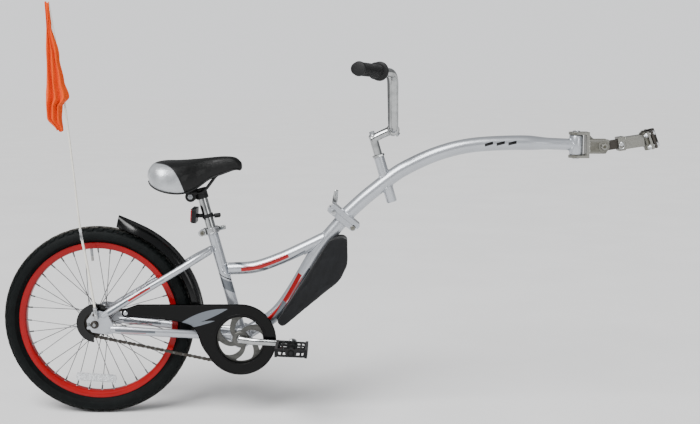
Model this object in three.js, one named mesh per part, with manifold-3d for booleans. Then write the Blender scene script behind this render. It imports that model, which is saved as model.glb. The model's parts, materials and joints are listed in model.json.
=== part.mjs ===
// A child's trailer bike: one wheel, cranks and chain, a folding tow beam and a clamp for a tow bike's seatpost.
// Millimetres, +X forward, +Y to the rider's left, +Z up. Pieces are drawn about the wheel's axle,
// and the whole is then moved so that the origin is the centre of the clamp on the tow bike's seatpost.
import * as THREE from "three";
import { mergeVertices } from "three/addons/utils/BufferGeometryUtils.js";
import { LoftGeometry } from "three/addons/geometries/LoftGeometry.js";
import Module from "manifold-3d";

// Driving dimensions
const gap = { seat: 0.3, weld: 0.3, running: 0.6, cut: 4, weldTolerance: 1e-4 };
const facets = { bar: 8, tube: 12, small: 6, ring: 30, round: 16, bend: 2, roller: 4, run: 7 };

const wheel = {
  radius: 255, tyreWidth: 52, tyreWall: 3, treadWall: 4, tubeGap: 0.4,
  rimEdge: 213, rimInner: 195, rimWidth: 30, rimWall: 3, hookWall: 2.6, beadRadius: 206.5,
  spokes: 36, crosses: 3, spoke: 2, spokeSides: 4, nipple: 4.4, nippleLength: 13,
  rimStagger: 3, holeRing: 42, flange: 48, flangeSpacing: 54, flangeWall: 3, shell: 30, shellEnd: 40,
  neck: 34, valve: 7.6, valveLength: 34, valveAngle: 95,
};
const axle = {
  diameter: 9.5, length: 140, cone: 17, coneReach: 31, nut: 17, nutWidth: 8, washer: 22, washerWall: 1.8,
};
const reflector = { length: 110, height: 21, wall: 6, radius: 158, angle: 266 };

const drive = {
  pitch: 12.7, links: 88, ringTeeth: 36, sprocketTeeth: 18, line: 41, roller: 7.6, seatGap: 0.4,
  innerWidth: 3.5, plateWall: 1.8, plateHeight: 8.4, toothWall: 2.4, stayDrop: 6.52,
  sprocketBody: 50, sprocketWidth: 9, ringBore: 24, ringWindow: 118, ringHub: 46, ringArms: 5,
};
const crank = {
  arm: 140, spindle: 22, offset: 68, armHeight: 19, armWall: 12, eye: 26, eyeWidth: 15, drop: 2.7,
  bossReach: 50, coneDiameter: 36, coneWidth: 7, rise: 30,
};
const pedal = {
  length: 88, across: 84, height: 25, gapToArm: 6, spindle: 9, hub: 19, cage: 7, webWall: 8,
};
const shell = { width: 68, diameter: 55, bore: 46, cup: 4 };
const dropout = {
  spacing: 112, wall: 5, back: 21, front: 49, top: 37, bottom: 26, slotHeight: 10.4, corner: 10,
  eyeletX: 0, eyeletZ: 27, eyelet: 5.4,
};
const seatTube = { length: 300, diameter: 28.6, lean: 15, bore: 25.9, boreDepth: 250 };
const topTube = {
  diameter: 33,
  path: [[349.6, 139], [418.6, 143.8], [483.3, 164.7], [548.2, 193.8], [622.3, 229.9]],
};
const fold = {
  x: 659.7, z: 277.3, tilt: 39.6, length: 100, width: 46, wall: 13.5, corner: 12,
  pinReach: 33.2, pinDrop: 5.3, skewerReach: 32.7, pin: 8, skewer: 6, lug: 15, tongue: 14,
  pinHead: 13, pinHeadWall: 2.6, knuckle: 16.4, hookLength: 23, hookDepth: 11.5, skewerNut: 14, nutWall: 6,
  leverLean: 8, leverLength: 54,
};
const downTube = { diameter: 37, bendX: 480.6, bendZ: 21.4, endReach: 12 };
const stay = {
  chainHeight: 22, chainWidth: 15, seatHeight: 19, seatWidth: 17,
  chainPath: [[0.3, 52], [0.52, 42], [0.66, 34], [0.78, 27], [0.96, 25]],
  seatStart: [17, 21], seatPath: [[235, 150.5, 44], [262, 167, 38], [285, 180, 27], [303, 190.6, 14]],
  bridge: 12,
};
const lever = {
  stand: 9, rod: 5.4, eye: 10, eyeWall: 5.6, pin: 4, cam: 14, camSpread: 6.6, bridge: 6,
  width: 13, wall: 5, bow: 3,
};
const beam = {
  diameter: 39, neckDiameter: 31, neckStartShare: 0.8, neckEndShare: 0.9,
  path: [
    [713.1, 328.8], [749.2, 358.2], [780, 382.2], [806.7, 401], [851, 424.5], [894.9, 443.7],
    [952.9, 461.8], [1010, 471.6], [1116.8, 476.8], [1183.7, 475], [1273.7, 471.2],
  ],
};
const stem = {
  sleeve: 28, sleeveTopX: 749.8, sleeveTopZ: 445.1, sleeveBottomX: 786.7, sleeveBottomZ: 319.4, sleeveLength: 200,
  quill: 22, insert: 96, rise: 54, clampX: 788.8, clampZ: 511.3, clampWidth: 42, clampWall: 5, neck: 21,
  bolt: 8, boltRise: 13,
};
const handlebar = {
  diameter: 22.2, clampHalf: 62, riserX: 786.7, riserZ: 660, riserHalf: 92, gripX: 744.4, gripZ: 667, gripHalf: 163,
  endX: 694.7, endZ: 671, endHalf: 278, bend: 32,
};
const grip = { barrel: 33, flange: 48, flangeWall: 6, end: 36, ends: 4, length: 122 };
const hitch = {
  barrel: 36, barrelHeight: 53, x: 1273.7, z: 471.2, pin: 12, plateWall: 7, width: 40, backWall: 8, backReach: 24,
  pivotX: 1343.5, pivotZ: 467.5, cheekWall: 5, cheekHeight: 38, cheekReach: 14, pivotPin: 10, washer: 29, washerWall: 3,
  bar: 24, barReach: 78, rise: 8.5, tube: 31, tubeStart: 39, collar: 36, collarLength: 18, reach: 125,
  lockAt: 47, lockPin: 6, lockHead: 11,
};
const jaw = {
  post: 27.2, postLean: 21, bore: 28, wall: 6, height: 48, half: 32.5, split: 3, bolt: 7, boltY: 25.5, boltZ: 16,
  head: 12, headWall: 5, boltReach: 17,
};
const collar = {
  diameter: 38, height: 17, rise: -3, earReach: 25, ear: 16, earWidth: 22, split: 2.6, nut: 13, nutWall: 6,
  leverRise: 12, leverLength: 60,
};
const post = {
  diameter: 25.4, insert: 150, rise: 112, band: 26, bandDiameter: 33, tiltDrop: 12, tiltReach: 27, disc: 29,
  lugHalf: 11, discOuter: 22, bolt: 8, boltHead: 6,
};
const rails = {
  wire: 7, bend: 12,
  path: [[192, 379, 42], [226, 347, 22], [286, 345, 21], [322, 393, 16.5], [350, 402, 9]],
};
const saddle = { rearX: 142, length: 247, width: 158, baseZ: 348, height: 95, foam: 20, skin: 7, shell: 5 };
// Shares of the saddle's length, height, width and height: along, crown, half width and skirt.
const saddleStations = [
  [0, 0.62, 0.34, 0.4], [0.05, 0.8, 0.74, 0.22], [0.16, 0.88, 1, 0.08], [0.3, 0.885, 0.98, 0], [0.42, 0.9, 0.84, 0.01],
  [0.54, 0.93, 0.58, 0.14], [0.66, 0.965, 0.4, 0.36], [0.82, 1, 0.31, 0.52], [0.94, 0.96, 0.25, 0.62], [1, 0.82, 0.14, 0.58],
];
const rear = { rise: 38, strap: 10, strapWall: 2.4, reach: 34, stalk: 8, wall: 12, width: 56, height: 40, lift: 2, lean: -4 };
const fender = {
  radius: 282, skirt: 259, width: 61, wall: 2, from: -1, to: 78.2, steps: 16, tailShare: 0.82, tailNarrowShare: 0.75,
  tailFlatShare: 0.5, flare: 7,
};
const guard = {
  windowSides: 24,
  disc: 191, window: 125, face: 52, wall: 1.8, rim: 6.4, boltX: 80, boltZ: 29, rearRound: 10.5, bolt: 6, topX: 110,
  discFrom: 222, discTo: 450, discSteps: 18, rearFrom: 105, rearTo: 262, lower: [[190.5, 9.9], [227, 3], [256.6, -8], [269, -26], [280.5, -60.6]],
  tabWall: 2.6, tabReach: 36,
};
const cover = {
  radius: 51.5, inner: 31, face: 48.4, wall: 1.6, depth: 13, from: 60, faceFrom: 42, to: 262, boss: 7, bossRadius: 36,
  bossAngle: 50,
};
const flag = {
  lower: 6.4, upper: 5, ferrule: 30, ferruleWidth: 9, jointShare: 0.27, bracket: 17, bracketWall: 3,
  socket: 26, socketWidth: 11, cloth: 2,
  path: [[6.6, 22], [-14.4, 168], [-27.6, 250], [-42, 414], [-55, 553], [-70.6, 697], [-91.5, 841]],
};
// Rows of the flag from its top: height, left and right edge, and how deep its folds are.
const flagRows = [
  [838, -99, -89, 2], [780, -98, -84, 6], [700, -99, -66, 12], [640, -101, -56, 17], [598, -103, -45, 20],
  [575, -104, -62, 18], [545, -104, -64, 15], [512, -80, -62, 8],
];
const flagFoldShares = [[0, 0.2], [0.22, 0.9], [0.45, 0.1], [0.68, 1], [0.85, 0.4], [1, 0]];
const bag = {
  width: 66, outline: [[478, -2], [493.2, -15], [560, 40], [648.7, 112.8], [668, 155], [668, 219.7], [656, 228], [625, 226]],
};

const wasm = await Module();
wasm.setup();
const rad = THREE.MathUtils.degToRad;
const at = (x, y, z) => new THREE.Vector3(x, y, z);
const yAxis = at(0, 1, 0);

// A closed geometry as a solid that can be joined and cut; one drawn inside out is turned.
function solid(geometry) {
  const plain = new THREE.BufferGeometry();
  plain.setAttribute("position", geometry.getAttribute("position"));
  if (geometry.index) plain.setIndex(geometry.index);
  const merged = mergeVertices(plain, gap.weldTolerance);
  const corners = Array.from(merged.index.array);
  const build = (order) => {
    const triVerts = [];
    for (let i = 0; i < corners.length; i += 3) {
      const [a, b, c] = order.map((k) => corners[i + k]);
      if (a !== b && b !== c && c !== a) triVerts.push(a, b, c);
    }
    const vertProperties = merged.attributes.position.array;
    const mesh = new wasm.Mesh({ numProp: 3, vertProperties, triVerts: new Uint32Array(triVerts) });
    mesh.merge();
    return new wasm.Manifold(mesh);
  };
  const made = build([0, 1, 2]);
  return made.volume() < 0 ? build([0, 2, 1]) : made;
}

const join = (...solids) => solids.flat().reduce((a, b) => a.add(b));
const cut = (body, ...tools) => tools.flat().reduce((a, b) => a.subtract(b), body);

// A solid's surface as a three.js geometry.
function surface(body) {
  const mesh = body.getMesh();
  const positions = new Float32Array(mesh.numVert * 3);
  for (let i = 0; i < mesh.numVert; i++) {
    positions.set(mesh.vertProperties.subarray(i * mesh.numProp, i * mesh.numProp + 3), i * 3);
  }
  const geometry = new THREE.BufferGeometry();
  geometry.setAttribute("position", new THREE.BufferAttribute(positions, 3));
  geometry.setIndex(new THREE.BufferAttribute(mesh.triVerts, 1));
  return geometry;
}

// A round bar between two points, with its own radius at each end.
function bar(from, to, radius, endRadius = radius, sides = facets.bar) {
  const along = to.clone().sub(from);
  const geometry = new THREE.CylinderGeometry(endRadius, radius, along.length(), sides);
  geometry.applyQuaternion(
    new THREE.Quaternion().setFromUnitVectors(yAxis, along.clone().normalize()),
  );
  const middle = from.clone().add(to).divideScalar(2);
  return solid(geometry.translate(middle.x, middle.y, middle.z));
}

// A round bar along Y at a place in the XZ plane.
const crossBar = (place, yLow, yHigh, radius, sides = facets.bar) =>
  bar(at(place.x, yLow, place.z), at(place.x, yHigh, place.z), radius, radius, sides);

// A round hole whose flats, not its corners, keep the radius.
const hole = (from, to, radius, sides = facets.bar) => {
  const corner = radius / Math.cos(Math.PI / sides);
  return bar(from, to, corner, corner, sides);
};
const crossHole = (place, yLow, yHigh, radius, sides = facets.bar) =>
  hole(at(place.x, yLow, place.z), at(place.x, yHigh, place.z), radius, sides);

// A range along Y on the left side, or mirrored on the right.
const spanY = (side, a, b) => (side > 0 ? [a, b] : [-b, -a]);

// A profile of [radius, height] points turned about Y.
const turned = (profile, sides = facets.ring) =>
  solid(new THREE.LatheGeometry(profile.map(([r, y]) => new THREE.Vector2(r, y)), sides, Math.PI / sides));
const turnedRing = (profile, sides) => turned([...profile, profile[0]], sides);

// A flat plate in the XZ plane from one Y to another; its outline is a Shape or a list of [x, z] points.
function plate(outline, yLow, yHigh, curveSegments = facets.small) {
  const shape = outline.isShape
    ? outline
    : new THREE.Shape(outline.map(([x, z]) => new THREE.Vector2(x, z)));
  const geometry = new THREE.ExtrudeGeometry(shape, {
    depth: yHigh - yLow, bevelEnabled: false, curveSegments, steps: 1,
  });
  return solid(geometry.rotateX(Math.PI / 2).translate(0, yHigh, 0));
}

// A block about a centre, turned about Y by an angle in degrees that lifts +X towards +Z.
function block(centre, length, width, height, lift = 0) {
  const geometry = new THREE.BoxGeometry(length, width, height);
  return solid(geometry.rotateY(-rad(lift)).translate(centre.x, centre.y, centre.z));
}

// A capped loft through sections; rings drawn clockwise about the way ahead are turned.
function loft(sections) {
  const [ring, next] = sections;
  const normal = at(0, 0, 0);
  const ahead = at(0, 0, 0);
  ring.forEach((point, k) => {
    normal.add(point.clone().cross(ring[(k + 1) % ring.length]));
    ahead.add(next[k]).sub(point);
  });
  const turnedRings = normal.dot(ahead) < 0 ? sections.map((points) => [...points].reverse()) : sections;
  return solid(new LoftGeometry(turnedRings, { capStart: true, capEnd: true }));
}

// A smooth curve through points.
const curveThrough = (points) => new THREE.CatmullRomCurve3(points, false, "centripetal");

// A tube lofted along a curve: size gives [half height, half width along Y] at a share of its length.
function tube(curve, steps, size, sides = facets.tube) {
  const sections = [];
  for (let i = 0; i <= steps; i++) {
    const share = i / steps;
    const centre = curve.getPointAt(share);
    const tangent = curve.getTangentAt(share);
    const side = yAxis.clone().addScaledVector(tangent, -tangent.y).normalize();
    const up = tangent.clone().cross(side);
    const [high, wide] = size(share);
    sections.push(ringOf(centre, up, side, high, wide, sides));
  }
  return loft(sections);
}

// The points of one oval section.
function ringOf(centre, up, side, high, wide, sides) {
  return Array.from({ length: sides }, (_, k) => {
    const angle = (2 * Math.PI * k) / sides;
    return centre.clone()
      .addScaledVector(up, high * Math.cos(angle))
      .addScaledVector(side, wide * Math.sin(angle));
  });
}

// A point on a circle in the XZ plane, at an angle in degrees from +X towards +Z.
const onCircle = (radius, degrees, y = 0, centre = at(0, 0, 0)) =>
  at(centre.x + radius * Math.cos(rad(degrees)), y, centre.z + radius * Math.sin(rad(degrees)));

const whole = new THREE.Group();

// One named piece with its colour, roughness and metalness.
function piece(name, body, finish) {
  const mesh = new THREE.Mesh(surface(body), finish);
  mesh.name = name;
  whole.add(mesh);
  return mesh;
}

const finish = (color, roughness, metalness) =>
  new THREE.MeshStandardMaterial({ color, roughness, metalness });
const silverPaint = finish(0xc9ccd0, 0.35, 0.6);
const redPaint = finish(0xd0161b, 0.35, 0.2);
const chrome = finish(0xd8dadc, 0.12, 1);
const zinc = finish(0x9a978a, 0.4, 0.9);
const darkSteel = finish(0x34322e, 0.5, 0.8);
const greySteel = finish(0x77766e, 0.45, 0.8);
const blackPlastic = finish(0x141415, 0.35, 0);
const blackGloss = finish(0x0c0c0d, 0.18, 0);
const tyreRubber = finish(0x1b1b1c, 0.85, 0);
const gripRubber = finish(0x161617, 0.75, 0);
const saddleSkin = finish(0x19191b, 0.5, 0);
const bagFabric = finish(0x2c2c2e, 0.9, 0);
const flagCloth = finish(0xff6a1a, 0.8, 0);
const fibreglass = finish(0xe9e6da, 0.5, 0);
const clearPlastic = finish(0xe9eef0, 0.15, 0);
const redPlastic = finish(0xb01218, 0.25, 0);

// Wheel: the section of tyre and inner tube follows one rule, inset by a wall.
const tyreRound = wheel.tyreWidth / 2;
const tyreCentre = wheel.radius - tyreRound;
const casingAngles = [105, 55, 0, -55, -105];
function tyreSection(inset, treadInset, bead, roundAngles = casingAngles) {
  const neck = wheel.rimWidth / 2 - wheel.hookWall - gap.seat - inset;
  const round = roundAngles.map((angle) => {
    const reach = tyreRound - (angle === 0 ? treadInset : inset);
    return [tyreCentre + reach * Math.cos(rad(angle)), reach * Math.sin(rad(angle))];
  });
  const foot = [[bead, neck], [wheel.rimEdge + gap.running, neck]];
  return [...foot, ...round, ...foot.map(([r, y]) => [r, -y]).reverse()];
}

function tyre() {
  const outer = tyreSection(0, 0, wheel.beadRadius, [105, 60, 25, 0, -25, -60, -105]);
  const inner = tyreSection(wheel.tyreWall, wheel.treadWall, wheel.beadRadius);
  return turnedRing([...outer, ...inner.reverse()]);
}

// The inner tube fills the casing and carries the valve, which passes through the rim.
function innerTube() {
  const wall = wheel.tyreWall + wheel.tubeGap;
  const ring = turnedRing(tyreSection(wall, wheel.treadWall + wheel.tubeGap, wheel.beadRadius + wall));
  const foot = wheel.rimInner - wheel.valveLength;
  const valve = bar(
    onCircle(foot, wheel.valveAngle),
    onCircle(wheel.beadRadius + wheel.valve, wheel.valveAngle),
    wheel.valve / 2, wheel.valve / 2, facets.small,
  );
  return join(ring, valve);
}

function rimProfile() {
  const edge = wheel.rimWidth / 2;
  const hook = edge - wheel.hookWall;
  const floor = wheel.rimInner + wheel.rimWall;
  const shoulder = wheel.beadRadius - gap.seat;
  const outside = [[wheel.rimEdge, edge], [shoulder, edge], [wheel.rimInner, edge / 2]];
  const inside = [[floor, edge / 2], [shoulder, hook], [wheel.rimEdge, hook]];
  const mirrored = (points) => points.filter(([, y]) => y > 0).map(([r, y]) => [r, -y]);
  return [...outside, ...mirrored(outside).reverse(), ...mirrored(inside).reverse(), ...inside];
}

// Where a spoke leaves the hub's flange and where its nipple meets the rim.
function spokeEnds(k) {
  const side = k % 2 ? 1 : -1;
  const leading = Math.floor(k / 2) % 2 ? 1 : -1;
  const rimAngle = (360 / wheel.spokes) * k;
  const hubAngle = rimAngle + leading * wheel.crosses * (720 / wheel.spokes);
  const face = (wheel.flangeSpacing + leading * (wheel.flangeWall + wheel.spoke)) / 2;
  const hub = onCircle(wheel.holeRing / 2, hubAngle, side * (face - leading * gap.seat));
  const rim = onCircle(wheel.rimInner, rimAngle, (side * wheel.rimStagger) / 2);
  return { hub, rim, along: rim.clone().sub(hub).normalize() };
}
const spokeNumbers = Array.from({ length: wheel.spokes }, (_, k) => k);

function rim() {
  const valveHole = hole(
    onCircle(wheel.rimInner - gap.cut, wheel.valveAngle),
    onCircle(wheel.rimEdge, wheel.valveAngle), wheel.valve / 2 + gap.seat, facets.small,
  );
  return cut(turnedRing(rimProfile()), valveHole);
}

const rimSag = wheel.rimInner * (1 - Math.cos(Math.PI / facets.ring));
function hubAndSpokes() {
  const bore = axle.cone / 2 + gap.running;
  const inFlange = (wheel.flangeSpacing - wheel.flangeWall) / 2;
  const outFlange = (wheel.flangeSpacing + wheel.flangeWall) / 2;
  const barrel = wheel.shell / 2;
  const half = [
    [barrel, inFlange], [wheel.flange / 2, inFlange], [wheel.flange / 2, outFlange],
    [wheel.neck / 2, outFlange], [wheel.neck / 2, wheel.shellEnd + drive.sprocketWidth / 2],
    [bore, wheel.shellEnd + drive.sprocketWidth / 2],
    [bore, axle.coneReach - gap.running], [axle.diameter / 2 + gap.running, axle.coneReach - gap.running],
  ];
  const shellBody = turnedRing([...half.map(([r, y]) => [r, -y]).reverse(), ...half], facets.round);
  const spokes = spokeNumbers.map((k) => {
    const { hub, rim: foot, along } = spokeEnds(k);
    const side = yAxis.clone().addScaledVector(along, -along.y).normalize();
    const up = along.clone().cross(side);
    const neck = foot.clone().addScaledVector(along, -wheel.nippleLength);
    const end = foot.clone().addScaledVector(along, -rimSag - gap.seat);
    const stations = [[hub, wheel.spoke], [neck, wheel.spoke], [neck, wheel.nipple], [end, wheel.nipple]];
    return loft(stations.map(([place, width]) => ringOf(place, up, side, width / 2, width / 2, wheel.spokeSides)));
  });
  return join(shellBody, spokes);
}

// The axle with the cones and locknuts screwed down on it, up to the frame's dropouts.
function rearAxle() {
  const thread = axle.diameter / 2;
  const end = axle.length / 2;
  const inner = dropout.spacing / 2 - gap.seat;
  const half = [
    [thread, axle.coneReach], [axle.cone / 2, axle.coneReach], [axle.cone / 2, inner],
    [thread, inner], [thread, end], [0, end],
  ];
  return turned([...half.map(([r, y]) => [r, -y]).reverse(), ...half], facets.tube);
}

function axleNut(side) {
  const face = dropout.spacing / 2 + dropout.wall + gap.seat;
  const washer = crossBar(at(0, 0, 0), ...spanY(side, face, face + axle.washerWall), axle.washer / 2, facets.tube);
  const nut = crossBar(at(0, 0, 0), ...spanY(side, face + axle.washerWall / 2, face + axle.nutWidth), axle.nut / 2,
    facets.small);
  const bore = crossHole(at(0, 0, 0), ...spanY(side, face - gap.cut, face + axle.nutWidth + gap.cut),
    axle.diameter / 2 + gap.seat);
  return cut(join(washer, nut), bore);
}

// A clear reflector that clips on the outer faces of the right-hand spokes.
function spokeReflector() {
  const { hub, rim: foot } = spokeEnds(0);
  const innerEdge = reflector.radius - reflector.height / 2;
  const share = (innerEdge - wheel.holeRing / 2) / (wheel.rimInner - wheel.holeRing / 2);
  const spokeFace = THREE.MathUtils.lerp(hub.y, foot.y, share) - wheel.spoke / 2 - gap.running;
  const centre = onCircle(reflector.radius, reflector.angle, spokeFace - reflector.wall / 2);
  return block(centre, reflector.length, reflector.wall, reflector.height, reflector.angle + 90);
}

// Chain drive: the axle sits where the chain closes on whole links.
const pitchRadius = (teeth) => drive.pitch / (2 * Math.sin(Math.PI / teeth));
const sprocketRadius = pitchRadius(drive.sprocketTeeth);
const ringRadius = pitchRadius(drive.ringTeeth);
function chainRuns(centres) {
  const tilt = Math.asin((ringRadius - sprocketRadius) / centres);
  const straight = (centres * Math.cos(tilt)) / drive.pitch;
  const onRing = drive.ringTeeth * (1 / 2 + tilt / Math.PI);
  const onSprocket = drive.sprocketTeeth * (1 / 2 - tilt / Math.PI);
  return { tilt, straight, onRing, onSprocket, total: 2 * straight + onRing + onSprocket };
}
function closedCentres() {
  let centres = (drive.links * drive.pitch) / 3;
  for (let round = 0; round < 20; round++) {
    centres += ((drive.links - chainRuns(centres).total) * drive.pitch) / 2;
  }
  return centres;
}
const chainCentres = closedCentres();
const runs = chainRuns(chainCentres);
const contact = 90 + THREE.MathUtils.radToDeg(runs.tilt);
const crankCentre = onCircle(chainCentres, -drive.stayDrop);
const ringAngle = (steps) => contact - drive.stayDrop - steps * (360 / drive.ringTeeth);
const sprocketAngle = (steps) => -contact - drive.stayDrop - steps * (360 / drive.sprocketTeeth);

// A place on the chain's loop, counted in links from the top of the sprocket.
function chainPoint(count) {
  const along = count % drive.links;
  const toRing = along - runs.straight;
  const toBottom = toRing - runs.onRing;
  const toSprocket = toBottom - runs.straight;
  const top = onCircle(sprocketRadius, contact - drive.stayDrop);
  if (toRing < 0) return top.lerp(onCircle(ringRadius, ringAngle(0), 0, crankCentre), along / runs.straight);
  if (toBottom < 0) return onCircle(ringRadius, ringAngle(toRing), 0, crankCentre);
  const bottom = onCircle(ringRadius, -contact - drive.stayDrop, 0, crankCentre);
  if (toSprocket < 0) return bottom.lerp(onCircle(sprocketRadius, sprocketAngle(0)), toBottom / runs.straight);
  return onCircle(sprocketRadius, sprocketAngle(toSprocket));
}

// One side of the chain: its link plates as one band through every pin.
function chainSide(side) {
  const sections = [];
  const direction = (k) => chainPoint(k + 1).sub(chainPoint(k)).normalize();
  for (let k = 0; k < drive.links; k++) {
    const along = direction(k).add(direction(k + drive.links - 1)).normalize();
    const normal = along.cross(yAxis).multiplyScalar(drive.plateHeight / 2);
    const inner = (side * drive.innerWidth) / 2 - drive.line;
    const outer = inner + side * drive.plateWall;
    sections.push(
      [[1, inner], [1, outer], [-1, outer], [-1, inner]].map(([sign, y]) =>
        chainPoint(k).addScaledVector(normal, sign).setY(y)),
    );
  }
  sections.push(sections[0].map((point) => point.clone()));
  return solid(new LoftGeometry(sections));
}

function chain() {
  const half = (drive.innerWidth + drive.plateWall) / 2;
  const rollers = Array.from({ length: drive.links }, (_, k) =>
    crossBar(chainPoint(k), -drive.line - half, -drive.line + half, drive.roller / 2, facets.roller));
  return join(chainSide(1), chainSide(-1), rollers);
}

// A toothed outline whose roots hold the chain's rollers; one root lies at the given angle.
function toothed(teeth, radius, rootAngle, centre) {
  const reach = drive.roller / 2 + drive.seatGap;
  const rootShares = [[-1.095, -0.143], [-0.476, -1], [0.476, -1], [1.095, -0.143]];
  const tipShares = [[0, 0.27]];
  const points = [];
  const add = (degrees, sideways, outward) => {
    const place = onCircle(radius + outward, degrees, 0, centre);
    points.push([
      place.x - sideways * Math.sin(rad(degrees)), place.z + sideways * Math.cos(rad(degrees)),
    ]);
  };
  for (let k = 0; k < teeth; k++) {
    const root = rootAngle + (360 / teeth) * k;
    rootShares.forEach(([sideways, outward]) => add(root, sideways * reach, outward * reach));
    tipShares.forEach(([sideways, outward]) =>
      add(root + 180 / teeth, sideways * drive.pitch, outward * drive.pitch));
  }
  return points;
}

const firstOnRing = Math.ceil(runs.straight) - runs.straight;
const beforeSprocket = 2 * runs.straight + runs.onRing;
const firstOnSprocket = Math.ceil(beforeSprocket) - beforeSprocket;

function sprocket() {
  const half = drive.toothWall / 2;
  const bore = wheel.neck / 2 + gap.seat;
  const outline = toothed(drive.sprocketTeeth, sprocketRadius, sprocketAngle(firstOnSprocket), at(0, 0, 0));
  const disc = plate(outline, -drive.line - half, -drive.line + half);
  const low = -drive.line - drive.sprocketWidth / 2;
  const high = -drive.line + drive.sprocketWidth / 2;
  const body = crossBar(at(0, 0, 0), low, high, drive.sprocketBody / 2, facets.round);
  return cut(join(disc, body), crossHole(at(0, 0, 0), low - gap.cut, high + gap.cut, bore, facets.round));
}

// The chainring has swept arms: each window lies between two of them.
function ringWindow(k) {
  const sweep = 46;
  const innerR = drive.ringHub / 2;
  const outerR = drive.ringWindow / 2;
  const armHalfShares = [0.2, 0.17];
  const steps = 4;
  const pitchAngle = 360 / drive.ringArms;
  const edge = (share, side) => {
    const halfArm = pitchAngle * THREE.MathUtils.lerp(armHalfShares[0], armHalfShares[1], share);
    const start = pitchAngle * (side > 0 ? k : k + 1) + side * halfArm;
    const place = onCircle(innerR + (outerR - innerR) * share, start - sweep * share, 0, crankCentre);
    return [place.x, place.z];
  };
  const shares = Array.from({ length: steps + 1 }, (_, i) => i / steps);
  const rimArc = shares.slice(1, -1).map((share) => {
    const from = pitchAngle * (k + armHalfShares[1]);
    const to = pitchAngle * (k + 1 - armHalfShares[1]);
    const place = onCircle(outerR, from + (to - from) * share - sweep, 0, crankCentre);
    return [place.x, place.z];
  });
  return [
    ...shares.map((share) => edge(share, 1)), ...rimArc,
    ...shares.map((share) => edge(share, -1)).reverse(),
  ];
}

function chainring() {
  const half = drive.toothWall / 2;
  const outline = toothed(drive.ringTeeth, ringRadius, ringAngle(firstOnRing), crankCentre);
  const low = -drive.line - half;
  const high = -drive.line + half;
  const windows = Array.from({ length: drive.ringArms }, (_, k) =>
    plate(ringWindow(k), low - gap.cut, high + gap.cut));
  const bore = crossHole(crankCentre, low - gap.cut, high + gap.cut, crank.spindle / 2 + gap.seat);
  return cut(plate(outline, low, high), windows, bore);
}

// Cranks: one forging, drawn with the right-hand arm along +X and then turned to its place.
const crankTurn = new THREE.Matrix4()
  .makeTranslation(crankCentre.x, 0, crankCentre.z)
  .multiply(new THREE.Matrix4().makeRotationY(rad(crank.drop)));
const onCrank = (body) => solid(surface(body).applyMatrix4(crankTurn));

function cranks() {
  const armEnd = (side) => at(-side * crank.arm, side * crank.offset, 0);
  const arm = (side) => {
    const riseShares = [[0, 0.76], [0.12, 0.87], [0.27, 0.97], [1, 1]];
    const points = riseShares.map(([along, out]) =>
      at(-side * along * crank.arm, side * out * crank.offset, 0));
    const taperShare = 0.2;
    const size = (share) =>
      [(crank.armHeight / 2) * (1 - taperShare * share), (crank.armWall / 2) * (1 - taperShare * share / 2)];
    const eyeLow = side * crank.offset - crank.eyeWidth / 2;
    const eye = crossBar(armEnd(side), eyeLow, eyeLow + crank.eyeWidth, crank.eye / 2, facets.tube);
    return join(tube(curveThrough(points), facets.run, size, facets.bar), eye);
  };
  const reach = crank.offset * 0.8;
  const spindle = crossBar(at(0, 0, 0), -reach, reach, crank.spindle / 2, facets.tube);
  const threads = [1, -1].map((side) =>
    crossHole(armEnd(side), side * crank.offset - crank.eye, side * crank.offset + crank.eye,
      pedal.spindle / 2 + gap.seat));
  return onCrank(cut(join(spindle, arm(1), arm(-1)), threads));
}

function crankCone(side) {
  const inner = shell.width / 2 - crank.coneWidth;
  const outer = drive.line - drive.toothWall / 2 - gap.seat;
  return cut(
    crossBar(crankCentre, ...spanY(side, inner, outer), crank.coneDiameter / 2, facets.round),
    crossHole(crankCentre, ...spanY(side, inner - gap.cut, outer + gap.cut), crank.spindle / 2 + gap.seat),
  );
}

// Pedals: an open platform round a barrel that turns on a spindle screwed into the arm.
const pedalInner = crank.offset + crank.eyeWidth / 2 + pedal.gapToArm;
const pedalOuter = pedalInner + pedal.length;
const pedalX = (side) => -side * crank.arm;

function pedalSpindle(side) {
  const end = pedalOuter - pedal.hub;
  const shaft = crossBar(at(pedalX(side), 0, 0), ...spanY(side, crank.offset - crank.eyeWidth / 2, end),
    pedal.spindle / 2);
  const face = crank.offset + crank.eyeWidth / 2 + gap.seat;
  const collar = crossBar(at(pedalX(side), 0, 0), ...spanY(side, face, pedalInner - gap.seat),
    pedal.spindle, facets.small);
  return onCrank(join(shaft, collar));
}

function pedalBody(side) {
  const x = pedalX(side);
  const span = (a, b) => spanY(side, a, b);
  const slab = (xLow, xHigh, half, range) =>
    plate([[xLow, -half], [xHigh, -half], [xHigh, half], [xLow, half]], ...range);
  const edge = pedal.across / 2;
  const half = pedal.height / 2;
  const slim = half * 0.8;
  const rails = [1, -1].map((end) =>
    slab(...[x + end * edge, x + end * (edge - pedal.cage)].sort((a, b) => a - b), half,
      span(pedalInner, pedalOuter)));
  const webs = [0, 0.46, 1].map((share) => {
    const start = pedalInner + share * (pedal.length - pedal.webWall);
    return slab(x - edge + pedal.cage / 2, x + edge - pedal.cage / 2, slim, span(start, start + pedal.webWall));
  });
  const barrel = crossBar(at(x, 0, 0), ...span(pedalInner, pedalOuter), pedal.hub / 2);
  const bore = crossHole(at(x, 0, 0), ...span(pedalInner - gap.cut, pedalOuter - pedal.hub / 2),
    pedal.spindle / 2 + gap.running);
  return onCrank(cut(join(rails, webs, barrel), bore));
}

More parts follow.
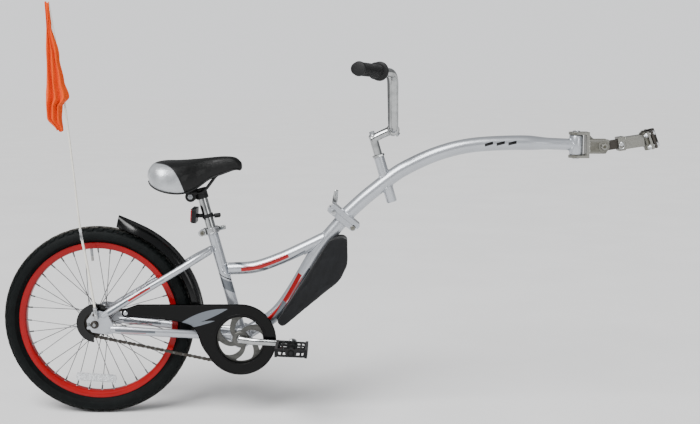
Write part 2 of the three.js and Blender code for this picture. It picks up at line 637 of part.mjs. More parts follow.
// Frame tubes: each is cut back from what it is welded to.
const seatAxis = at(-Math.sin(rad(seatTube.lean)), 0, Math.cos(rad(seatTube.lean)));
const seatTop = crankCentre.clone().addScaledVector(seatAxis, seatTube.length);
const alongSeat = (distance) => seatTop.clone().addScaledVector(seatAxis, distance);
const shellKeep = crossHole(crankCentre, -shell.width, shell.width, shell.diameter / 2 + gap.weld, facets.round);
const seatKeep = hole(alongSeat(-seatTube.length), alongSeat(gap.cut), seatTube.diameter / 2 + gap.weld,
  facets.tube);

function bottomBracketShell() {
  const end = shell.width / 2;
  const mouth = crank.coneDiameter / 2 + gap.running;
  const outer = crossBar(crankCentre, -end, end, shell.diameter / 2, facets.round);
  const through = crossHole(crankCentre, -end - gap.cut, end + gap.cut, mouth, facets.round);
  const hollow = crossHole(crankCentre, shell.cup - end, end - shell.cup, shell.bore / 2, facets.round);
  return cut(outer, through, hollow);
}

function seatTubeBody() {
  const outer = bar(crankCentre, seatTop, seatTube.diameter / 2, seatTube.diameter / 2, facets.tube);
  const bore = bar(alongSeat(-seatTube.boreDepth), alongSeat(gap.cut), seatTube.bore / 2, seatTube.bore / 2,
    facets.tube);
  return cut(outer, shellKeep, bore);
}

// The fold's own axes: down along the flange, and out along the beam.
const foldDown = at(Math.cos(rad(fold.tilt)), 0, -Math.sin(rad(fold.tilt)));
const foldOut = at(Math.sin(rad(fold.tilt)), 0, Math.cos(rad(fold.tilt)));
const foldPlace = (down, out, y = 0) =>
  at(fold.x, y, fold.z).addScaledVector(foldDown, down).addScaledVector(foldOut, out);
const foldPin = foldPlace(fold.pinReach, -fold.pinDrop);
const foldSkewer = foldPlace(-fold.skewerReach, -fold.pinDrop);

// A plate in the fold's axes from [down, out] corners.
const foldPlate = (corners, yLow, yHigh) =>
  plate(corners.map(([down, out]) => {
    const place = foldPlace(down, out);
    return [place.x, place.z];
  }), yLow, yHigh);
const rectangle = (a, b, c, d) => [[a, c], [b, c], [b, d], [a, d]];

function rearFoldFlange() {
  const half = fold.width / 2;
  const top = -fold.length / 2;
  const notch = fold.tongue / 2 + gap.seat;
  const knuckle = fold.knuckle / 2;
  const face = -gap.seat / 2;
  const slab = foldPlate([
    [top, face], [top, -fold.wall + fold.corner / 2], [top + fold.corner / 2, -fold.wall],
    [fold.pinReach, -fold.wall], [fold.pinReach, face],
  ], -half, half);
  const knuckles = cut(
    crossBar(foldPin, -half, half, knuckle, facets.round),
    foldPlate(rectangle(0, fold.length, face, fold.wall * 2), -fold.width, fold.width),
  );
  const pinNotch = foldPlate(
    rectangle(fold.pinReach - fold.lug / 2 - gap.running, fold.length, -fold.wall * 2, fold.wall), -notch, notch);
  const hookCentre = -fold.skewerReach;
  const hookNotch = foldPlate(
    rectangle(hookCentre - fold.hookLength / 2 - gap.running, hookCentre + fold.hookLength / 2 + gap.running,
      -fold.wall * 2, fold.wall), -notch, notch);
  const pinHole = crossHole(foldPin, -fold.width, fold.width, fold.pin / 2 + gap.seat);
  const skewerHole = crossHole(foldSkewer, -fold.width, fold.width, fold.skewer / 2 + gap.seat);
  return cut(join(slab, knuckles), pinNotch, hookNotch, pinHole, skewerHole);
}

function frontFoldFlange() {
  const half = fold.width / 2;
  const end = fold.length / 2;
  const face = gap.seat / 2;
  const tongue = fold.tongue / 2;
  const slab = foldPlate([
    [-end, face], [end, face], [end, fold.wall - fold.corner / 2], [end - fold.corner / 2, fold.wall],
    [-end + fold.corner / 2, fold.wall], [-end, fold.wall - fold.corner / 2],
  ], -half, half);
  const relief = cut(
    crossBar(foldPin, -fold.width, fold.width, fold.knuckle / 2 + gap.seat, facets.round),
    foldPlate(rectangle(-end, fold.length, -fold.wall * 2, fold.wall), -tongue, tongue),
  );
  const lug = join(
    crossBar(foldPin, -tongue, tongue, fold.lug / 2, facets.round),
    foldPlate(rectangle(fold.pinReach - fold.lug / 2, fold.pinReach + fold.lug / 2, -fold.pinDrop, face * 2),
      -tongue, tongue),
  );
  const hookCentre = -fold.skewerReach;
  const hook = foldPlate(
    rectangle(hookCentre - fold.hookLength / 2, hookCentre + fold.hookLength / 2, -fold.hookDepth, face * 2),
    -tongue, tongue);
  const slotHalf = fold.skewer / 2 + gap.running;
  const slot = join(
    foldPlate(rectangle(hookCentre - slotHalf, hookCentre + slotHalf, -fold.wall * 2, -fold.pinDrop),
      -fold.width, fold.width),
    crossBar(foldSkewer, -fold.width, fold.width, slotHalf),
  );
  const pinHole = crossHole(foldPin, -fold.width, fold.width, fold.pin / 2 + gap.seat);
  return cut(join(cut(slab, relief), lug, cut(hook, slot)), pinHole);
}

function foldPinBody() {
  const end = fold.width / 2 + gap.seat;
  const heads = [1, -1].map((side) =>
    crossBar(foldPin, ...spanY(side, end, end + fold.pinHeadWall), fold.pinHead / 2));
  return join(crossBar(foldPin, -end - fold.pinHeadWall, end + fold.pinHeadWall, fold.pin / 2, facets.tube), heads);
}

// A quick-release skewer: nut on the right, an eye for the lever's cam on the left.
function skewerBody(place, half, nut, nutWall, eyeAxis) {
  const rod = crossBar(place, -half - nutWall, half + lever.stand, lever.rod / 2, facets.small);
  const nutBody = crossBar(place, -half - gap.seat - nutWall, -half - gap.seat, nut / 2, facets.small);
  const centre = at(place.x, half + lever.stand, place.z);
  const eye = bar(
    centre.clone().addScaledVector(eyeAxis, -lever.eyeWall / 2),
    centre.clone().addScaledVector(eyeAxis, lever.eyeWall / 2), lever.eye / 2,
  );
  const pin = bar(
    centre.clone().addScaledVector(eyeAxis, -lever.camSpread), centre.clone().addScaledVector(eyeAxis, lever.camSpread),
    lever.pin / 2, lever.pin / 2, facets.small,
  );
  return join(rod, nutBody, eye, pin);
}

// The lever's two cam cheeks, the bridge between them and the bowed handle.
function leverBody(place, half, direction, length) {
  const centre = at(place.x, half + lever.stand, place.z);
  const hinge = direction.clone().cross(yAxis);
  const off = (along, across, outward = 0) =>
    centre.clone().addScaledVector(direction, along).addScaledVector(hinge, across).addScaledVector(yAxis, outward);
  const inner = lever.eyeWall / 2 + gap.seat;
  const cheeks = [1, -1].map((side) => cut(
    bar(off(0, side * inner), off(0, side * lever.camSpread), lever.cam / 2),
    hole(off(0, -lever.cam), off(0, lever.cam), lever.pin / 2 + gap.seat, facets.small),
  ));
  const bridgeAt = lever.eye / 2 + gap.running + lever.bridge / 2;
  const bridge = bar(off(bridgeAt, -lever.camSpread), off(bridgeAt, lever.camSpread), lever.bridge / 2);
  const bowShares = [0, 0.4, 0.75, 1];
  const points = bowShares.map((share) =>
    off(bridgeAt + (length - bridgeAt) * share, 0, lever.bow * Math.sin(Math.PI * share)));
  const handle = tube(curveThrough(points), facets.roller, () => [lever.width / 2, lever.wall / 2], facets.bar);
  return join(cheeks, bridge, handle);
}
const foldLeverDirection = at(Math.sin(rad(fold.leverLean)), 0, Math.cos(rad(fold.leverLean)));

const downPath = curveThrough([
  foldPlace(0, -gap.seat), foldPlace(0, -fold.length), at(downTube.bendX, 0, downTube.bendZ),
  crankCentre.clone().add(at(downTube.endReach, 0, downTube.endReach / 2)),
]);
const downTubeOf = (radius) => tube(downPath, facets.tube, () => [radius, radius]);

function downTubeBody() {
  const flangeKeep = foldPlate(
    rectangle(-fold.length, fold.length, -fold.wall - gap.weld, fold.wall), -fold.width, fold.width);
  return cut(downTubeOf(downTube.diameter / 2), flangeKeep, shellKeep);
}

function topTubeBody() {
  const path = curveThrough(topTube.path.map(([x, z]) => at(x, 0, z)));
  const radius = topTube.diameter / 2;
  const body = tube(path, facets.run, () => [radius, radius]);
  return cut(body, seatKeep, downTubeOf(downTube.diameter / 2 + gap.weld));
}

// A dropout: a plate with a slot open to the rear for the axle and an eyelet above it.
const dropoutShares = [
  [-1, 0.32], [-0.4, 0.88], [0, 1], [0.3, 1], [0.62, 0.86], [1, -0.1], [1, -1], [0.5, -1],
  [-0.55, -0.77], [-1, -0.46],
];
function dropoutPlate(side) {
  const corners = dropoutShares.map(([x, z]) => [
    x * (x < 0 ? dropout.back : dropout.front), z * (z < 0 ? dropout.bottom : dropout.top),
  ]);
  const [low, high] = spanY(side, dropout.spacing / 2, dropout.spacing / 2 + dropout.wall);
  const half = dropout.slotHeight / 2;
  const slot = join(
    plate(rectangle(-dropout.back - gap.cut, 0, -half, half), low - gap.cut, high + gap.cut),
    crossBar(at(0, 0, 0), low - gap.cut, high + gap.cut, half, facets.tube),
  );
  const eyelet = crossHole(at(dropout.eyeletX, 0, dropout.eyeletZ), low - gap.cut, high + gap.cut, dropout.eyelet / 2,
    facets.small);
  return cut(plate(corners, low, high), slot, eyelet);
}
const stayY = dropout.spacing / 2 + dropout.wall / 2;

function chainstay(side) {
  const start = at(dropout.front - dropout.corner, side * stayY, -dropout.bottom / 2);
  const points = [start, ...stay.chainPath.map(([share, y]) => {
    const place = start.clone().lerp(crankCentre, share);
    return place.setY(side * y);
  })];
  const size = () => [stay.chainHeight / 2, stay.chainWidth / 2];
  const body = tube(curveThrough(points), facets.run, size, facets.bar);
  return join(cut(body, shellKeep), dropoutPlate(side));
}

// A seatstay, wider all round by a margin when another piece is cut back from it.
const seatStart = at(stay.seatStart[0], stayY, stay.seatStart[1]);
function seatstay(side, margin) {
  const [x, z, y] = stay.seatPath[0];
  const points = [seatStart, seatStart.clone().lerp(at(x, y, z), 1 / 2), ...stay.seatPath.map(([a, b, c]) => at(a, c, b))];
  const path = curveThrough(points.map((point) => point.clone().setY(side * point.y)));
  return tube(path, facets.run, () => [stay.seatHeight / 2 + margin, stay.seatWidth / 2 + margin], facets.bar);
}

// Both seatstays, slotted over the dropouts, and the bridge between them that the fender bears on.
function seatstays() {
  const [[x, z, y], [nextX, nextZ, nextY]] = stay.seatPath;
  const reach = fender.radius + gap.seat + stay.bridge / 2;
  const share = (reach - Math.hypot(x, z)) / (Math.hypot(nextX, nextZ) - Math.hypot(x, z));
  const place = at(x, y, z).lerp(at(nextX, nextY, nextZ), share);
  const bridge = crossBar(place, -place.y, place.y, stay.bridge / 2);
  const dropoutKeep = [1, -1].map((side) => {
    const [low, high] = spanY(side, dropout.spacing / 2 - gap.weld, dropout.spacing / 2 + dropout.wall + gap.weld);
    return plate(rectangle(-dropout.back, dropout.front + gap.weld, -dropout.bottom, dropout.top + gap.weld),
      low, high);
  });
  return cut(join(seatstay(1, 0), seatstay(-1, 0), bridge, guardTab(0)), dropoutKeep, seatKeep);
}

// A round-cornered run through corner points: the stations where its rings lie.
function bentStations(corners, radius) {
  const stations = [];
  const add = (point, tangent) => stations.push({ point, tangent: tangent.clone().normalize() });
  const direction = (k) => corners[k + 1].clone().sub(corners[k]).normalize();
  add(corners[0], direction(0));
  for (let k = 1; k < corners.length - 1; k++) {
    const start = corners[k].clone().addScaledVector(direction(k - 1), -radius);
    const end = corners[k].clone().addScaledVector(direction(k), radius);
    const arc = new THREE.QuadraticBezierCurve3(start, corners[k], end);
    for (let i = 0; i <= facets.bend; i++) add(arc.getPoint(i / facets.bend), arc.getTangent(i / facets.bend));
  }
  add(corners.at(-1), direction(corners.length - 2));
  return stations;
}

function bentTube(corners, bend, radius, across, sides = facets.bar) {
  const sections = bentStations(corners, bend).map(({ point, tangent }) => {
    const side = across.clone().addScaledVector(tangent, -tangent.dot(across)).normalize();
    return ringOf(point, tangent.clone().cross(side), side, radius, radius, sides);
  });
  return loft(sections);
}

// A turned profile of [radius, distance] points set along a line.
function turnedAlong(profile, from, direction, sides = facets.tube) {
  const body = surface(turnedRing(profile, sides));
  body.applyQuaternion(new THREE.Quaternion().setFromUnitVectors(yAxis, direction.clone().normalize()));
  return solid(body.translate(from.x, from.y, from.z));
}

// Tow beam: the bent tube, the stem's sleeve through it and the upright barrel at its front end.
const sleeveTop = at(stem.sleeveTopX, 0, stem.sleeveTopZ);
const sleeveBottom = at(stem.sleeveBottomX, 0, stem.sleeveBottomZ);
const sleeveUp = sleeveTop.clone().sub(sleeveBottom).normalize();
const alongSleeve = (distance) => sleeveTop.clone().addScaledVector(sleeveUp, distance);
const upright = (x, z, height, radius, sides = facets.round) =>
  bar(at(x, 0, z - height / 2), at(x, 0, z + height / 2), radius, radius, sides);

const yawHole = () => {
  const radius = (hitch.pin / 2 + gap.seat) / Math.cos(Math.PI / facets.tube);
  return upright(hitch.x, hitch.z, hitch.barrelHeight * 2, radius, facets.tube);
};

function beamBody() {
  const path = curveThrough([foldPlace(0, 0), ...beam.path.map(([x, z]) => at(x, 0, z))]);
  const size = (share) => {
    const blend = THREE.MathUtils.smoothstep(share, beam.neckStartShare, beam.neckEndShare);
    const radius = THREE.MathUtils.lerp(beam.diameter, beam.neckDiameter, blend) / 2;
    return [radius, radius];
  };
  const flangeKeep = foldPlate(
    rectangle(-fold.length, fold.length, -fold.length, fold.wall + gap.weld), -fold.width, fold.width);
  const run = cut(tube(path, facets.run * 2, size), flangeKeep);
  const sleeve = bar(sleeveBottom, sleeveTop, stem.sleeve / 2, stem.sleeve / 2, facets.tube);
  const sleeveBore = hole(alongSleeve(-stem.sleeveLength), alongSleeve(gap.cut), stem.quill / 2 + gap.seat,
    facets.tube);
  const barrel = upright(hitch.x, hitch.z, hitch.barrelHeight, hitch.barrel / 2);
  return cut(join(run, sleeve, barrel), sleeveBore, yawHole());
}

// Stem: the quill in its sleeve, the neck and the clamp round the handlebar.
const clampCentre = at(stem.clampX, 0, stem.clampZ);
function stemBody() {
  const top = alongSleeve(stem.rise + gap.cut);
  const quill = bar(alongSleeve(-stem.insert), top, stem.quill / 2, stem.quill / 2, facets.tube);
  const bolt = bar(top, alongSleeve(stem.rise + stem.boltRise), stem.bolt / 2, stem.bolt / 2, facets.small);
  const neck = bar(alongSleeve(stem.rise - stem.neck / 2), clampCentre, stem.neck / 2, stem.neck / 2, facets.tube);
  const half = stem.clampWidth / 2;
  const outer = handlebar.diameter / 2 + stem.clampWall;
  const hoop = crossBar(clampCentre, -half, half, outer, facets.round);
  const bore = crossHole(clampCentre, -half - gap.cut, half + gap.cut, handlebar.diameter / 2 + gap.seat, facets.tube);
  return cut(join(quill, bolt, neck, hoop), bore);
}

const barCorner = (side) => at(stem.clampX, side * handlebar.clampHalf, stem.clampZ);
const barRiser = (side) => at(handlebar.riserX, side * handlebar.riserHalf, handlebar.riserZ);
const barEnd = (side) => at(handlebar.endX, side * handlebar.endHalf, handlebar.endZ);
function handlebarBody() {
  const corners = [barEnd(-1), barRiser(-1), barCorner(-1), barCorner(1), barRiser(1), barEnd(1)];
  return bentTube(corners, handlebar.bend, handlebar.diameter / 2, at(1, 0, 0));
}

function gripBody(side) {
  const direction = barRiser(side).sub(barEnd(side)).normalize();
  const bore = (handlebar.diameter / 2 + gap.seat) / Math.cos(Math.PI / facets.tube);
  const barrel = grip.barrel / 2;
  const profile = [
    [bore, grip.length], [grip.flange / 2, grip.length],
    [grip.flange / 2, grip.length - grip.flangeWall], [barrel, grip.length - grip.flangeWall * 2],
    [barrel, grip.ends * 3], [grip.end / 2, grip.ends], [grip.end / 2 - grip.ends, -grip.ends], [0, -grip.ends],
    [0, -gap.seat], [bore, -gap.seat],
  ];
  return turnedAlong(profile, barEnd(side), direction);
}

// Hitch: a clevis that swings about the barrel's pin and a fork that holds the drawbar's pivot.
const levelPlate = (outline, zLow, zHigh) => {
  const shape = new THREE.Shape(outline.map(([x, y]) => new THREE.Vector2(x, y)));
  const geometry = new THREE.ExtrudeGeometry(shape, { depth: zHigh - zLow, bevelEnabled: false });
  return solid(geometry.translate(0, 0, zLow));
};
const pivot = at(hitch.pivotX, 0, hitch.pivotZ);
const towDirection = at(Math.cos(rad(hitch.rise)), 0, Math.sin(rad(hitch.rise)));
const alongTow = (distance, y = 0) => pivot.clone().addScaledVector(towDirection, distance).setY(y);

function hitchYoke() {
  const half = hitch.width / 2;
  const inner = hitch.barrelHeight / 2 + gap.running;
  const backX = hitch.x + hitch.backReach;
  const nose = Array.from({ length: facets.small + 1 }, (_, k) => {
    const angle = rad(270 - (180 / facets.small) * k);
    return [hitch.x + half * Math.cos(angle), half * Math.sin(angle)];
  });
  const outline = [[backX + hitch.backWall, -half], ...nose, [backX + hitch.backWall, half]];
  const top = levelPlate(outline, hitch.z + inner, hitch.z + inner + hitch.plateWall);
  const bottom = levelPlate(outline, hitch.z - inner - hitch.plateWall, hitch.z - inner);
  const back = block(at(backX + hitch.backWall / 2, 0, hitch.z), hitch.backWall, hitch.width,
    (inner + hitch.plateWall) * 2);
  const cheekInner = hitch.bar / 2 + gap.running;
  const cheekOuter = cheekInner + hitch.cheekWall;
  const forkBack = backX + hitch.backWall;
  const low = pivot.z - hitch.cheekHeight / 2;
  const high = pivot.z + hitch.cheekHeight / 2;
  const forkBase = block(at(forkBack + hitch.cheekWall, 0, pivot.z), hitch.cheekWall * 2, cheekOuter * 2,
    hitch.cheekHeight);
  const front = pivot.x + hitch.cheekReach;
  const cheekOutline = [
    [forkBack, low], [front - hitch.cheekReach / 2, low], [front, pivot.z], [front, high], [forkBack, high],
  ];
  const cheeks = [1, -1].map((side) => plate(cheekOutline, ...spanY(side, cheekInner, cheekOuter)));
  const pivotBore = crossHole(pivot, -half * 2, half * 2, hitch.pivotPin / 2 + gap.seat);
  return cut(join(top, bottom, back, forkBase, cheeks), yawHole(), pivotBore);
}

function yawPin() {
  const reach = hitch.barrelHeight / 2 + gap.running + hitch.plateWall + gap.seat;
  const headAt = (sign) => bar(at(hitch.x, 0, hitch.z + sign * reach),
    at(hitch.x, 0, hitch.z + sign * (reach + hitch.washerWall)), hitch.pin * 0.8, hitch.pin * 0.8, facets.small);
  return join(upright(hitch.x, hitch.z, reach * 2 + hitch.washerWall, hitch.pin / 2, facets.tube), headAt(1), headAt(-1));
}

function pivotBolt() {
  const face = hitch.bar / 2 + gap.running + hitch.cheekWall + gap.seat;
  const end = face + hitch.washerWall;
  const washers = [1, -1].map((side) => crossBar(pivot, ...spanY(side, face, end), hitch.washer / 2, facets.round));
  const nuts = [1, -1].map((side) =>
    crossBar(pivot, ...spanY(side, end, end + hitch.washerWall * 2), hitch.pivotPin * 0.9, facets.small));
  return join(crossBar(pivot, -end, end, hitch.pivotPin / 2), washers, nuts);
}

// Drawbar: a square bar on the pivot that slides into the receiver and is held by the lock pin.
function drawbar() {
  const back = -hitch.bar / 2;
  const body = block(alongTow((back + hitch.barReach) / 2), hitch.barReach - back, hitch.bar, hitch.bar, hitch.rise);
  const pivotHole = crossHole(pivot, -hitch.bar, hitch.bar, hitch.pivotPin / 2 + gap.seat);
  const lockHole = crossHole(alongTow(hitch.lockAt), -hitch.bar, hitch.bar, hitch.lockPin / 2 + gap.seat);
  return cut(body, pivotHole, lockHole);
}

// The clamp's own axes: across the post towards the front, and up the post.
const clampPlace = alongTow(hitch.reach);
const postUp = at(-Math.sin(rad(jaw.postLean)), 0, Math.cos(rad(jaw.postLean)));
const postFront = at(Math.cos(rad(jaw.postLean)), 0, Math.sin(rad(jaw.postLean)));
const inClamp = (front, y, up) =>
  clampPlace.clone().addScaledVector(postFront, front).addScaledVector(postUp, up).setY(y);
const boltPlaces = [[1, 1], [1, -1], [-1, 1], [-1, -1]].map(([a, b]) => [a * jaw.boltY, b * jaw.boltZ]);

const postBore = () => hole(inClamp(0, 0, -jaw.height), inClamp(0, 0, jaw.height), jaw.bore / 2, facets.round);

// One jaw of the clamp: bolting flanges either side of a half-round seat for the post.
function jawBody(side, hump) {
  const outer = jaw.bore / 2 + jaw.wall;
  const near = jaw.split / 2;
  const flangeFace = near + jaw.wall;
  const corners = [
    [near, -jaw.half], [flangeFace, -jaw.half], [flangeFace, -outer + near], [outer, -hump], [outer, hump],
    [flangeFace, outer - near], [flangeFace, jaw.half], [near, jaw.half],
  ];
  const shape = new THREE.Shape(corners.map(([front, y]) => new THREE.Vector2(side * front, y)));
  const geometry = new THREE.ExtrudeGeometry(shape, { depth: jaw.height, bevelEnabled: false });
  geometry.translate(0, 0, -jaw.height / 2).rotateY(-rad(jaw.postLean));
  const body = solid(geometry.translate(clampPlace.x, 0, clampPlace.z));
  return cut(body, postBore());
}

function receiver() {
  const end = hitch.reach - jaw.bore / 2 - jaw.wall / 2;
  const square = (from, to, size) => block(alongTow((from + to) / 2), to - from, size, size, hitch.rise);
  const sleeve = square(hitch.tubeStart, end, hitch.tube);
  const collar = square(hitch.tubeStart, hitch.tubeStart + hitch.collarLength, hitch.collar);
  const socket = square(hitch.tubeStart - gap.cut, hitch.barReach + gap.cut, hitch.bar + gap.running);
  const lockHole = crossHole(alongTow(hitch.lockAt), -hitch.width, hitch.width, hitch.lockPin / 2 + gap.seat);
  const holes = boltPlaces.map(([y, up]) =>
    hole(inClamp(-jaw.half, y, up), inClamp(0, y, up), jaw.bolt / 2 + gap.seat, facets.small));
  return cut(join(sleeve, collar, jawBody(-1, jaw.bore / 2)), socket, lockHole, holes, postBore());
}

// The front jaw with its four bolts; their nuts bear on the rear jaw.
function frontJaw() {
  const flangeFace = jaw.split / 2 + jaw.wall;
  const run = (y, up, from, to, width) =>
    bar(inClamp(from, y, up), inClamp(to, y, up), width / 2, width / 2, facets.small);
  const bolts = boltPlaces.map(([y, up]) => join(
    run(y, up, -jaw.boltReach, flangeFace + jaw.headWall / 2, jaw.bolt),
    run(y, up, flangeFace - gap.seat, flangeFace + jaw.headWall, jaw.head),
    run(y, up, -flangeFace - gap.seat - jaw.headWall, -flangeFace - gap.seat, jaw.head),
  ));
  return join(jawBody(1, jaw.wall), bolts);
}

function lockPin() {
  const end = hitch.collar / 2 + gap.seat;
  const place = alongTow(hitch.lockAt);
  const head = crossBar(place, -end - hitch.washerWall, -end, hitch.lockHead / 2);
  return join(crossBar(place, -end, end + hitch.washerWall, hitch.lockPin / 2), head);
}

// Seat clamp: a split collar at the top of the seat tube with ears for the skewer.
const seatBack = at(-Math.cos(rad(seatTube.lean)), 0, -Math.sin(rad(seatTube.lean)));
const seatEar = alongSeat(collar.rise).addScaledVector(seatBack, collar.earReach);
const seatLeverDirection = at(Math.cos(rad(collar.leverRise)), 0, Math.sin(rad(collar.leverRise)));

function seatClamp() {
  const outer = bar(alongSeat(collar.rise - collar.height / 2), alongSeat(collar.rise + collar.height / 2),
    collar.diameter / 2, collar.diameter / 2, facets.round);
  const bore = hole(alongSeat(-collar.height * 2), alongSeat(collar.height * 2), seatTube.diameter / 2 + gap.seat,
    facets.tube);
  const ears = block(seatEar, collar.ear, collar.earWidth, collar.height, seatTube.lean);
  const split = block(seatEar, collar.ear * 2, collar.split, collar.height * 2, seatTube.lean);
  const rodHole = crossHole(seatEar, -collar.earWidth, collar.earWidth, lever.rod / 2 + gap.seat);
  return cut(join(outer, ears), bore, split, rodHole);
}

function seatpost() {
  return bar(alongSeat(-post.insert), alongSeat(post.rise), post.diameter / 2, post.diameter / 2, facets.tube);
}

// The saddle's clamp: a band round the post's head with a lug to the tilt bolt.
const tiltPlace = alongSeat(post.rise - post.tiltDrop).addScaledVector(seatBack, post.tiltReach);
function saddleClamp() {
  const band = bar(alongSeat(post.rise - post.band), alongSeat(post.rise + gap.cut / 2), post.bandDiameter / 2,
    post.bandDiameter / 2, facets.tube);
  const bore = hole(alongSeat(post.rise - post.band * 2), alongSeat(post.rise + gap.seat),
    post.diameter / 2 + gap.seat, facets.tube);
  const lug = crossBar(tiltPlace, -post.lugHalf, post.lugHalf, post.disc / 2, facets.tube);
  const boltHole = crossHole(tiltPlace, -post.discOuter, post.discOuter, post.bolt / 2 + gap.seat);
  return cut(join(cut(band, bore), cut(lug, bore)), boltHole);
}

// Saddle rails: two bent wires with the toothed discs that grip the clamp, and the tilt bolt between.
function saddleRails() {
  const inner = post.lugHalf + gap.seat;
  const wires = [1, -1].map((side) => {
    const corners = rails.path.map(([x, z, y]) => at(x, side * y, z));
    return bentTube(corners, rails.bend, rails.wire / 2, yAxis, facets.small);
  });
  const discs = [1, -1].map((side) =>
    crossBar(tiltPlace, ...spanY(side, inner, post.discOuter), post.disc / 2, facets.tube));
  const bolt = crossBar(tiltPlace, -post.discOuter - post.boltHead, post.discOuter + post.boltHead, post.bolt / 2);
  return join(wires, discs, bolt);
}

// One saddle section: crown, rounded flank and skirt edge, then the hollow underside.
function saddleSection([along, top, wide, skirt], inset) {
  const crownShares = [[0, 0], [0.42, 0.03], [0.76, 0.14], [0.96, 0.42], [1, 0.72], [0.93, 1]];
  const x = saddle.rearX + saddle.length * along;
  const half = (saddle.width / 2) * wide - inset;
  const crown = saddle.baseZ + saddle.height * top - inset;
  const edge = Math.min(saddle.baseZ + saddle.height * skirt + inset / 4, crown - saddle.foam);
  const outer = crownShares.map(([side, down]) => [side * half, crown + (edge - crown) * down]);
  const shellHalf = Math.max(half - saddle.skin, half / 2);
  const innerTop = Math.max(crown - saddle.foam, edge + saddle.skin / 2);
  const inner = [[shellHalf * 0.93, edge], [shellHalf * 0.85, (edge + innerTop) / 2], [0, innerTop]];
  const flip = (points) => points.map(([y, z]) => [-y, z]).reverse();
  const ring = [...flip(outer).slice(0, -1), ...outer, ...inner, ...flip(inner).slice(1)];
  return ring.map(([y, z]) => at(x, y, z));
}

function saddleCover() {
  const sections = saddleStations.map((station) => saddleSection(station, 0));
  return loft(sections);
}

// The moulded shell under the padding; it carries the rails.
function saddleBase() {
  const sections = saddleStations.slice(1, -1).map(([along, top, wide, skirt]) => {
    const x = saddle.rearX + saddle.length * along;
    const crown = saddle.baseZ + saddle.height * top;
    const edge = Math.min(saddle.baseZ + saddle.height * skirt, crown - saddle.foam);
    const half = Math.max(((saddle.width / 2) * wide - saddle.skin), (saddle.width / 4) * wide) * 0.85 - gap.running;
    const high = Math.max(crown - saddle.foam, edge + saddle.skin / 2);
    const side = (edge + high) / 2;
    const sideDrop = saddle.shell + gap.running;
    return [
      [0, high - gap.seat], [half, side - gap.seat], [half * 0.96, side - sideDrop], [0, high - saddle.shell],
      [-half * 0.96, side - sideDrop], [-half, side - gap.seat],
    ].map(([y, z]) => at(x, y, z));
  });
  return cut(loft(sections), saddleCover().translate([0, 0, -gap.running]));
}

// The rear reflector: a strap round the post, a stalk and the lens housing.
function postReflector() {
  const centre = alongSeat(rear.rise);
  const strap = bar(alongSeat(rear.rise - rear.strap / 2), alongSeat(rear.rise + rear.strap / 2),
    post.diameter / 2 + rear.strapWall, post.diameter / 2 + rear.strapWall, facets.tube);
  const bore = hole(alongSeat(rear.rise - rear.strap), alongSeat(rear.rise + rear.strap),
    post.diameter / 2 + gap.seat, facets.tube);
  const back = centre.x - rear.reach;
  const stalk = block(at((back + centre.x) / 2, 0, centre.z), rear.reach, rear.stalk, rear.strap);
  const housing = block(at(back, 0, centre.z + rear.lift), rear.wall, rear.width, rear.height, rear.lean);
  return join(cut(join(strap, stalk), bore), housing);
}

// Fender: a crowned strip over the tyre whose tail narrows and flares outwards.
function fenderBody() {
  const half = fender.width / 2;
  const crownShares = [[0, 0], [0.5, 0.07], [0.83, 0.34], [1, 1]];
  const stations = Array.from({ length: fender.steps + 1 }, (_, k) => k / fender.steps);
  const sections = stations.map((share) => {
    const angle = THREE.MathUtils.lerp(fender.from, fender.to, share);
    const tail = THREE.MathUtils.clamp((share - fender.tailShare) / (1 - fender.tailShare), 0, 1);
    const narrow = 1 - tail * tail * fender.tailNarrowShare;
    const lift = fender.flare * tail * tail;
    const depth = (fender.radius - fender.skirt) * (1 - tail * fender.tailFlatShare);
    const outer = crownShares.map(([across, down]) => [across * half * narrow, -down * depth]);
    const inner = outer.map(([y, r]) => [y - fender.wall * (y / half), r - fender.wall]).reverse();
    const flip = (points) => points.map(([y, r]) => [-y, r]).reverse();
    const ring = [...flip(outer).slice(0, -1), ...outer, ...inner, ...flip(inner).slice(1)];
    return ring.map(([y, r]) => onCircle(fender.radius + lift + r, angle, y));
  });
  return loft(sections);
}

// An outline moved inwards by a wall, corner by corner; it runs anticlockwise.
function insetOutline(points, wall) {
  const count = points.length;
  return points.map(([x, z], k) => {
    const [px, pz] = points[(k + count - 1) % count];
    const [nx, nz] = points[(k + 1) % count];
    const before = new THREE.Vector2(x - px, z - pz).normalize();
    const after = new THREE.Vector2(nx - x, nz - z).normalize();
    const normal = new THREE.Vector2(-before.y - after.y, before.x + after.x).normalize();
    const reach = wall / Math.max(normal.x * -before.y + normal.y * before.x, 0.5);
    return [x + normal.x * reach, z + normal.y * reach];
  });
}

// Chainguard: a long shield whose front is a disc round the cranks with an open window.
function guardOutline() {
  const disc = Array.from({ length: guard.discSteps + 1 }, (_, k) => {
    const place = onCircle(guard.disc / 2, THREE.MathUtils.lerp(guard.discFrom, guard.discTo, k / guard.discSteps), 0, crankCentre);
    return [place.x, place.z];
  });
  const top = crankCentre.z + guard.disc / 2;
  const rear = Array.from({ length: facets.small + 1 }, (_, k) => {
    const place = onCircle(guard.rearRound, THREE.MathUtils.lerp(guard.rearFrom, guard.rearTo, k / facets.small), 0,
      at(guard.boltX, 0, guard.boltZ));
    return [place.x, place.z];
  });
  return [...disc, [guard.topX, top], ...rear, ...guard.lower];
}

